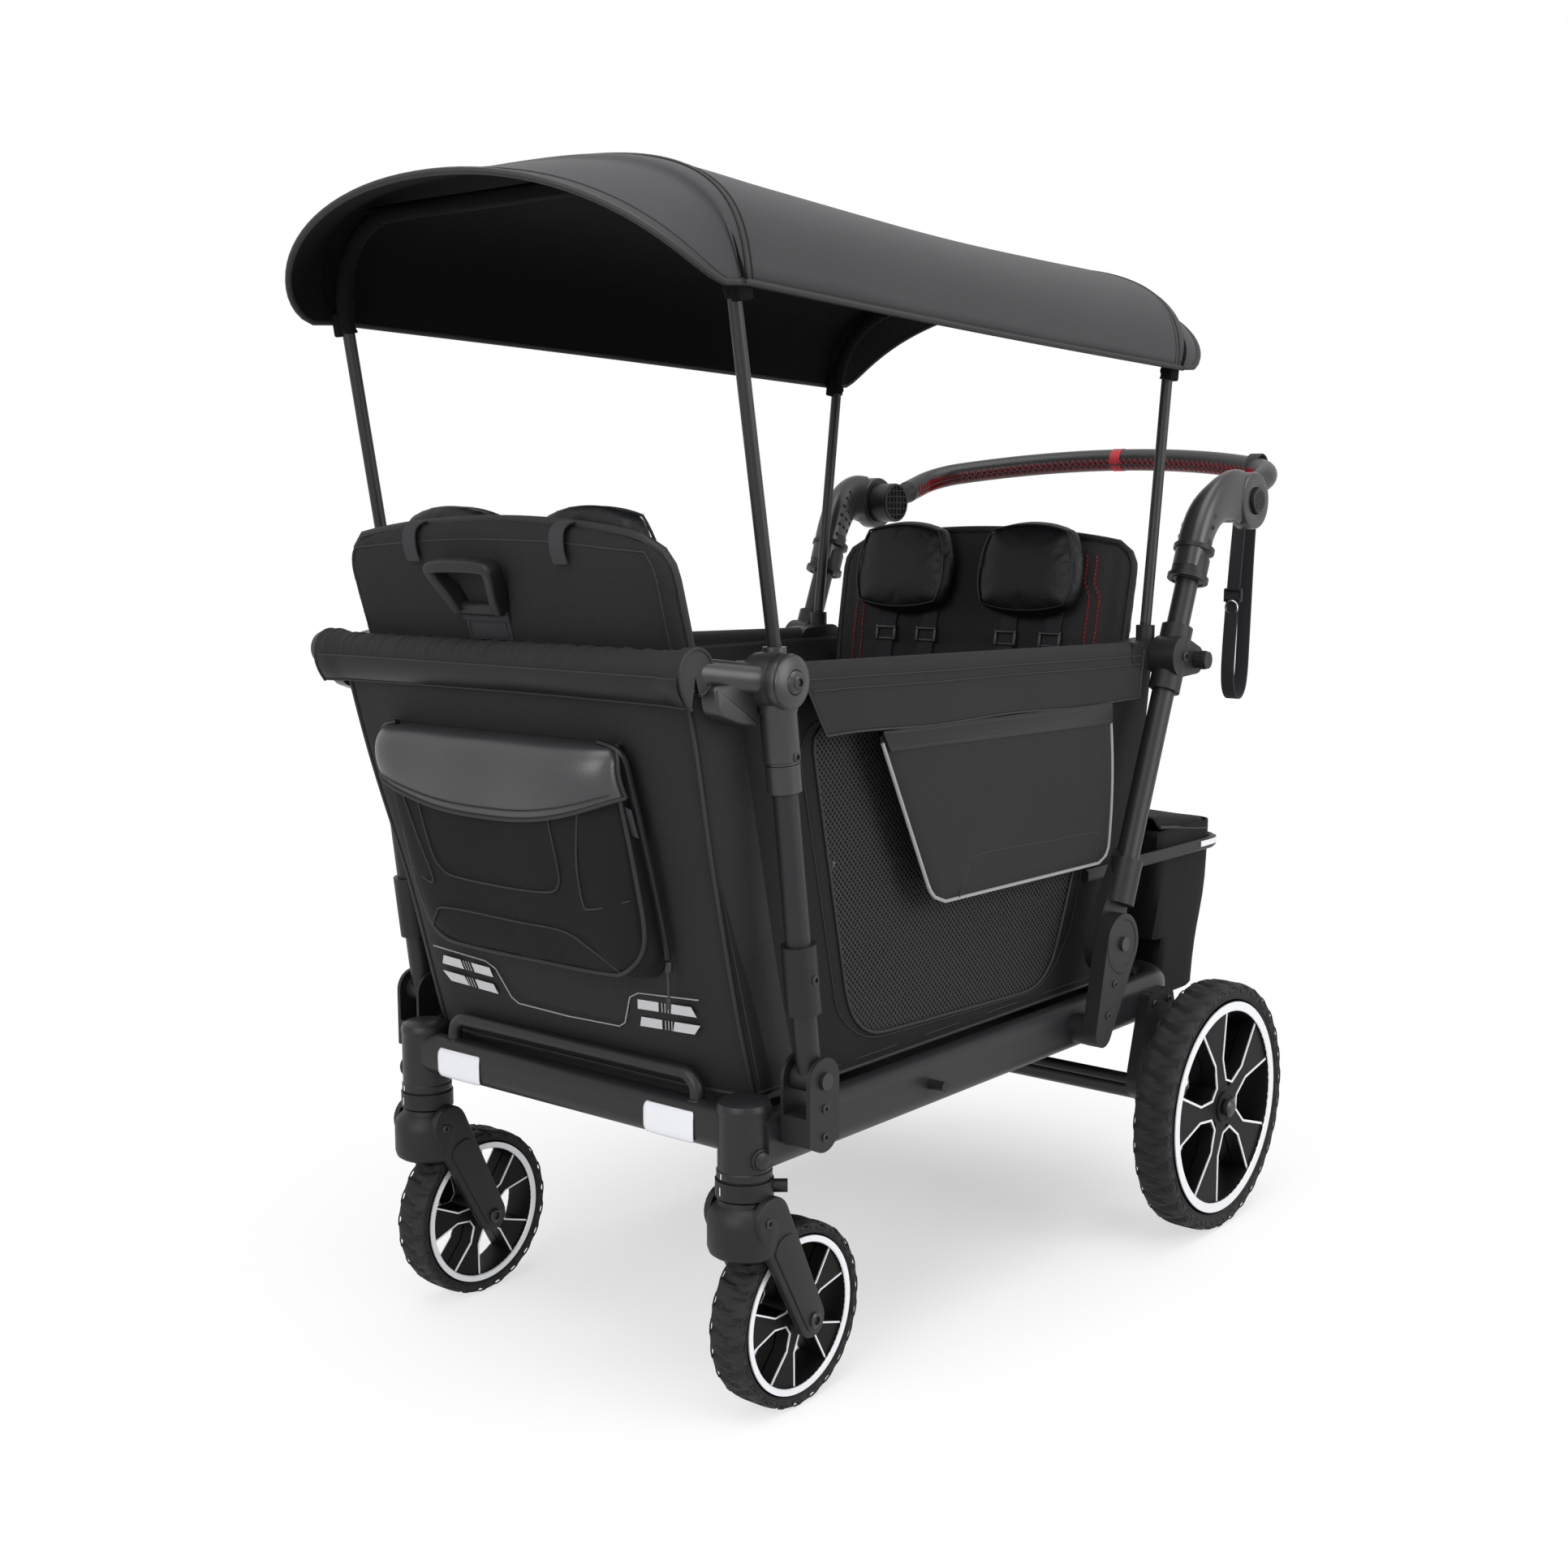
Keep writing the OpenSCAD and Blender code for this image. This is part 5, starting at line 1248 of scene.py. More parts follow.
@dataclass
class FrontBag:
    """The bag on the front wall: a sagging body, a leather lid, piping, side zips and sewn pockets."""

    tub: Tub
    half: float = 176.0
    top: float = 712.0
    low: float = 462.0
    depth: float = 50.0

    def edge(self, v: float) -> float:
        """Half width at a height share, with round lower corners."""
        t = max(0.0, 1 - v / 0.16)
        s = max(0.0, (v - 0.93) / 0.07)
        return self.half * (0.985 + 0.03 * sin(pi * v)) * (1 - 0.14 * t ** 2.5) * (1 - 0.05 * s * s)

    def face(self, u: float, v: float, out: float = 0.0) -> Vector:
        """A point on the bag's front at (u, v), moved out from it."""
        s = 2 * u - 1
        z = self.low + (self.top - self.low) * v
        crown = brim(s, 9) * brim(2 * v - 1, 12)
        fill = 0.66 + 0.34 * sin(pi * (0.18 + 0.72 * (1 - v)))
        sag = 1.4 * sin(11 * v + 4 * u) * sin(5 * u) + 1.0 * sin(17 * u - 6 * v)
        return self.tub.on_front(s * self.edge(v), z, (self.depth * fill + sag) * crown + out)

    def body(self) -> None:
        """Makes the bag's body."""
        def rear(u: float, v: float) -> Vector:
            """The bag's back, flat on the wall."""
            return self.tub.on_front((2 * u - 1) * self.edge(v), self.low + (self.top - self.low) * v)

        maker = Maker()
        maker.pillow(self.face, rear, 72, 60)
        made = maker.piece("front_bag_body", "chassis", DARK_AND_SHADED_WEAVE, sharp=80, stands_for=["front_bag"])
        swell(made, 5.0, 3.0, 1.4)
        self.tub.fold(made)

    def lid_low(self, u: float) -> float:
        """Height share of the lid's lower edge."""
        return 0.81 - 0.135 * max(0.0, 1 - abs(2 * u - 1) ** 2.2)

    def lid(self) -> None:
        """Makes the leather lid with its bound edge and stitches."""
        maker = Maker()

        def place(u: float, v: float) -> Vector:
            """The lid, from behind the bag's top edge down over its face."""
            s = 2 * u - 1
            if v < 0.2:
                t = v / 0.2
                back = self.tub.on_front(s * self.edge(1.0) * 1.02, self.top + 5, 2)
                return back.lerp(self.face(u, 0.985, 6) + at(0, 0, 7), soft(t))
            t = (v - 0.2) / 0.8
            row = 0.985 + (self.lid_low(u) - 0.985) * t
            spot = self.face(0.5 + 0.5 * s * 0.985, row, 7.0 + 4 * sin(pi * t))
            spot.x *= 1.045
            spot.z += 7 * (1 - t) ** 2
            return spot

        maker.sheet(place, 64, 26, facing=at(0, -1, 0.3))
        # The lid's lighter leather is a painted highlight.
        made = maker.piece("bag_lid", "chassis", LIT_LID_HIDE, PIPING, sharp=70)
        thicken(made, 2.4, -1.0, 1)
        self.tub.fold(made)
        trim = Maker()
        trim.tube([place(t, 1.0) for t in shares(64)], 2.4, 8)
        for u in (0.0, 1.0):
            trim.tube([place(u, t) for t in shares(20)], 2.2, 8)
        trim.use(1).tube([place(0.02 + 0.96 * t, 0.9) + at(0, -1.2, 0) for t in shares(60)], 0.7, 5)
        self.tub.fold(trim.piece("bag_lid_trim", "chassis", PIPING, BLACK_THREAD))

    def seams(self) -> None:
        """Makes the piping, pocket seams, side zips, a pull and a tab."""
        maker = Maker()
        left = [(0.012, 0.9), (0.012, 0.5), (0.02, 0.2), (0.075, 0.06), (0.2, 0.02)]
        ring = left + [(0.5, 0.012)] + [(1 - u, v) for u, v in reversed(left)]
        out = 4.0
        maker.tube(flowing([self.face(u, v, out) for u, v in ring], 90), 2.6, 8)
        maker.use(1)
        pocket = [(0.2, 0.74), (0.215, 0.5), (0.235, 0.41), (0.29, 0.375), (0.5, 0.365), (0.68, 0.375), (0.735, 0.41),
                  (0.755, 0.5), (0.765, 0.74)]
        patch = [(0.06, 0.1), (0.13, 0.17), (0.2, 0.215), (0.5, 0.21), (0.7, 0.205), (0.8, 0.15), (0.9, 0.05)]
        gore = [(0.9, 0.86), (0.84, 0.55), (0.82, 0.36), (0.85, 0.33), (0.97, 0.38)]
        for line in (pocket, patch, gore, [(1 - u, v) for u, v in gore]):
            maker.tube(flowing([self.face(u, v, out - 0.4) for u, v in line], 60), 1.0, 6)
        maker.use(2)
        wall = self.tub.on_front
        for way in WAYS:
            zip_line = ((-24, 718, 16), (3, 708, 15), (7, 672, 14), (8, 600, 13), (7, 520, 12), (4, 492, 11))
            maker.tube(flowing([wall(way * (self.half + a), z, out) for a, z, out in zip_line], 50), 3.6, 8)
        maker.use(3)
        pull = wall(self.half + 6, 484, 14)
        maker.block(pull, (7, 5, 12), None, 1.2)
        maker.tube([pull + at(0, -2, -5), pull + at(2, -3, -18), pull + at(1, -2, -34)], 1.3, 6)
        maker.block(pull + at(1, -2, -38), (5, 3, 12), None, 1.0)
        maker.use(4)
        tag = ((-4, 655, 20), (6, 652, 20), (6, 622, 18), (-4, 625, 18))
        maker.plate([wall(self.half + a, z, out) for a, z, out in tag], at(0, -1.2, 0), 0.4)
        self.tub.fold(maker.piece("bag_seams", "chassis", PIPING, BLACK_THREAD, BAND, DARK_STEEL, WEBBING))

    def build(self) -> None:
        """Makes the whole bag."""
        self.body()
        self.lid()
        self.seams()


@dataclass
class SideFlap:
    """A cloth flap over a top side rail with its saddle pocket."""

    way: int
    side: str
    inner: float = 274.0
    outer: float = 283.8

    def on_pocket(self, u: float, v: float) -> Pair:
        """Place along the wagon and height of a point of the pocket, with round lower corners."""
        low, tall, corner = 509.0, 203.0, 22.0
        cut = corner - sqrt(corner ** 2 - max(0.0, corner - tall * v) ** 2)
        front, rear = -221 - 105 * v + cut, 160 + 9 * sin(pi * v) - 3 * v - cut
        return front + (rear - front) * u, low + tall * v - 3 * (u - 0.5) * (1 - v)

    def crest(self, y: float) -> float:
        """Height of the top rail's upper side."""
        return 792.5 - 15 * (y + 522) / 767

    @staticmethod
    def fold(piece: bpy.types.Object) -> None:
        """Gives a piece of the flap a mesh of its own."""
        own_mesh(piece)

    def band(self) -> None:
        """Makes the band that wraps over the rail."""
        maker = Maker()
        way = self.way

        def place(u: float, v: float) -> Vector:
            """The band at (u, v)."""
            fall = max(0.0, v - 0.55) / 0.45
            y = -462 + 696 * u + 42 * fall * (1 - u) ** 6 - 8 * u ** 6 * fall
            crest = self.crest(y)
            drop = 716 - 8 * u + 1.5 * sin(14 * u)
            wave = 1.0 * sin(11 * u) * sin(pi * v)
            if v < 0.25:
                return at(way * (250.5 + 0.2 * wave), y, crest - 26 * (1 - v / 0.25) - 8)
            if v < 0.55:
                a = pi * (1 - (v - 0.25) / 0.3)
                return at(way * (266.5 + 16 * cos(a)), y, crest - 8 + 10 * sin(a))
            t = (v - 0.55) / 0.45
            return at(way * (282.5 - 0.6 * wave), y, crest - 8 + (drop - crest + 8) * t)

        maker.sheet(place, 90, 40, facing=at(way, 0, 0))
        made = maker.piece(f"flap_band_{self.side}", "top_rails", TUB, PIPING, sharp=70,
                           stands_for=["side_flaps"])
        thicken(made, 1.8, -1.0, 1)
        trim = Maker()
        for u in (0.0, 1.0):
            trim.tube([place(u, 0.02 + 0.98 * t) for t in shares(40)], 1.3, 8)
        trim.tube([place(t, 1.0) for t in shares(60)], 1.3, 8)
        trim.use(1)
        for v in (0.6, 0.68):
            trim.tube([place(0.01 + 0.98 * t, v) + at(way * 0.7, 0, 0) for t in shares(60)], 0.6, 5)
        self.fold(made)
        self.fold(trim.piece(f"flap_trim_{self.side}", "top_rails", PIPING, BLACK_THREAD))

    def pocket(self) -> None:
        """Makes the pocket with its leather band, piping and seams."""
        maker, way = Maker(), self.way

        def puff(u: float, v: float, far: bool) -> Vector:
            """One side of the pocket."""
            rise = brim(2 * u - 1, 16) * brim(2 * v - 1, 12)
            return at(way * (self.inner + 4 + (5.2 if far else -3.2) * rise), *self.on_pocket(u, v))

        maker.pillow(lambda u, v: puff(u, v, True), lambda u, v: puff(u, v, False), 48, 32)
        self.fold(maker.piece(f"saddle_pocket_{self.side}", "top_rails", TUB, sharp=70))
        trim, face = Maker(), way * (self.outer - 1.0)
        rim = [self.on_pocket(u, 0.94 * (1 - v)) for u, v in three_sides(24, 24)]
        trim.tube([at(way * (self.inner + 5.2), y, z) for y, z in rim], 2.2, 8)
        trim.use(1)
        edge = [(-325, 713), (-311, 690), (158, 682), (158, 709)]
        trim.plate([at(face, a, b) for a, b in rounded(edge, (4, 4, 4, 4), 3)], at(way * 1.2, 0, 0), 0.5)
        trim.use(2)
        for z in (693, 710):
            trim.tube([at(face + way * 1.0, -312 + 466 * t, z - 6 * t) for t in shares(30)], 0.7, 5)
        seam = [(-176, 512), (-158, 545), (-133, 556), (20, 552), (116, 549), (132, 540), (140, 514)]
        trim.tube(flowing([at(way * (self.inner + 9.0), a, b) for a, b in seam], 50), 0.7, 5)
        self.fold(trim.piece(f"saddle_trim_{self.side}", "top_rails", GREY_PIPING, BAND, BLACK_THREAD))

    def build(self) -> None:
        """Makes the flap and its pocket."""
        self.band()
        self.pocket()


@dataclass
class Seat:
    """One padded seat: back, headrests, harness and bench."""

    name: str
    y: float
    lean: float
    way: int
    headrest_low: float
    headrest_sink: float
    hinge: float = 450.0
    width: float = 466.0
    length: float = 474.0
    thick: float = 26.0
    crown: float = 14.0
    flare: float = 0.0
    pad_x: float = 98.0
    strap_x: float = 98.0
    foot: float = 13.0
    corner: float = 46.0
    arch: float = 9.0
    cloth: Finish = SEAT

    def place(self, x: float, out: float, up: float) -> Vector:
        """A point of the seat back, x to the wagon's left, out of its face and up along it from its hinge."""
        lean = radians(self.lean)
        return at(x, self.y + self.way * (out * cos(lean) - up * sin(lean)),
                  self.hinge + out * sin(lean) + up * cos(lean))

    def half(self, v: float) -> float:
        """Half width of the back at a height share."""
        t = min(1.0, max(0.0, (v - 0.9) / 0.1))
        wide = self.width / 2 * (1 - 0.01 * sin(pi * v)) + self.flare * soft((v - 0.4) / 0.3)
        return wide - self.corner * (1 - sqrt(1 - t * t))

    def height(self, s: float, v: float) -> float:
        """How far up the back a point lies, under a slightly arched top."""
        rise = self.arch * (1 - 2 * s * s) * max(0.0, (v - 0.75) / 0.25) ** 2
        return self.foot + self.length * v + rise

    def face(self, u: float, v: float, out: float = 0.0) -> Vector:
        """A point on the padded face."""
        s = 2 * u - 1
        rim, dome = brim(s, 10) * brim(2 * v - 1, 14), brim(s, 4) * brim(2 * v - 1, 4)
        groove = 0.0
        for line in (-0.42, 0.0, 0.42):
            groove += 3.5 * exp(-((s - line) / 0.022) ** 2) * soft(v / 0.1) * soft((1 - v) / 0.1)
        for line in (0.34, 0.66):
            groove += 3.0 * exp(-((v - line) / 0.018) ** 2) * soft((0.86 - abs(s)) / 0.1)
        edge = 4.0 * exp(-((abs(s) - 0.88) / 0.03) ** 2) * soft((1 - v) / 0.06)
        deep = self.thick / 2 * rim + self.crown * dome * 0.92 - groove - edge
        return self.place(s * self.half(v), deep + out, self.height(s, v))

    def rear(self, u: float, v: float, out: float = 0.0) -> Vector:
        """A point on the panel behind the pad."""
        s = 2 * u - 1
        rim = brim(s, 12) * brim(2 * v - 1, 16)
        slack = 0.9 * sin(8 * u) * sin(6 * v + 1) + 0.6 * sin(21 * u + 3 * v)
        return self.place(s * self.half(v), -(self.thick / 2 - 1 + slack) * rim - out, self.height(s, v))

    def back(self) -> None:
        """Makes the seat back's pad, its edge piping, the seam behind it and its hinge roll."""
        maker = Maker()
        maker.pillow(self.face, self.rear, 70, 64)
        body = f"{self.name}_seat"
        made = maker.piece(f"{self.name}_back_pad", body, self.cloth, sharp=80,
                           stands_for=[f"{self.name}_seat_back"])
        swell(made, 5.0, 3.0, 1.2)
        trim = Maker()
        ring = three_sides(30, 24)
        trim.tube([self.face(0.5 + (u - 0.5) * 0.984, v * 0.993) for u, v in ring], 5.0, 8)
        inner = [(0.5 + (u - 0.5) * 0.94, 0.03 + 0.935 * v) for u, v in ring]
        trim.use(1).tube([self.rear(u, v, 0.4) for u, v in inner], 0.8, 5)
        trim.use(0).tube([self.place(-225 + 450 * t, 0, 4) for t in shares(8)], 11, 12)
        trim.piece(f"{self.name}_back_piping", body, PIPING, BLACK_THREAD)

    def stitches(self) -> None:
        """Makes the double rows of red stitches near the edges of the seat's face."""
        maker, body = Maker(), f"{self.name}_seat"
        for u in (0.085, 0.115, 0.885, 0.915):
            for k in range(64):
                v = 0.1 + 0.84 * k / 64
                lean = 0.022 * soft((v - 0.8) / 0.06) * (1 if u > 0.5 else -1)
                first, last = self.face(u - lean, v, 2.2), self.face(u - lean, v + 0.009, 2.2)
                maker.tube([first, (first + last) / 2 + (first - self.face(u - lean, v, 1.0)), last], 0.8, 4)
        maker.piece(f"{self.name}_red_stitches", body, RED_THREAD)

    def headrests(self) -> None:
        """Makes the two leather headrests with their seams and straps."""
        body, base = f"{self.name}_seat", self.thick / 2 + self.crown - self.headrest_sink
        trim = Maker()
        for way, side in SIDES:
            maker = Maker()

            def pad(u: float, v: float, far: bool, way: int = way) -> Vector:
                """The headrest's front or back at (u, v)."""
                a, b = 2 * u - 1, 2 * v - 1
                x = a * sqrt(1 - 0.36 * b * b) * 1.12
                z = b * sqrt(1 - 0.36 * a * a) * 1.12
                taper = 1 - 0.05 * b
                rise = brim(max(abs(a), abs(b)), 5)
                out = base + 20 + (21 if far else -15) * rise
                return self.place(way * self.pad_x + x * 73 * taper, out, self.headrest_low + 59 + z * 58)

            maker.pillow(lambda u, v: pad(u, v, True), lambda u, v: pad(u, v, False), 30, 26)
            nodes = [f"{self.name}_headrests"] if way > 0 else []
            made = maker.piece(f"{self.name}_headrest_{side}", body, PAD_HIDE, sharp=80, stands_for=nodes)
            swell(made, 4.0, 3.0, 1.8)
            round_off(made)
            low, high = 0.06, 0.94
            corners = [Vector(c) for c in ((low, low), (high, low), (high, high), (low, high))]
            ring = [pad(*a.lerp(b, k / 12), True) for a, b in zip(corners, corners[1:] + corners[:1])
                    for k in range(12)]
            lift = self.place(0, 1.6, 0) - self.place(0, 0, 0)
            trim.use(0).tube([p + lift for p in ring], 1.7, 8, True)
            trim.use(1)
            x, top = way * (self.strap_x + 12), self.height(0.42, 1.0) - 6
            over = [(base + 2, self.headrest_low + 90), (base - 6, top - 24), (8, top), (-2, top + 5), (-14, top),
                    (-19, top - 16), (-18, top - 32)]
            trim.strap(flowing([self.place(x, a, b) for a, b in over], 26), at(1, 0, 0), 20, 2.2)
        trim.piece(f"{self.name}_headrest_trim", body, BAND, WEBBING)

    def harness(self) -> None:
        """Makes the shoulder straps with their pads, sliders and lap buckles."""
        maker, body = Maker(), f"{self.name}_seat"
        lean = Matrix.Rotation(radians(self.lean) * self.way, 3, "X")
        for way in WAYS:
            for dx in (-34, 34):
                u = 0.5 + (way * self.strap_x + dx) / self.width
                line = [self.face(u + 0.01 * sin(9 * v), v, 5)
                        for v in (0.84, 0.74, 0.64, 0.52, 0.4, 0.3, 0.2, 0.12)]
                maker.use(0).strap(flowing(line, 40), at(1, 0, 0), 25, 2.2)
                shade = [self.face(u, v, 8) for v in (0.6, 0.54, 0.46, 0.38, 0.32)]
                maker.use(1).strap(flowing(shade, 20), at(1, 0, 0), 46, 9)
                maker.use(2)
                for v in (0.665, 0.7):
                    maker.block(self.face(u, v, 8), (34, 5, 4), lean, 1.2)
                for d in (-15, 15):
                    maker.block(self.face(u, 0.683, 8) + at(d, 0, 0), (4, 5, 22), lean, 1.2)
            maker.use(2)
            x = way * self.strap_x
            maker.block(self.place(x, 58, 40), (44, 14, 52), lean, 4)
            maker.lathe([(13, 0), (12, 3), (0, 3.6)], self.place(x, 65, 40), at(0, self.way, 0.1), 28)
        maker.piece(f"{self.name}_harness", body, WEBBING, self.cloth, LIT_GLOSS)

    def bench(self) -> None:
        """Makes the seat cushion, its piping and the board behind it."""
        maker = Maker()
        depth, half, low, edge, top = 212.0, 233.0, 318.0, 40.0, 398.0

        def shell(u: float, v: float, upper: bool) -> Vector:
            """The cushion's top or underside."""
            s, t = 2 * u - 1, 2 * v - 1
            rim = brim(s, 10, 0.4) * brim(t, 10, 0.4)
            groove = 3.5 * exp(-(t / 0.05) ** 2) + 3.5 * exp(-(s / 0.02) ** 2)
            z = low + edge + ((top - low - edge - groove) if upper else 0.5 - edge) * rim
            pull = 1 - 0.015 * (1 - t * t)
            return at(s * half * pull, self.y + self.way * (5 + depth * v), z)

        maker.pillow(lambda u, v: shell(u, v, True), lambda u, v: shell(u, v, False), 56, 32)
        made = maker.piece(f"{self.name}_bench_pad", "chassis", SEAT, sharp=80, stands_for=[f"{self.name}_seat_base"])
        trim = Maker()
        trim.tube([shell(u, v, True) for u, v in three_sides(8, 30)], 2.6, 8)
        trim.block(at(0, self.y, 376), (464, 13, 116), None, 4)
        trim.piece(f"{self.name}_bench_piping", "chassis", PIPING)

    def build(self) -> None:
        """Makes the whole seat."""
        self.back()
        self.headrests()
        self.harness()
        self.bench()
        self.stitches()


@dataclass
class PullHandle:
    """The moulded pull handle on the front seat's rear panel, and its strap patch."""

    seat: Seat
    x: float = -20.0
    low: float = 424.0

    def build(self) -> None:
        """Makes the handle's grip, its foot, and the patch with its stitched box."""
        maker, seat = Maker(), self.seat
        lean = Matrix.Rotation(radians(seat.lean), 3, "X")
        arm = [(31, -20, -8), (34, -24, 6), (43, -32, 34), (38, -34, 42)]
        grip = arm + [(0, -35, 44)] + [(-a, out, up) for a, out, up in reversed(arm)]
        path = flowing([seat.place(self.x + a, out, self.low + up) for a, out, up in grip], 60)
        across = seat.place(0, 1, 0) - seat.place(0, 0, 0)
        section = rounded([(10, -6.5), (10, 6.5), (-10, 6.5), (-10, -6.5)], (4, 4, 4, 4), 3)
        maker.sweep(path, section, across)
        maker.block(seat.place(self.x, -19, self.low - 8), (66, 11, 13), lean, 3)
        maker.piece("pull_grip", "front_seat", PLASTIC, stands_for=["seat_pull_handle"])
        patch = Maker()
        patch.block(seat.place(self.x, -14.6, self.low - 26), (66, 2.4, 34), lean, 0.8)
        patch.block(seat.place(self.x, -16.4, self.low - 16), (70, 3.0, 12), lean, 1.0)
        patch.use(1)
        box = [(-28, -39), (28, -39), (28, -24), (-28, -24)]
        patch.tube([seat.place(self.x + a, -16.2, self.low + b) for a, b in box], 0.6, 5, True)
        patch.piece("pull_patch", "front_seat", WEBBING, BLACK_THREAD)


@dataclass
class Basket:
    """The rear storage basket with its lid and the bar round its mouth."""

    half: float = 246.0
    low: float = 280.0
    tall: float = 240.0
    notch: float = 366.0

    def ring(self, z: float) -> list[Pair]:
        """The basket's outline at a height."""
        t = (z - self.low) / self.tall
        front = 379.5 if z < self.notch else 358.0
        rear = 500 + 25.5 * soft(t * 1.1)
        half = self.half - 8 * (1 - soft(t * 1.4))
        return rounded([(-half, front), (half, front), (half, rear), (-half, rear)], (6, 6, 42, 42), 8)

    def body(self) -> None:
        """Makes the basket's sagging shell."""
        maker = Maker()
        rises = (0, 1.5, 6, 16, 40, 65, 85, 86, 105, 130, 155, 180, 205, 225, 236)
        levels = [self.low + rise for rise in rises]
        rings, middle = [evenly(self.ring(z), 120) for z in levels], 440.0

        def place(u: float, v: float) -> Vector:
            """The shell at (u, v); its first row is the middle of its floor."""
            j = round(v * len(levels))
            if j == 0:
                return at(0, middle, levels[0])
            z, spot = levels[j - 1], rings[j - 1][round(u * 120) % 120]
            shrink = 0.93 if j == 1 else 0.985 if j == 2 else 1.0
            wave = 1.6 * sin(spot.x * 0.05 + z * 0.02) * sin(z * 0.035)
            y = middle + (spot.y - middle) * shrink
            return at(spot.x * shrink, y + (wave if spot.y > 470 else 0), z)

        maker.sheet(place, 120, len(levels), True)
        # The basket gets the darker cloth as painted shade under the tub.
        made = maker.piece("basket_shell", "chassis", DARK_AND_SHADED_WEAVE, sharp=60, stands_for=["storage_basket"])
        thicken(made, 2.0, -1.0)

    def lid(self) -> None:
        """Makes the lid and its piping."""
        maker = Maker()

        def place(u: float, v: float) -> Vector:
            """The lid's top, rising towards the seat."""
            a = 2 * u - 1
            x = a * (self.half - 2 - 16 * max(0, v - 0.8) / 0.2 * abs(a) ** 8)
            y = 360 + 164 * v
            z = 534 - 17 * v + 4 * sin(pi * u) * sin(pi * v) + 1.2 * sin(14 * u + 4 * v)
            edge = max(abs(a), 2 * v - 1)
            return at(x, y, z - 14 * max(0.0, (edge - 0.94) / 0.06) ** 2)

        maker.sheet(place, 60, 30, facing=at(0, 0, 1))
        made = maker.piece("basket_lid", "chassis", DARK_AND_SHADED_WEAVE, PIPING, sharp=60)
        thicken(made, 2.4, -1.0, 1)
        trim = Maker()
        trim.tube([place(u, v) for u, v in three_sides(20, 40)], 2.4, 8)
        trim.piece("basket_trim", "chassis", PIPING)

    def hoop(self) -> None:
        """Makes the flat bar round the basket's mouth with its pale strips."""
        maker, z = Maker(), 486.0
        corner = [(253, 478), (251, 500), (243, 517), (226, 529), (204, 533)]
        half = [(253.0, 152 + 40 * k) for k in range(8)] + corner
        line = [at(a, b, z) for a, b in half] + [at(0, 533, z)] + [at(-a, b, z) for a, b in reversed(half)]
        maker.strap(flowing(line, 150), at(0, 0, 1), 16, 9)
        maker.use(1)
        for way in WAYS:
            strip = [(258.1, 455), (258, 480), (255.6, 502), (247, 520.5), (232, 532)]
            maker.strap(flowing([at(way * a, b, z + 2) for a, b in strip], 24), at(0, 0, 1), 8, 0.8)
        maker.piece("basket_hoop", "chassis", PLASTIC, REFLECTOR, stands_for=["basket_frame"])

    def build(self) -> None:
        """Makes the whole basket."""
        self.body()
        self.lid()
        self.hoop()


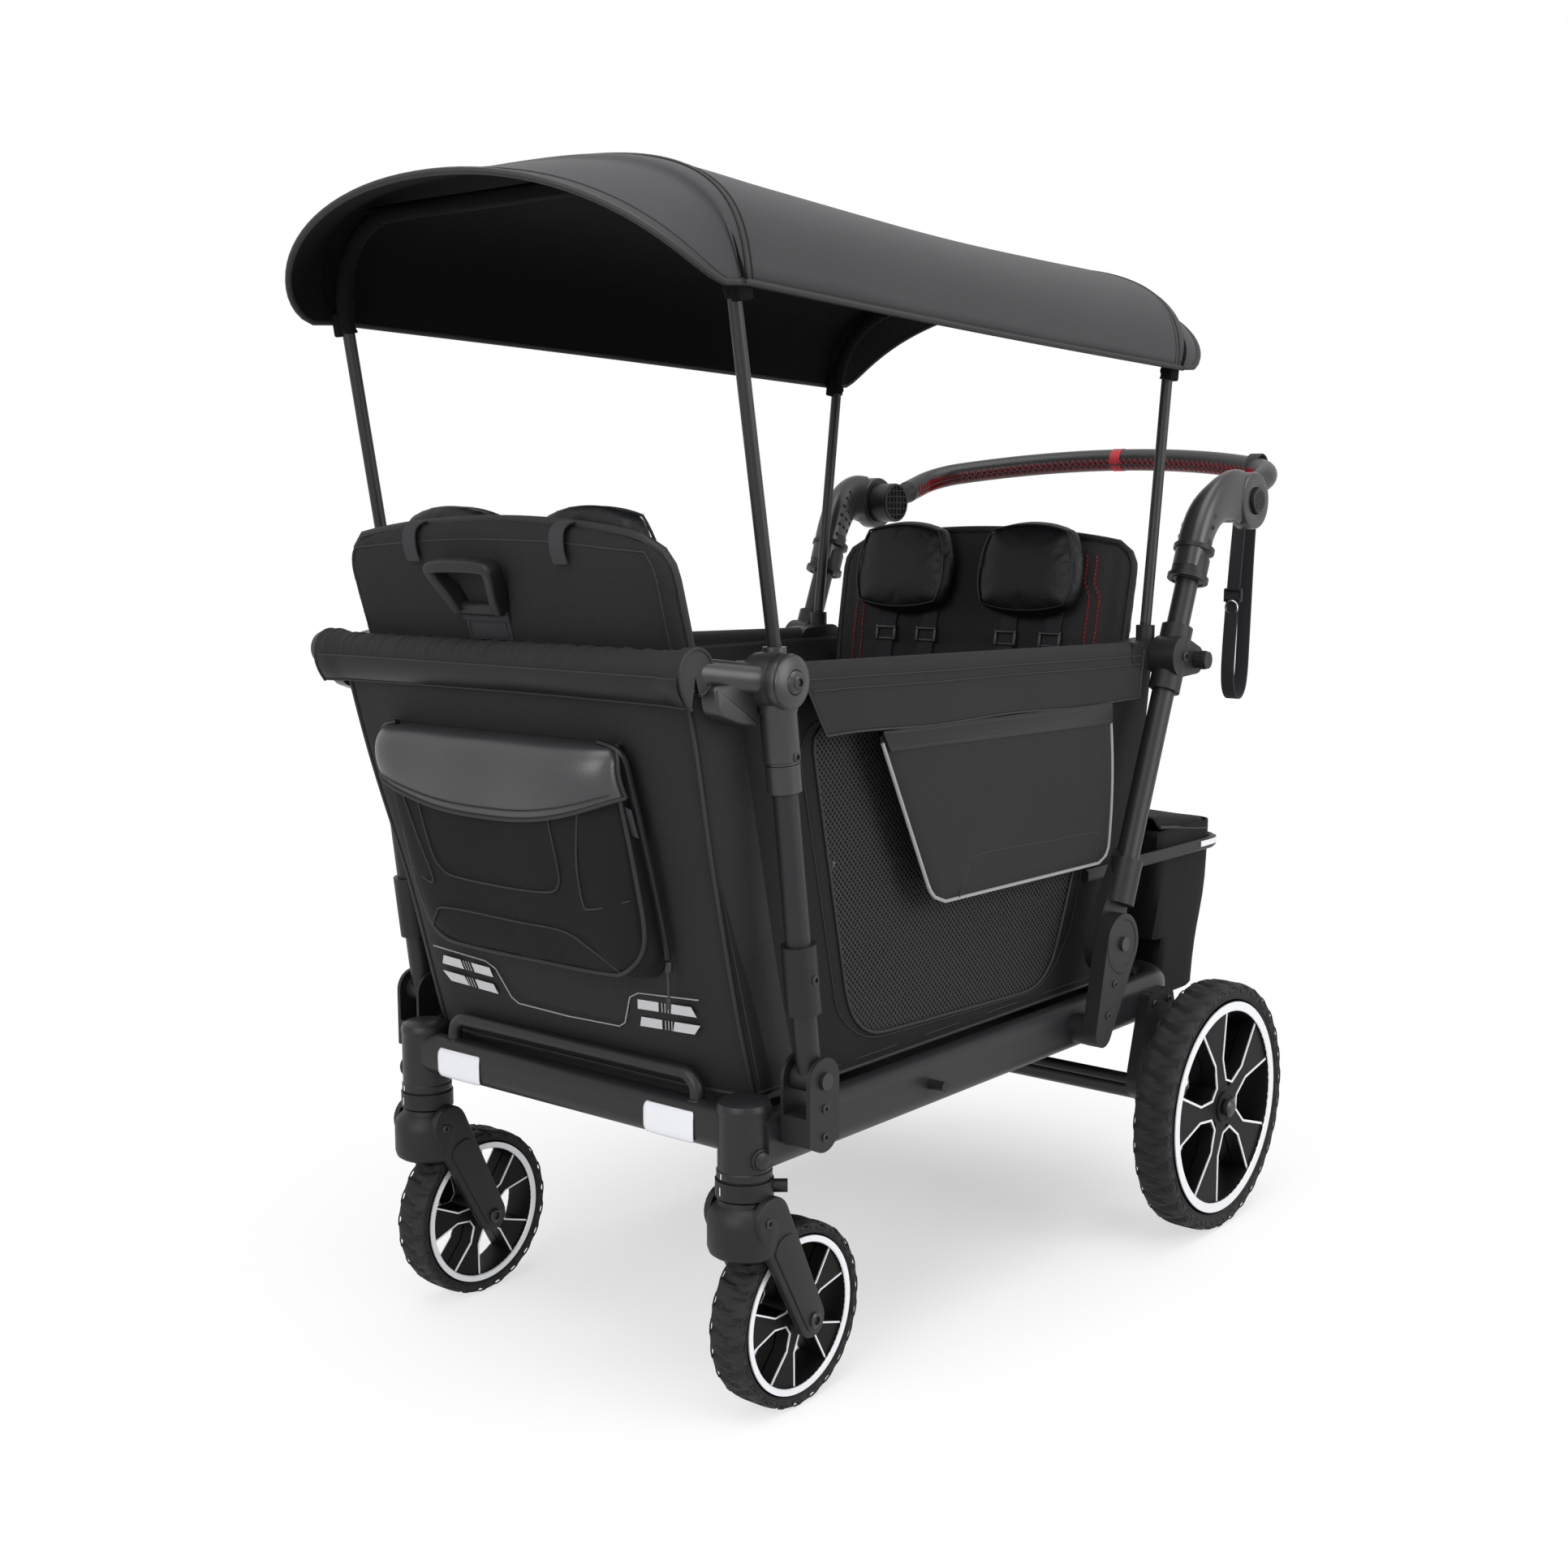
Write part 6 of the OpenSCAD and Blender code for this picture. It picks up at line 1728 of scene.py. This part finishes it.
@dataclass
class PushHandle:
    """The wrapped push handle with its stitched seam, centre band, end plugs, elbows and hub trim."""

    y: float = 456.0
    z: float = 959.0
    x: float = 286.0
    reach: float = 212.0
    rise: float = 17.5
    bend: float = 65.0
    bow: float = 554.0
    radius: float = 16.5
    SPINE = ((318, 872, 20.0, 279.5, 318.5), (327, 895, 20.5, 279.5, 319), (340, 922, 22.5, 280.5, 320.5),
             (357, 944, 26, 285, 322), (382, 960, 30, 296, 322.4), (408, 966, 33.5, 301.2, 322.4),
             (430, 964, 35.5, 301.2, 322.4))

    def in_space(self, x: float, y: float, z: float) -> Vector:
        """A point of the handle's own plane in the wagon's frame."""
        a = radians(self.rise)
        return at(x, self.y + y * cos(a) - z * sin(a), self.z + y * sin(a) + z * cos(a))

    def line(self, start: float) -> list[Pair]:
        """The handle's flat middle line from its left arm to its right."""
        centre = self.reach - self.bow
        bend_x = self.x - self.bend
        bend_y = centre + sqrt((self.bow - self.bend) ** 2 - bend_x ** 2)
        half = atan2(bend_x, bend_y - centre)
        arm = [(self.x, start), (self.x, (start + bend_y) / 2)]
        arm += [(bend_x + self.bend * cos(a), bend_y + self.bend * sin(a))
                for a in ((pi / 2 - half) * k / 12 for k in range(13))]
        middle = [(self.bow * sin(half * (1 - k / 12)), centre + self.bow * cos(half * (1 - k / 12)))
                  for k in range(1, 24)]
        return arm + middle + [(-a, b) for a, b in reversed(arm)]

    def wrap(self) -> None:
        """Makes the leather wrap, the red centre band and the plugs at its ends."""
        maker = Maker()
        path = flowing([self.in_space(a, b, 0) for a, b in self.line(54)], 200)
        maker.tube(path, self.radius - 0.3, 20)
        maker.use(1)
        centre = [self.in_space(self.bow * sin(a), self.reach - self.bow + self.bow * cos(a), 0)
                  for a in (0.031 * (k / 6 - 0.5) for k in range(7))]
        maker.tube(centre, self.radius + 0.3, 28)
        for way in WAYS:
            axis = (self.in_space(0, 1, 0) - self.in_space(0, 0, 0)).normalized()
            start = self.in_space(way * self.x, 24, 0)
            maker.use(2).lathe([(13.5, 0), (15.4, 1.5), (15.4, 28), (16.4, 29), (16.4, 33), (13, 34)], start, axis, 32)
            maker.use(3)
            for along in (33, 44):
                spot = self.in_space(way * (self.x + 14.8), along, 0)
                maker.lathe([(2.6, 0), (2.4, 1.2), (0, 1.6)], spot, at(way, 0, 0), 12)
        maker.piece("grip_wrap", "handle", HIDE, RED_THREAD, PLASTIC, DARK_STEEL, sharp=50,
                    stands_for=["handle_grip"])

    def seam(self) -> None:
        """Makes the red cross stitches along the inner side of the wrap."""
        maker = Maker()
        path = flowing([self.in_space(a, b, 0) for a, b in self.line(64)], 230)
        up = self.in_space(0, 0, 1) - self.in_space(0, 0, 0)
        rows: list[list[Vector]] = [[], []]
        spine: list[Vector] = []
        for k in range(1, len(path) - 1):
            run = (path[k + 1] - path[k - 1]).normalized()
            inward = up.cross(run)
            for row in (0, 1):
                turn = radians((-30, 0, 0, 30)[2 * row + k % 2] - 8)
                rows[row].append(path[k] + (inward * cos(turn) + up * sin(turn)) * (self.radius + 0.35))
            turn = radians(-8)
            spine.append(path[k] + (inward * cos(turn) + up * sin(turn)) * (self.radius + 0.05))
        for row in rows:
            maker.tube(row, 0.85, 4)
        maker.use(1).tube(spine, 1.2, 6)
        maker.piece("grip_stitches", "handle", RED_THREAD, BLACK_THREAD)

    def elbows(self) -> None:
        """Makes the bent, rounded elbows between the uprights and the hubs, with the slots on their inner sides."""
        maker, ring = Maker(), 36
        rows = flowing([Vector(row) for row in self.SPINE], 25)
        total = len(rows)
        for way in WAYS:
            def place(u: float, v: float, way: int = way) -> Vector:
                """The elbow's skin, closed at both ends."""
                j = round(v * (total + 1))
                i = min(max(j - 1, 0), total - 1)
                row = rows[i]
                run = rows[min(i + 1, total - 1)] - rows[max(i - 1, 0)]
                run = Vector((run[0], run[1])).normalized()
                angle = 2 * pi * (round(u * ring) % ring) / ring
                c, s = cos(angle), sin(angle)
                up, out = squarer(c, 0.75), squarer(s, 0.75)
                if j in (0, total + 1):
                    up = out = 0.0
                middle, wide = (row[3] + row[4]) / 2, (row[4] - row[3]) / 2
                return at(way * (middle + out * wide), row[0] - run.y * up * row[2], row[1] + run.x * up * row[2])

            maker.use(0).sheet(place, ring, total + 1, True)
            maker.lathe([(18.6, 301.2), (36.8, 301.2), (37.8, 303), (37.8, 319.5), (36.4, 322.3), (18.6, 322.4),
                         (18.6, 301.2)], at(0, self.y, self.z), at(way, 0, 0), 48)
            maker.use(1)
            for k in range(4, 17, 2):
                row = rows[k]
                tilt = atan2(rows[k + 1][1] - rows[k - 1][1], rows[k + 1][0] - rows[k - 1][0])
                side = Vector((-sin(tilt), cos(tilt)))
                for share in (-0.42, 0.0, 0.42):
                    spot = at(way * (row[3] + 0.5 + 1.8 * abs(share)), row[0] + side.x * share * row[2],
                              row[1] + side.y * share * row[2])
                    maker.block(spot, (1.6, 5.5, 0.3 * row[2]), Matrix.Rotation(tilt, 3, "X"), 0.6, 1)
        maker.piece("elbow_shells", "handle_frame", LIT_GLOSS, SATIN, sharp=35, stands_for=["handle_elbows"])

    def hubs(self) -> None:
        """Makes the ribbed buttons' faces, the hubs' cover rings and the ribs on their inner sides."""
        for way, side in SIDES:
            button = Maker()
            axis = at(way, 0, 0)
            spot = at(way * 327.5, self.y, self.z)
            button.lathe([(16.6, -1), (16.6, 0.6), (15, 1.4), (13.4, 0.9), (0, 1.2)], spot, axis, 40)
            for k in range(-3, 4):
                reach = sqrt(12.2 ** 2 - (3.4 * k) ** 2)
                for cell in range(int(reach // 1.9)):
                    z = -reach + 1.9 + 3.8 * cell
                    if z < reach:
                        button.block(spot + at(way * 1.1, 3.4 * k, z), (1.2, 2.0, 2.0), None, 0.4, 1)
            button.piece(f"button_face_{side}", f"handle_button_{side}_body", PLASTIC)
            ring = Maker()
            edge = at(way * 322.5, self.y, self.z)
            ring.lathe([(37.2, -4), (37.7, -1), (36.4, 1.2), (31, 2.0), (22, 2.0), (18.4, 1.2), (18.2, -2)], edge,
                       axis, 48)
            ring.piece(f"hub_ring_{side}", "handle_frame", LIT_GLOSS)
            ribs = Maker()
            face = at(way * 269.5, self.y, self.z)
            ribs.lathe([(28.4, 2), (28.4, -1.2), (25.4, -1.2), (25.0, 2)], face, axis, 48)
            for k in range(-2, 3):
                reach = sqrt(25.5 ** 2 - (9 * k) ** 2)
                ribs.block(face + at(-way * 0.2, 9 * k, 0), (2.4, 1.6, 2 * reach), None, 0.4, 1)
                ribs.block(face + at(-way * 0.2, 0, 9 * k), (2.4, 2 * reach, 1.6), None, 0.4, 1)
            ribs.piece(f"hub_ribs_{side}", "handle", PLASTIC)

    def build(self) -> None:
        """Makes the whole handle."""
        self.wrap()
        self.seam()
        self.elbows()
        self.hubs()


@dataclass
class WristStrap:
    """The webbing strap that hangs in a loop from the left end of the grip."""

    x: float = 250.0
    width: float = 20.0
    thick: float = 2.6
    route: tuple[Pair, ...] = (
        (575, 990), (584, 984), (590, 970), (591, 950), (589, 920), (586, 880), (584, 840), (582, 800), (580, 760),
        (578, 725), (573, 700), (562, 686), (548, 686), (538, 700), (535, 725), (537, 760), (541, 800), (546, 840),
        (551, 880), (556, 915), (560, 945), (563, 966))

    def build(self) -> None:
        path = flowing([at(self.x, y, z) for y, z in self.route], 106)
        maker = Maker()
        maker.strap(path, at(1, 0, 0), self.width, self.thick)
        strap = maker.piece("wrist_webbing", "handle", WEBBING, stands_for=["wrist_strap"])
        clip = Maker()
        for y, z in ((545.5, 836), (544, 822)):
            clip.block(at(self.x, y, z), (26, 6, 5), None, 1.4)
        for way in WAYS:
            clip.block(at(self.x + way * 12, 544.8, 829), (3, 5, 18), None, 1.2)
        clip.use(1).tube([at(self.x + a, 541, 812 + b) for a, b in circle(9, 24)], 1.5, 6, True)
        made = clip.piece("strap_clip", "handle", PLASTIC, STEEL)
        collar = Maker()
        collar.strap(self.loop(), at(1, 0, 0), 18, 2.2, True)
        collar.piece("strap_loop", "handle", WEBBING)
        metres = [p * MM for p in path]
        length = sum((b - a).length for a, b in zip(metres, metres[1:]))

    def loop(self) -> list[Vector]:
        """The small loop round the grip's end that carries the strap."""
        handle = PushHandle()
        near = min((p for p in handle.line(54) if p[0] > 0), key=lambda p: abs(p[0] - self.x))
        middle = handle.in_space(self.x, near[1] + 5, 0)
        return [middle + at(0, a, b) for a, b in circle(19, 24)]


@dataclass
class FrameTrim:
    """Small hard pieces on the frame: reflectors, hub covers, bolts, brackets and marks."""

    beam_y: float = -516.0
    beam_z: float = 316.0
    upright_x: float = 299.0
    plate_x: float = 318.9
    hinge: Pair = (135.0, 410.0)
    clamp: Pair = (276.0, 761.0)
    collar_z: float = 856.0
    rear_lean: float = 22.0

    def reflectors(self) -> None:
        """Makes the two pale patches wrapped on the front beam."""
        maker = Maker()
        for way in WAYS:
            def place(u: float, v: float, way: int = way) -> Vector:
                """The patch at (u, v), rounded at its corners."""
                a, b = 2 * u - 1, 2 * v - 1
                trim = 1 - 0.06 * abs(b) ** 6
                up = 17 * b * (1 - 0.05 * abs(a) ** 6)
                bulge = sqrt(max(0.0, 17.6 ** 2 - max(0.0, abs(up) - 7) ** 2))
                return at(way * 163 + 35 * a * trim, self.beam_y - bulge, self.beam_z - 3 + up)

            maker.sheet(place, 24, 14, facing=at(0, -1, 0))
        made = maker.piece("beam_reflectors", "chassis", REFLECTOR)
        thicken(made, 0.8, 1.0)

    def welds(self) -> None:
        """Makes the beads where the grab bar and the beam meet."""
        maker = Maker()
        for way in WAYS:
            ring = [at(way * 188 + a, self.beam_y + b, 338 - abs(b) / 15) for a, b in circle(9, 24)]
            maker.tube(ring, 1.6, 6, True)
        maker.piece("grab_welds", "chassis", POWDER)

    def corner_covers(self) -> None:
        """Makes the front corner hubs' domed covers, collars, clip plates and bolts."""
        maker = Maker()
        for way in WAYS:
            axis, hub = at(way, 0, 0), at(way * 319.5, -522, 780)
            maker.use(0)
            maker.lathe([(27.4, -10), (27.8, -4), (25.5, 1.5), (21, 4), (13, 5), (12, 4.2), (11.4, 6), (9, 8),
                         (0, 8.6)], hub, axis, 48)
            maker.lathe([(22, -44), (27.6, -40), (28.2, -30), (27.6, -12)], hub, axis, 48)
            lean = at(0, -0.1309, 0.9914)
            foot = at(way * self.upright_x, -515.5, 730)
            maker.lathe([(16.2, -30), (18.6, -28), (18.6, 18), (20, 22), (20, 30), (16, 34)], foot, lean, 40)
            maker.lathe([(14.5, -62), (17.6, -60), (17.6, -32)], foot, lean, 40)
            clip = rounded([(-601, 779), (-597, 752), (-560, 739), (-537, 736), (-538, 768), (-560, 782)],
                           (5, 9, 9, 5, 6, 6), 4)
            maker.plate([at(way * 271, y, z) for y, z in clip], at(way * 20, 0, 0), 4)
            maker.use(1).bolt(hub + at(way * 6, 0, 0), axis, 7.5, 4.5)
            maker.bolt(at(way * 316.6, -512.4, 706), axis, 5, 2.6)
            maker.bolt(at(way * 316.4, -482, 478), axis, 5, 2.6)
        maker.piece("corner_covers", "front_frame", LIT_GLOSS, DARK_STEEL, sharp=32)

    def hinge_covers(self) -> None:
        """Makes the raised rims and bolts of the rear hinges and the front pivots."""
        maker = Maker()
        for way in WAYS:
            axis = at(way, 0, 0)
            maker.use(0)
            maker.lathe([(38, -3), (38.3, -0.5), (36.5, 1.0), (31, 1.2), (30, 0.2), (14, 0.2)],
                        at(way * self.plate_x, *self.hinge), axis, 48)
            maker.use(1)
            for y, z in ((115.6, 362), (100.7, 325), (-468, 342), (-468, 312)):
                maker.bolt(at(way * self.plate_x, y, z), axis, 4.6, 2.4)
            for y, z in ((262, 305), (300, 305), (285, 255)):
                maker.bolt(at(way * 296, y, z), axis, 5, 2.6)
            maker.lathe([(0, 0), (12, 0), (12, 5), (8, 8), (0, 8.4)], at(way * 374, 325, 165), axis, 24)
        maker.piece("hinge_covers", "chassis", PLASTIC, DARK_STEEL, sharp=32)

    def clamps(self) -> None:
        """Makes the bolts of the rear clamps and of the handle's elbows."""
        maker = Maker()
        for way in WAYS:
            axis = at(way, 0, 0)
            maker.bolt(at(way * self.plate_x, *self.clamp), axis, 6, 3)
            maker.lathe([(11.5, -16), (12.3, -15), (12.3, -12), (11.3, -11)], at(way * 322, *self.clamp), axis, 6)
            for along in (0, 14):
                maker.bolt(at(way * 319.8, 340 + 0.404 * along, 924 + along), axis, 3.6, 2)
        maker.piece("clamp_bolts", "handle_frame", DARK_STEEL, sharp=32)

    def knobs(self) -> None:
        """Makes the ridged grips of the two clamp knobs."""
        for way, side in SIDES:
            maker = Maker()
            spot = at(way * 324, 309.3, 755)
            for a, b in circle(11.1, 14):
                maker.tube([spot + at(way * x, a, b) for x in (0, 4, 8)], 1.1, 6)
            maker.piece(f"knob_ridges_{side}", f"clamp_knob_{side}_body", PLASTIC)

    def collars(self) -> None:
        """Makes the flared finger rims of the two fold collars."""
        lean = radians(self.rear_lean)
        axis = at(0, sin(lean), cos(lean))
        for way, side in SIDES:
            maker = Maker()
            y, z = self.hinge
            foot = at(way * self.upright_x, y + (self.collar_z - z) * tan(lean), self.collar_z)
            maker.lathe([(20.3, -1), (22, 2), (23.2, 8), (23.2, 30), (21.6, 34), (21.6, 38), (25.5, 41), (26, 43.5),
                         (24, 45), (21.4, 46), (21.4, 56), (20.4, 58)], foot, axis, 44)
            maker.piece(f"collar_flare_{side}", f"fold_collar_{side}_body", PLASTIC)

    def build(self) -> None:
        """Makes all the trim."""
        self.reflectors()
        self.welds()
        self.corner_covers()
        self.hinge_covers()
        self.clamps()
        self.knobs()
        self.collars()


@dataclass
class Stage:
    """Camera, lights, floor and background."""

    eye: tuple[float, float, float] = (1.5081, -1.9885, 0.9392)
    yaw: float = 39.2614
    pitch: float = -7.789
    lens: float = 45.015

    def camera(self) -> None:
        """Makes the camera at the photograph's viewing angle."""
        data = bpy.data.cameras.new("view")
        data.lens, data.sensor_width, data.sensor_fit = self.lens, 36.0, "HORIZONTAL"
        made = bpy.data.objects.new("view", data)
        made.location = self.eye
        made.rotation_euler = (radians(90 + self.pitch), 0, radians(self.yaw))
        bpy.context.scene.collection.objects.link(made)
        bpy.context.scene.camera = made

    def lamp(self, name: str, spot: tuple[float, float, float], aim: tuple[float, float, float], size: float,
             power: float) -> None:
        """Makes one soft lamp.

        Args:
            name: its name.
            spot: where it hangs.
            aim: what it points at.
            size: its side, in metres.
            power: watts.
        """
        data = bpy.data.lights.new(name, "AREA")
        data.shape, data.size, data.energy = "SQUARE", size, power
        made = bpy.data.objects.new(name, data)
        made.location = spot
        made.rotation_euler = (Vector(aim) - Vector(spot)).to_track_quat("-Z", "Y").to_euler()
        bpy.context.scene.collection.objects.link(made)

    def floor(self) -> None:
        """Makes the pale floor, which turns to the background's white away from the wagon."""
        mesh = bpy.data.meshes.new("floor")
        shape = bmesh.new()
        bmesh.ops.create_grid(shape, x_segments=1, y_segments=1, size=60.0)
        shape.to_mesh(mesh)
        shape.free()
        made = bpy.data.objects.new("floor", mesh)
        bpy.context.scene.collection.objects.link(made)
        material = bpy.data.materials.new("pale_floor")
        material.use_nodes = True
        graph = Graph(material.node_tree)
        spot = graph.node("TexCoord", {}, {}, "Object")
        far = graph.node("VectorMath", {"operation": "LENGTH"}, {0: spot}, "Value")
        share = graph.node("MapRange", {"interpolation_type": "SMOOTHSTEP"},
                           {"Value": far, "From Min": 0.2, "From Max": 1.0, "To Min": 0.5, "To Max": 1.0})
        seen = self.seen(graph)
        paint = graph.node("BsdfDiffuse", {}, {"Color": (0.93, 0.93, 0.93, 1)})
        glow = graph.node("Emission", {}, {"Color": (1, 1, 1, 1), "Strength": 1.0})
        surface = graph.node("MixShader", {}, {0: share * seen, 1: paint, 2: glow})
        graph.node("OutputMaterial", {}, {"Surface": surface})
        mesh.materials.append(material)

    @staticmethod
    def seen(graph: Graph) -> Sock:
        """One on rays that show the background, directly or mirrored."""
        path = graph.node("LightPath", {}, {}, "Is Camera Ray").socket.node
        rays = [Sock(graph, path.outputs[k]) for k in ("Is Camera Ray", "Is Glossy Ray", "Is Transmission Ray")]
        total = rays[0] + rays[1] + rays[2]
        return total > 0.5

    def world(self) -> None:
        """Makes the white background and the soft light all round."""
        world = bpy.data.worlds.new("studio")
        bpy.context.scene.world = world
        world.use_nodes = True
        graph = Graph(world.node_tree)
        seen = self.seen(graph)
        sky = graph.node("Background", {}, {"Color": (1, 1, 1, 1), "Strength": seen * 0.56 + 0.44})
        graph.node("OutputWorld", {}, {"Surface": sky})

    def build(self) -> None:
        """Makes the whole stage."""
        self.camera()
        self.world()
        self.floor()
        self.lamp("top_light", (0.3, -0.6, 3.4), (0, 0, 0.6), 3.0, 88)
        self.lamp("front_light", (0.6, -3.8, 1.9), (0, 0, 0.6), 2.4, 66)
        self.lamp("side_light", (3.6, 0.6, 1.7), (0, 0, 0.6), 2.4, 74)
        bpy.context.scene.view_settings.view_transform = "Standard"


NODE_FINISHES: dict[Finish, tuple[str, ...]] = {
    POWDER: ("base_rails", "front_crossbeam", "rear_crossbeam", "caster_posts", "grab_bar", "axle_brackets",
             "rear_uprights", "handlebar", "front_uprights", "side_rails", "canopy_hoops"),
    PLASTIC: ("pivot_brackets", "hinge_bases", "side_pegs", "hinge_knuckles", "rail_clamps", "handle_button_left",
              "handle_button_right", "fold_collar_left", "fold_collar_right", "clamp_knob_left", "clamp_knob_right",
              "upright_sleeves", "rail_brackets", "caster_lock_left", "caster_lock_right", "brake_pedal"),
    LIT_GLOSS: ("corner_hubs",),
    DARK_STEEL: ("pivot_pins", "rear_axle"),
    SEAT: ("floor_deck",),
}


def dress_solids(nodes: dict[str, bpy.types.Object]) -> None:
    """Gives each solid that stays its finish.

    Args:
        nodes: the frame's solids by name.
    """
    for finish, names in NODE_FINISHES.items():
        for name in names:
            mesh = nodes[name].data
            mesh.materials.clear()
            mesh.materials.append(finish.material())


def main() -> None:
    """Builds the wagon's looks in order."""
    logging.basicConfig(level=logging.INFO, format="%(name)s %(message)s")
    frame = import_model()
    Stage().build()
    WristStrap().build()
    dress_solids(frame["nodes"])
    tub = Tub()
    front = Seat("front", -478.0, 16.2, 1, 386.0, 8.0, length=485.0, flare=8.0, pad_x=104.0)
    # The rear seat's lighter cloth is painted light against the canopy's shade.
    rear = Seat("rear", 224.0, 10.0, -1, 358.0, 1.8, length=458.0, flare=6.0, pad_x=102.0, cloth=LIT_SEAT)
    parts: list[Any] = [Canopy(), tub, FrontBag(tub), front, rear, PullHandle(front), Basket(), PushHandle(),
                        FrameTrim()]
    for way, side in SIDES:
        parts += [SideFlap(way, side), Caster(way, side, way * 247.0),
                  Wheel("front", side, way * 247.0, -443.0, 100.0, 46.0, 86.0, 22),
                  Wheel("rear", side, way * 348.0, 325.0, 165.0, 52.0, 141.0, 30)]
    for part in parts:
        part.build()
        LOG.info("%s done", type(part).__name__)


if __name__ == "__main__":
    main()
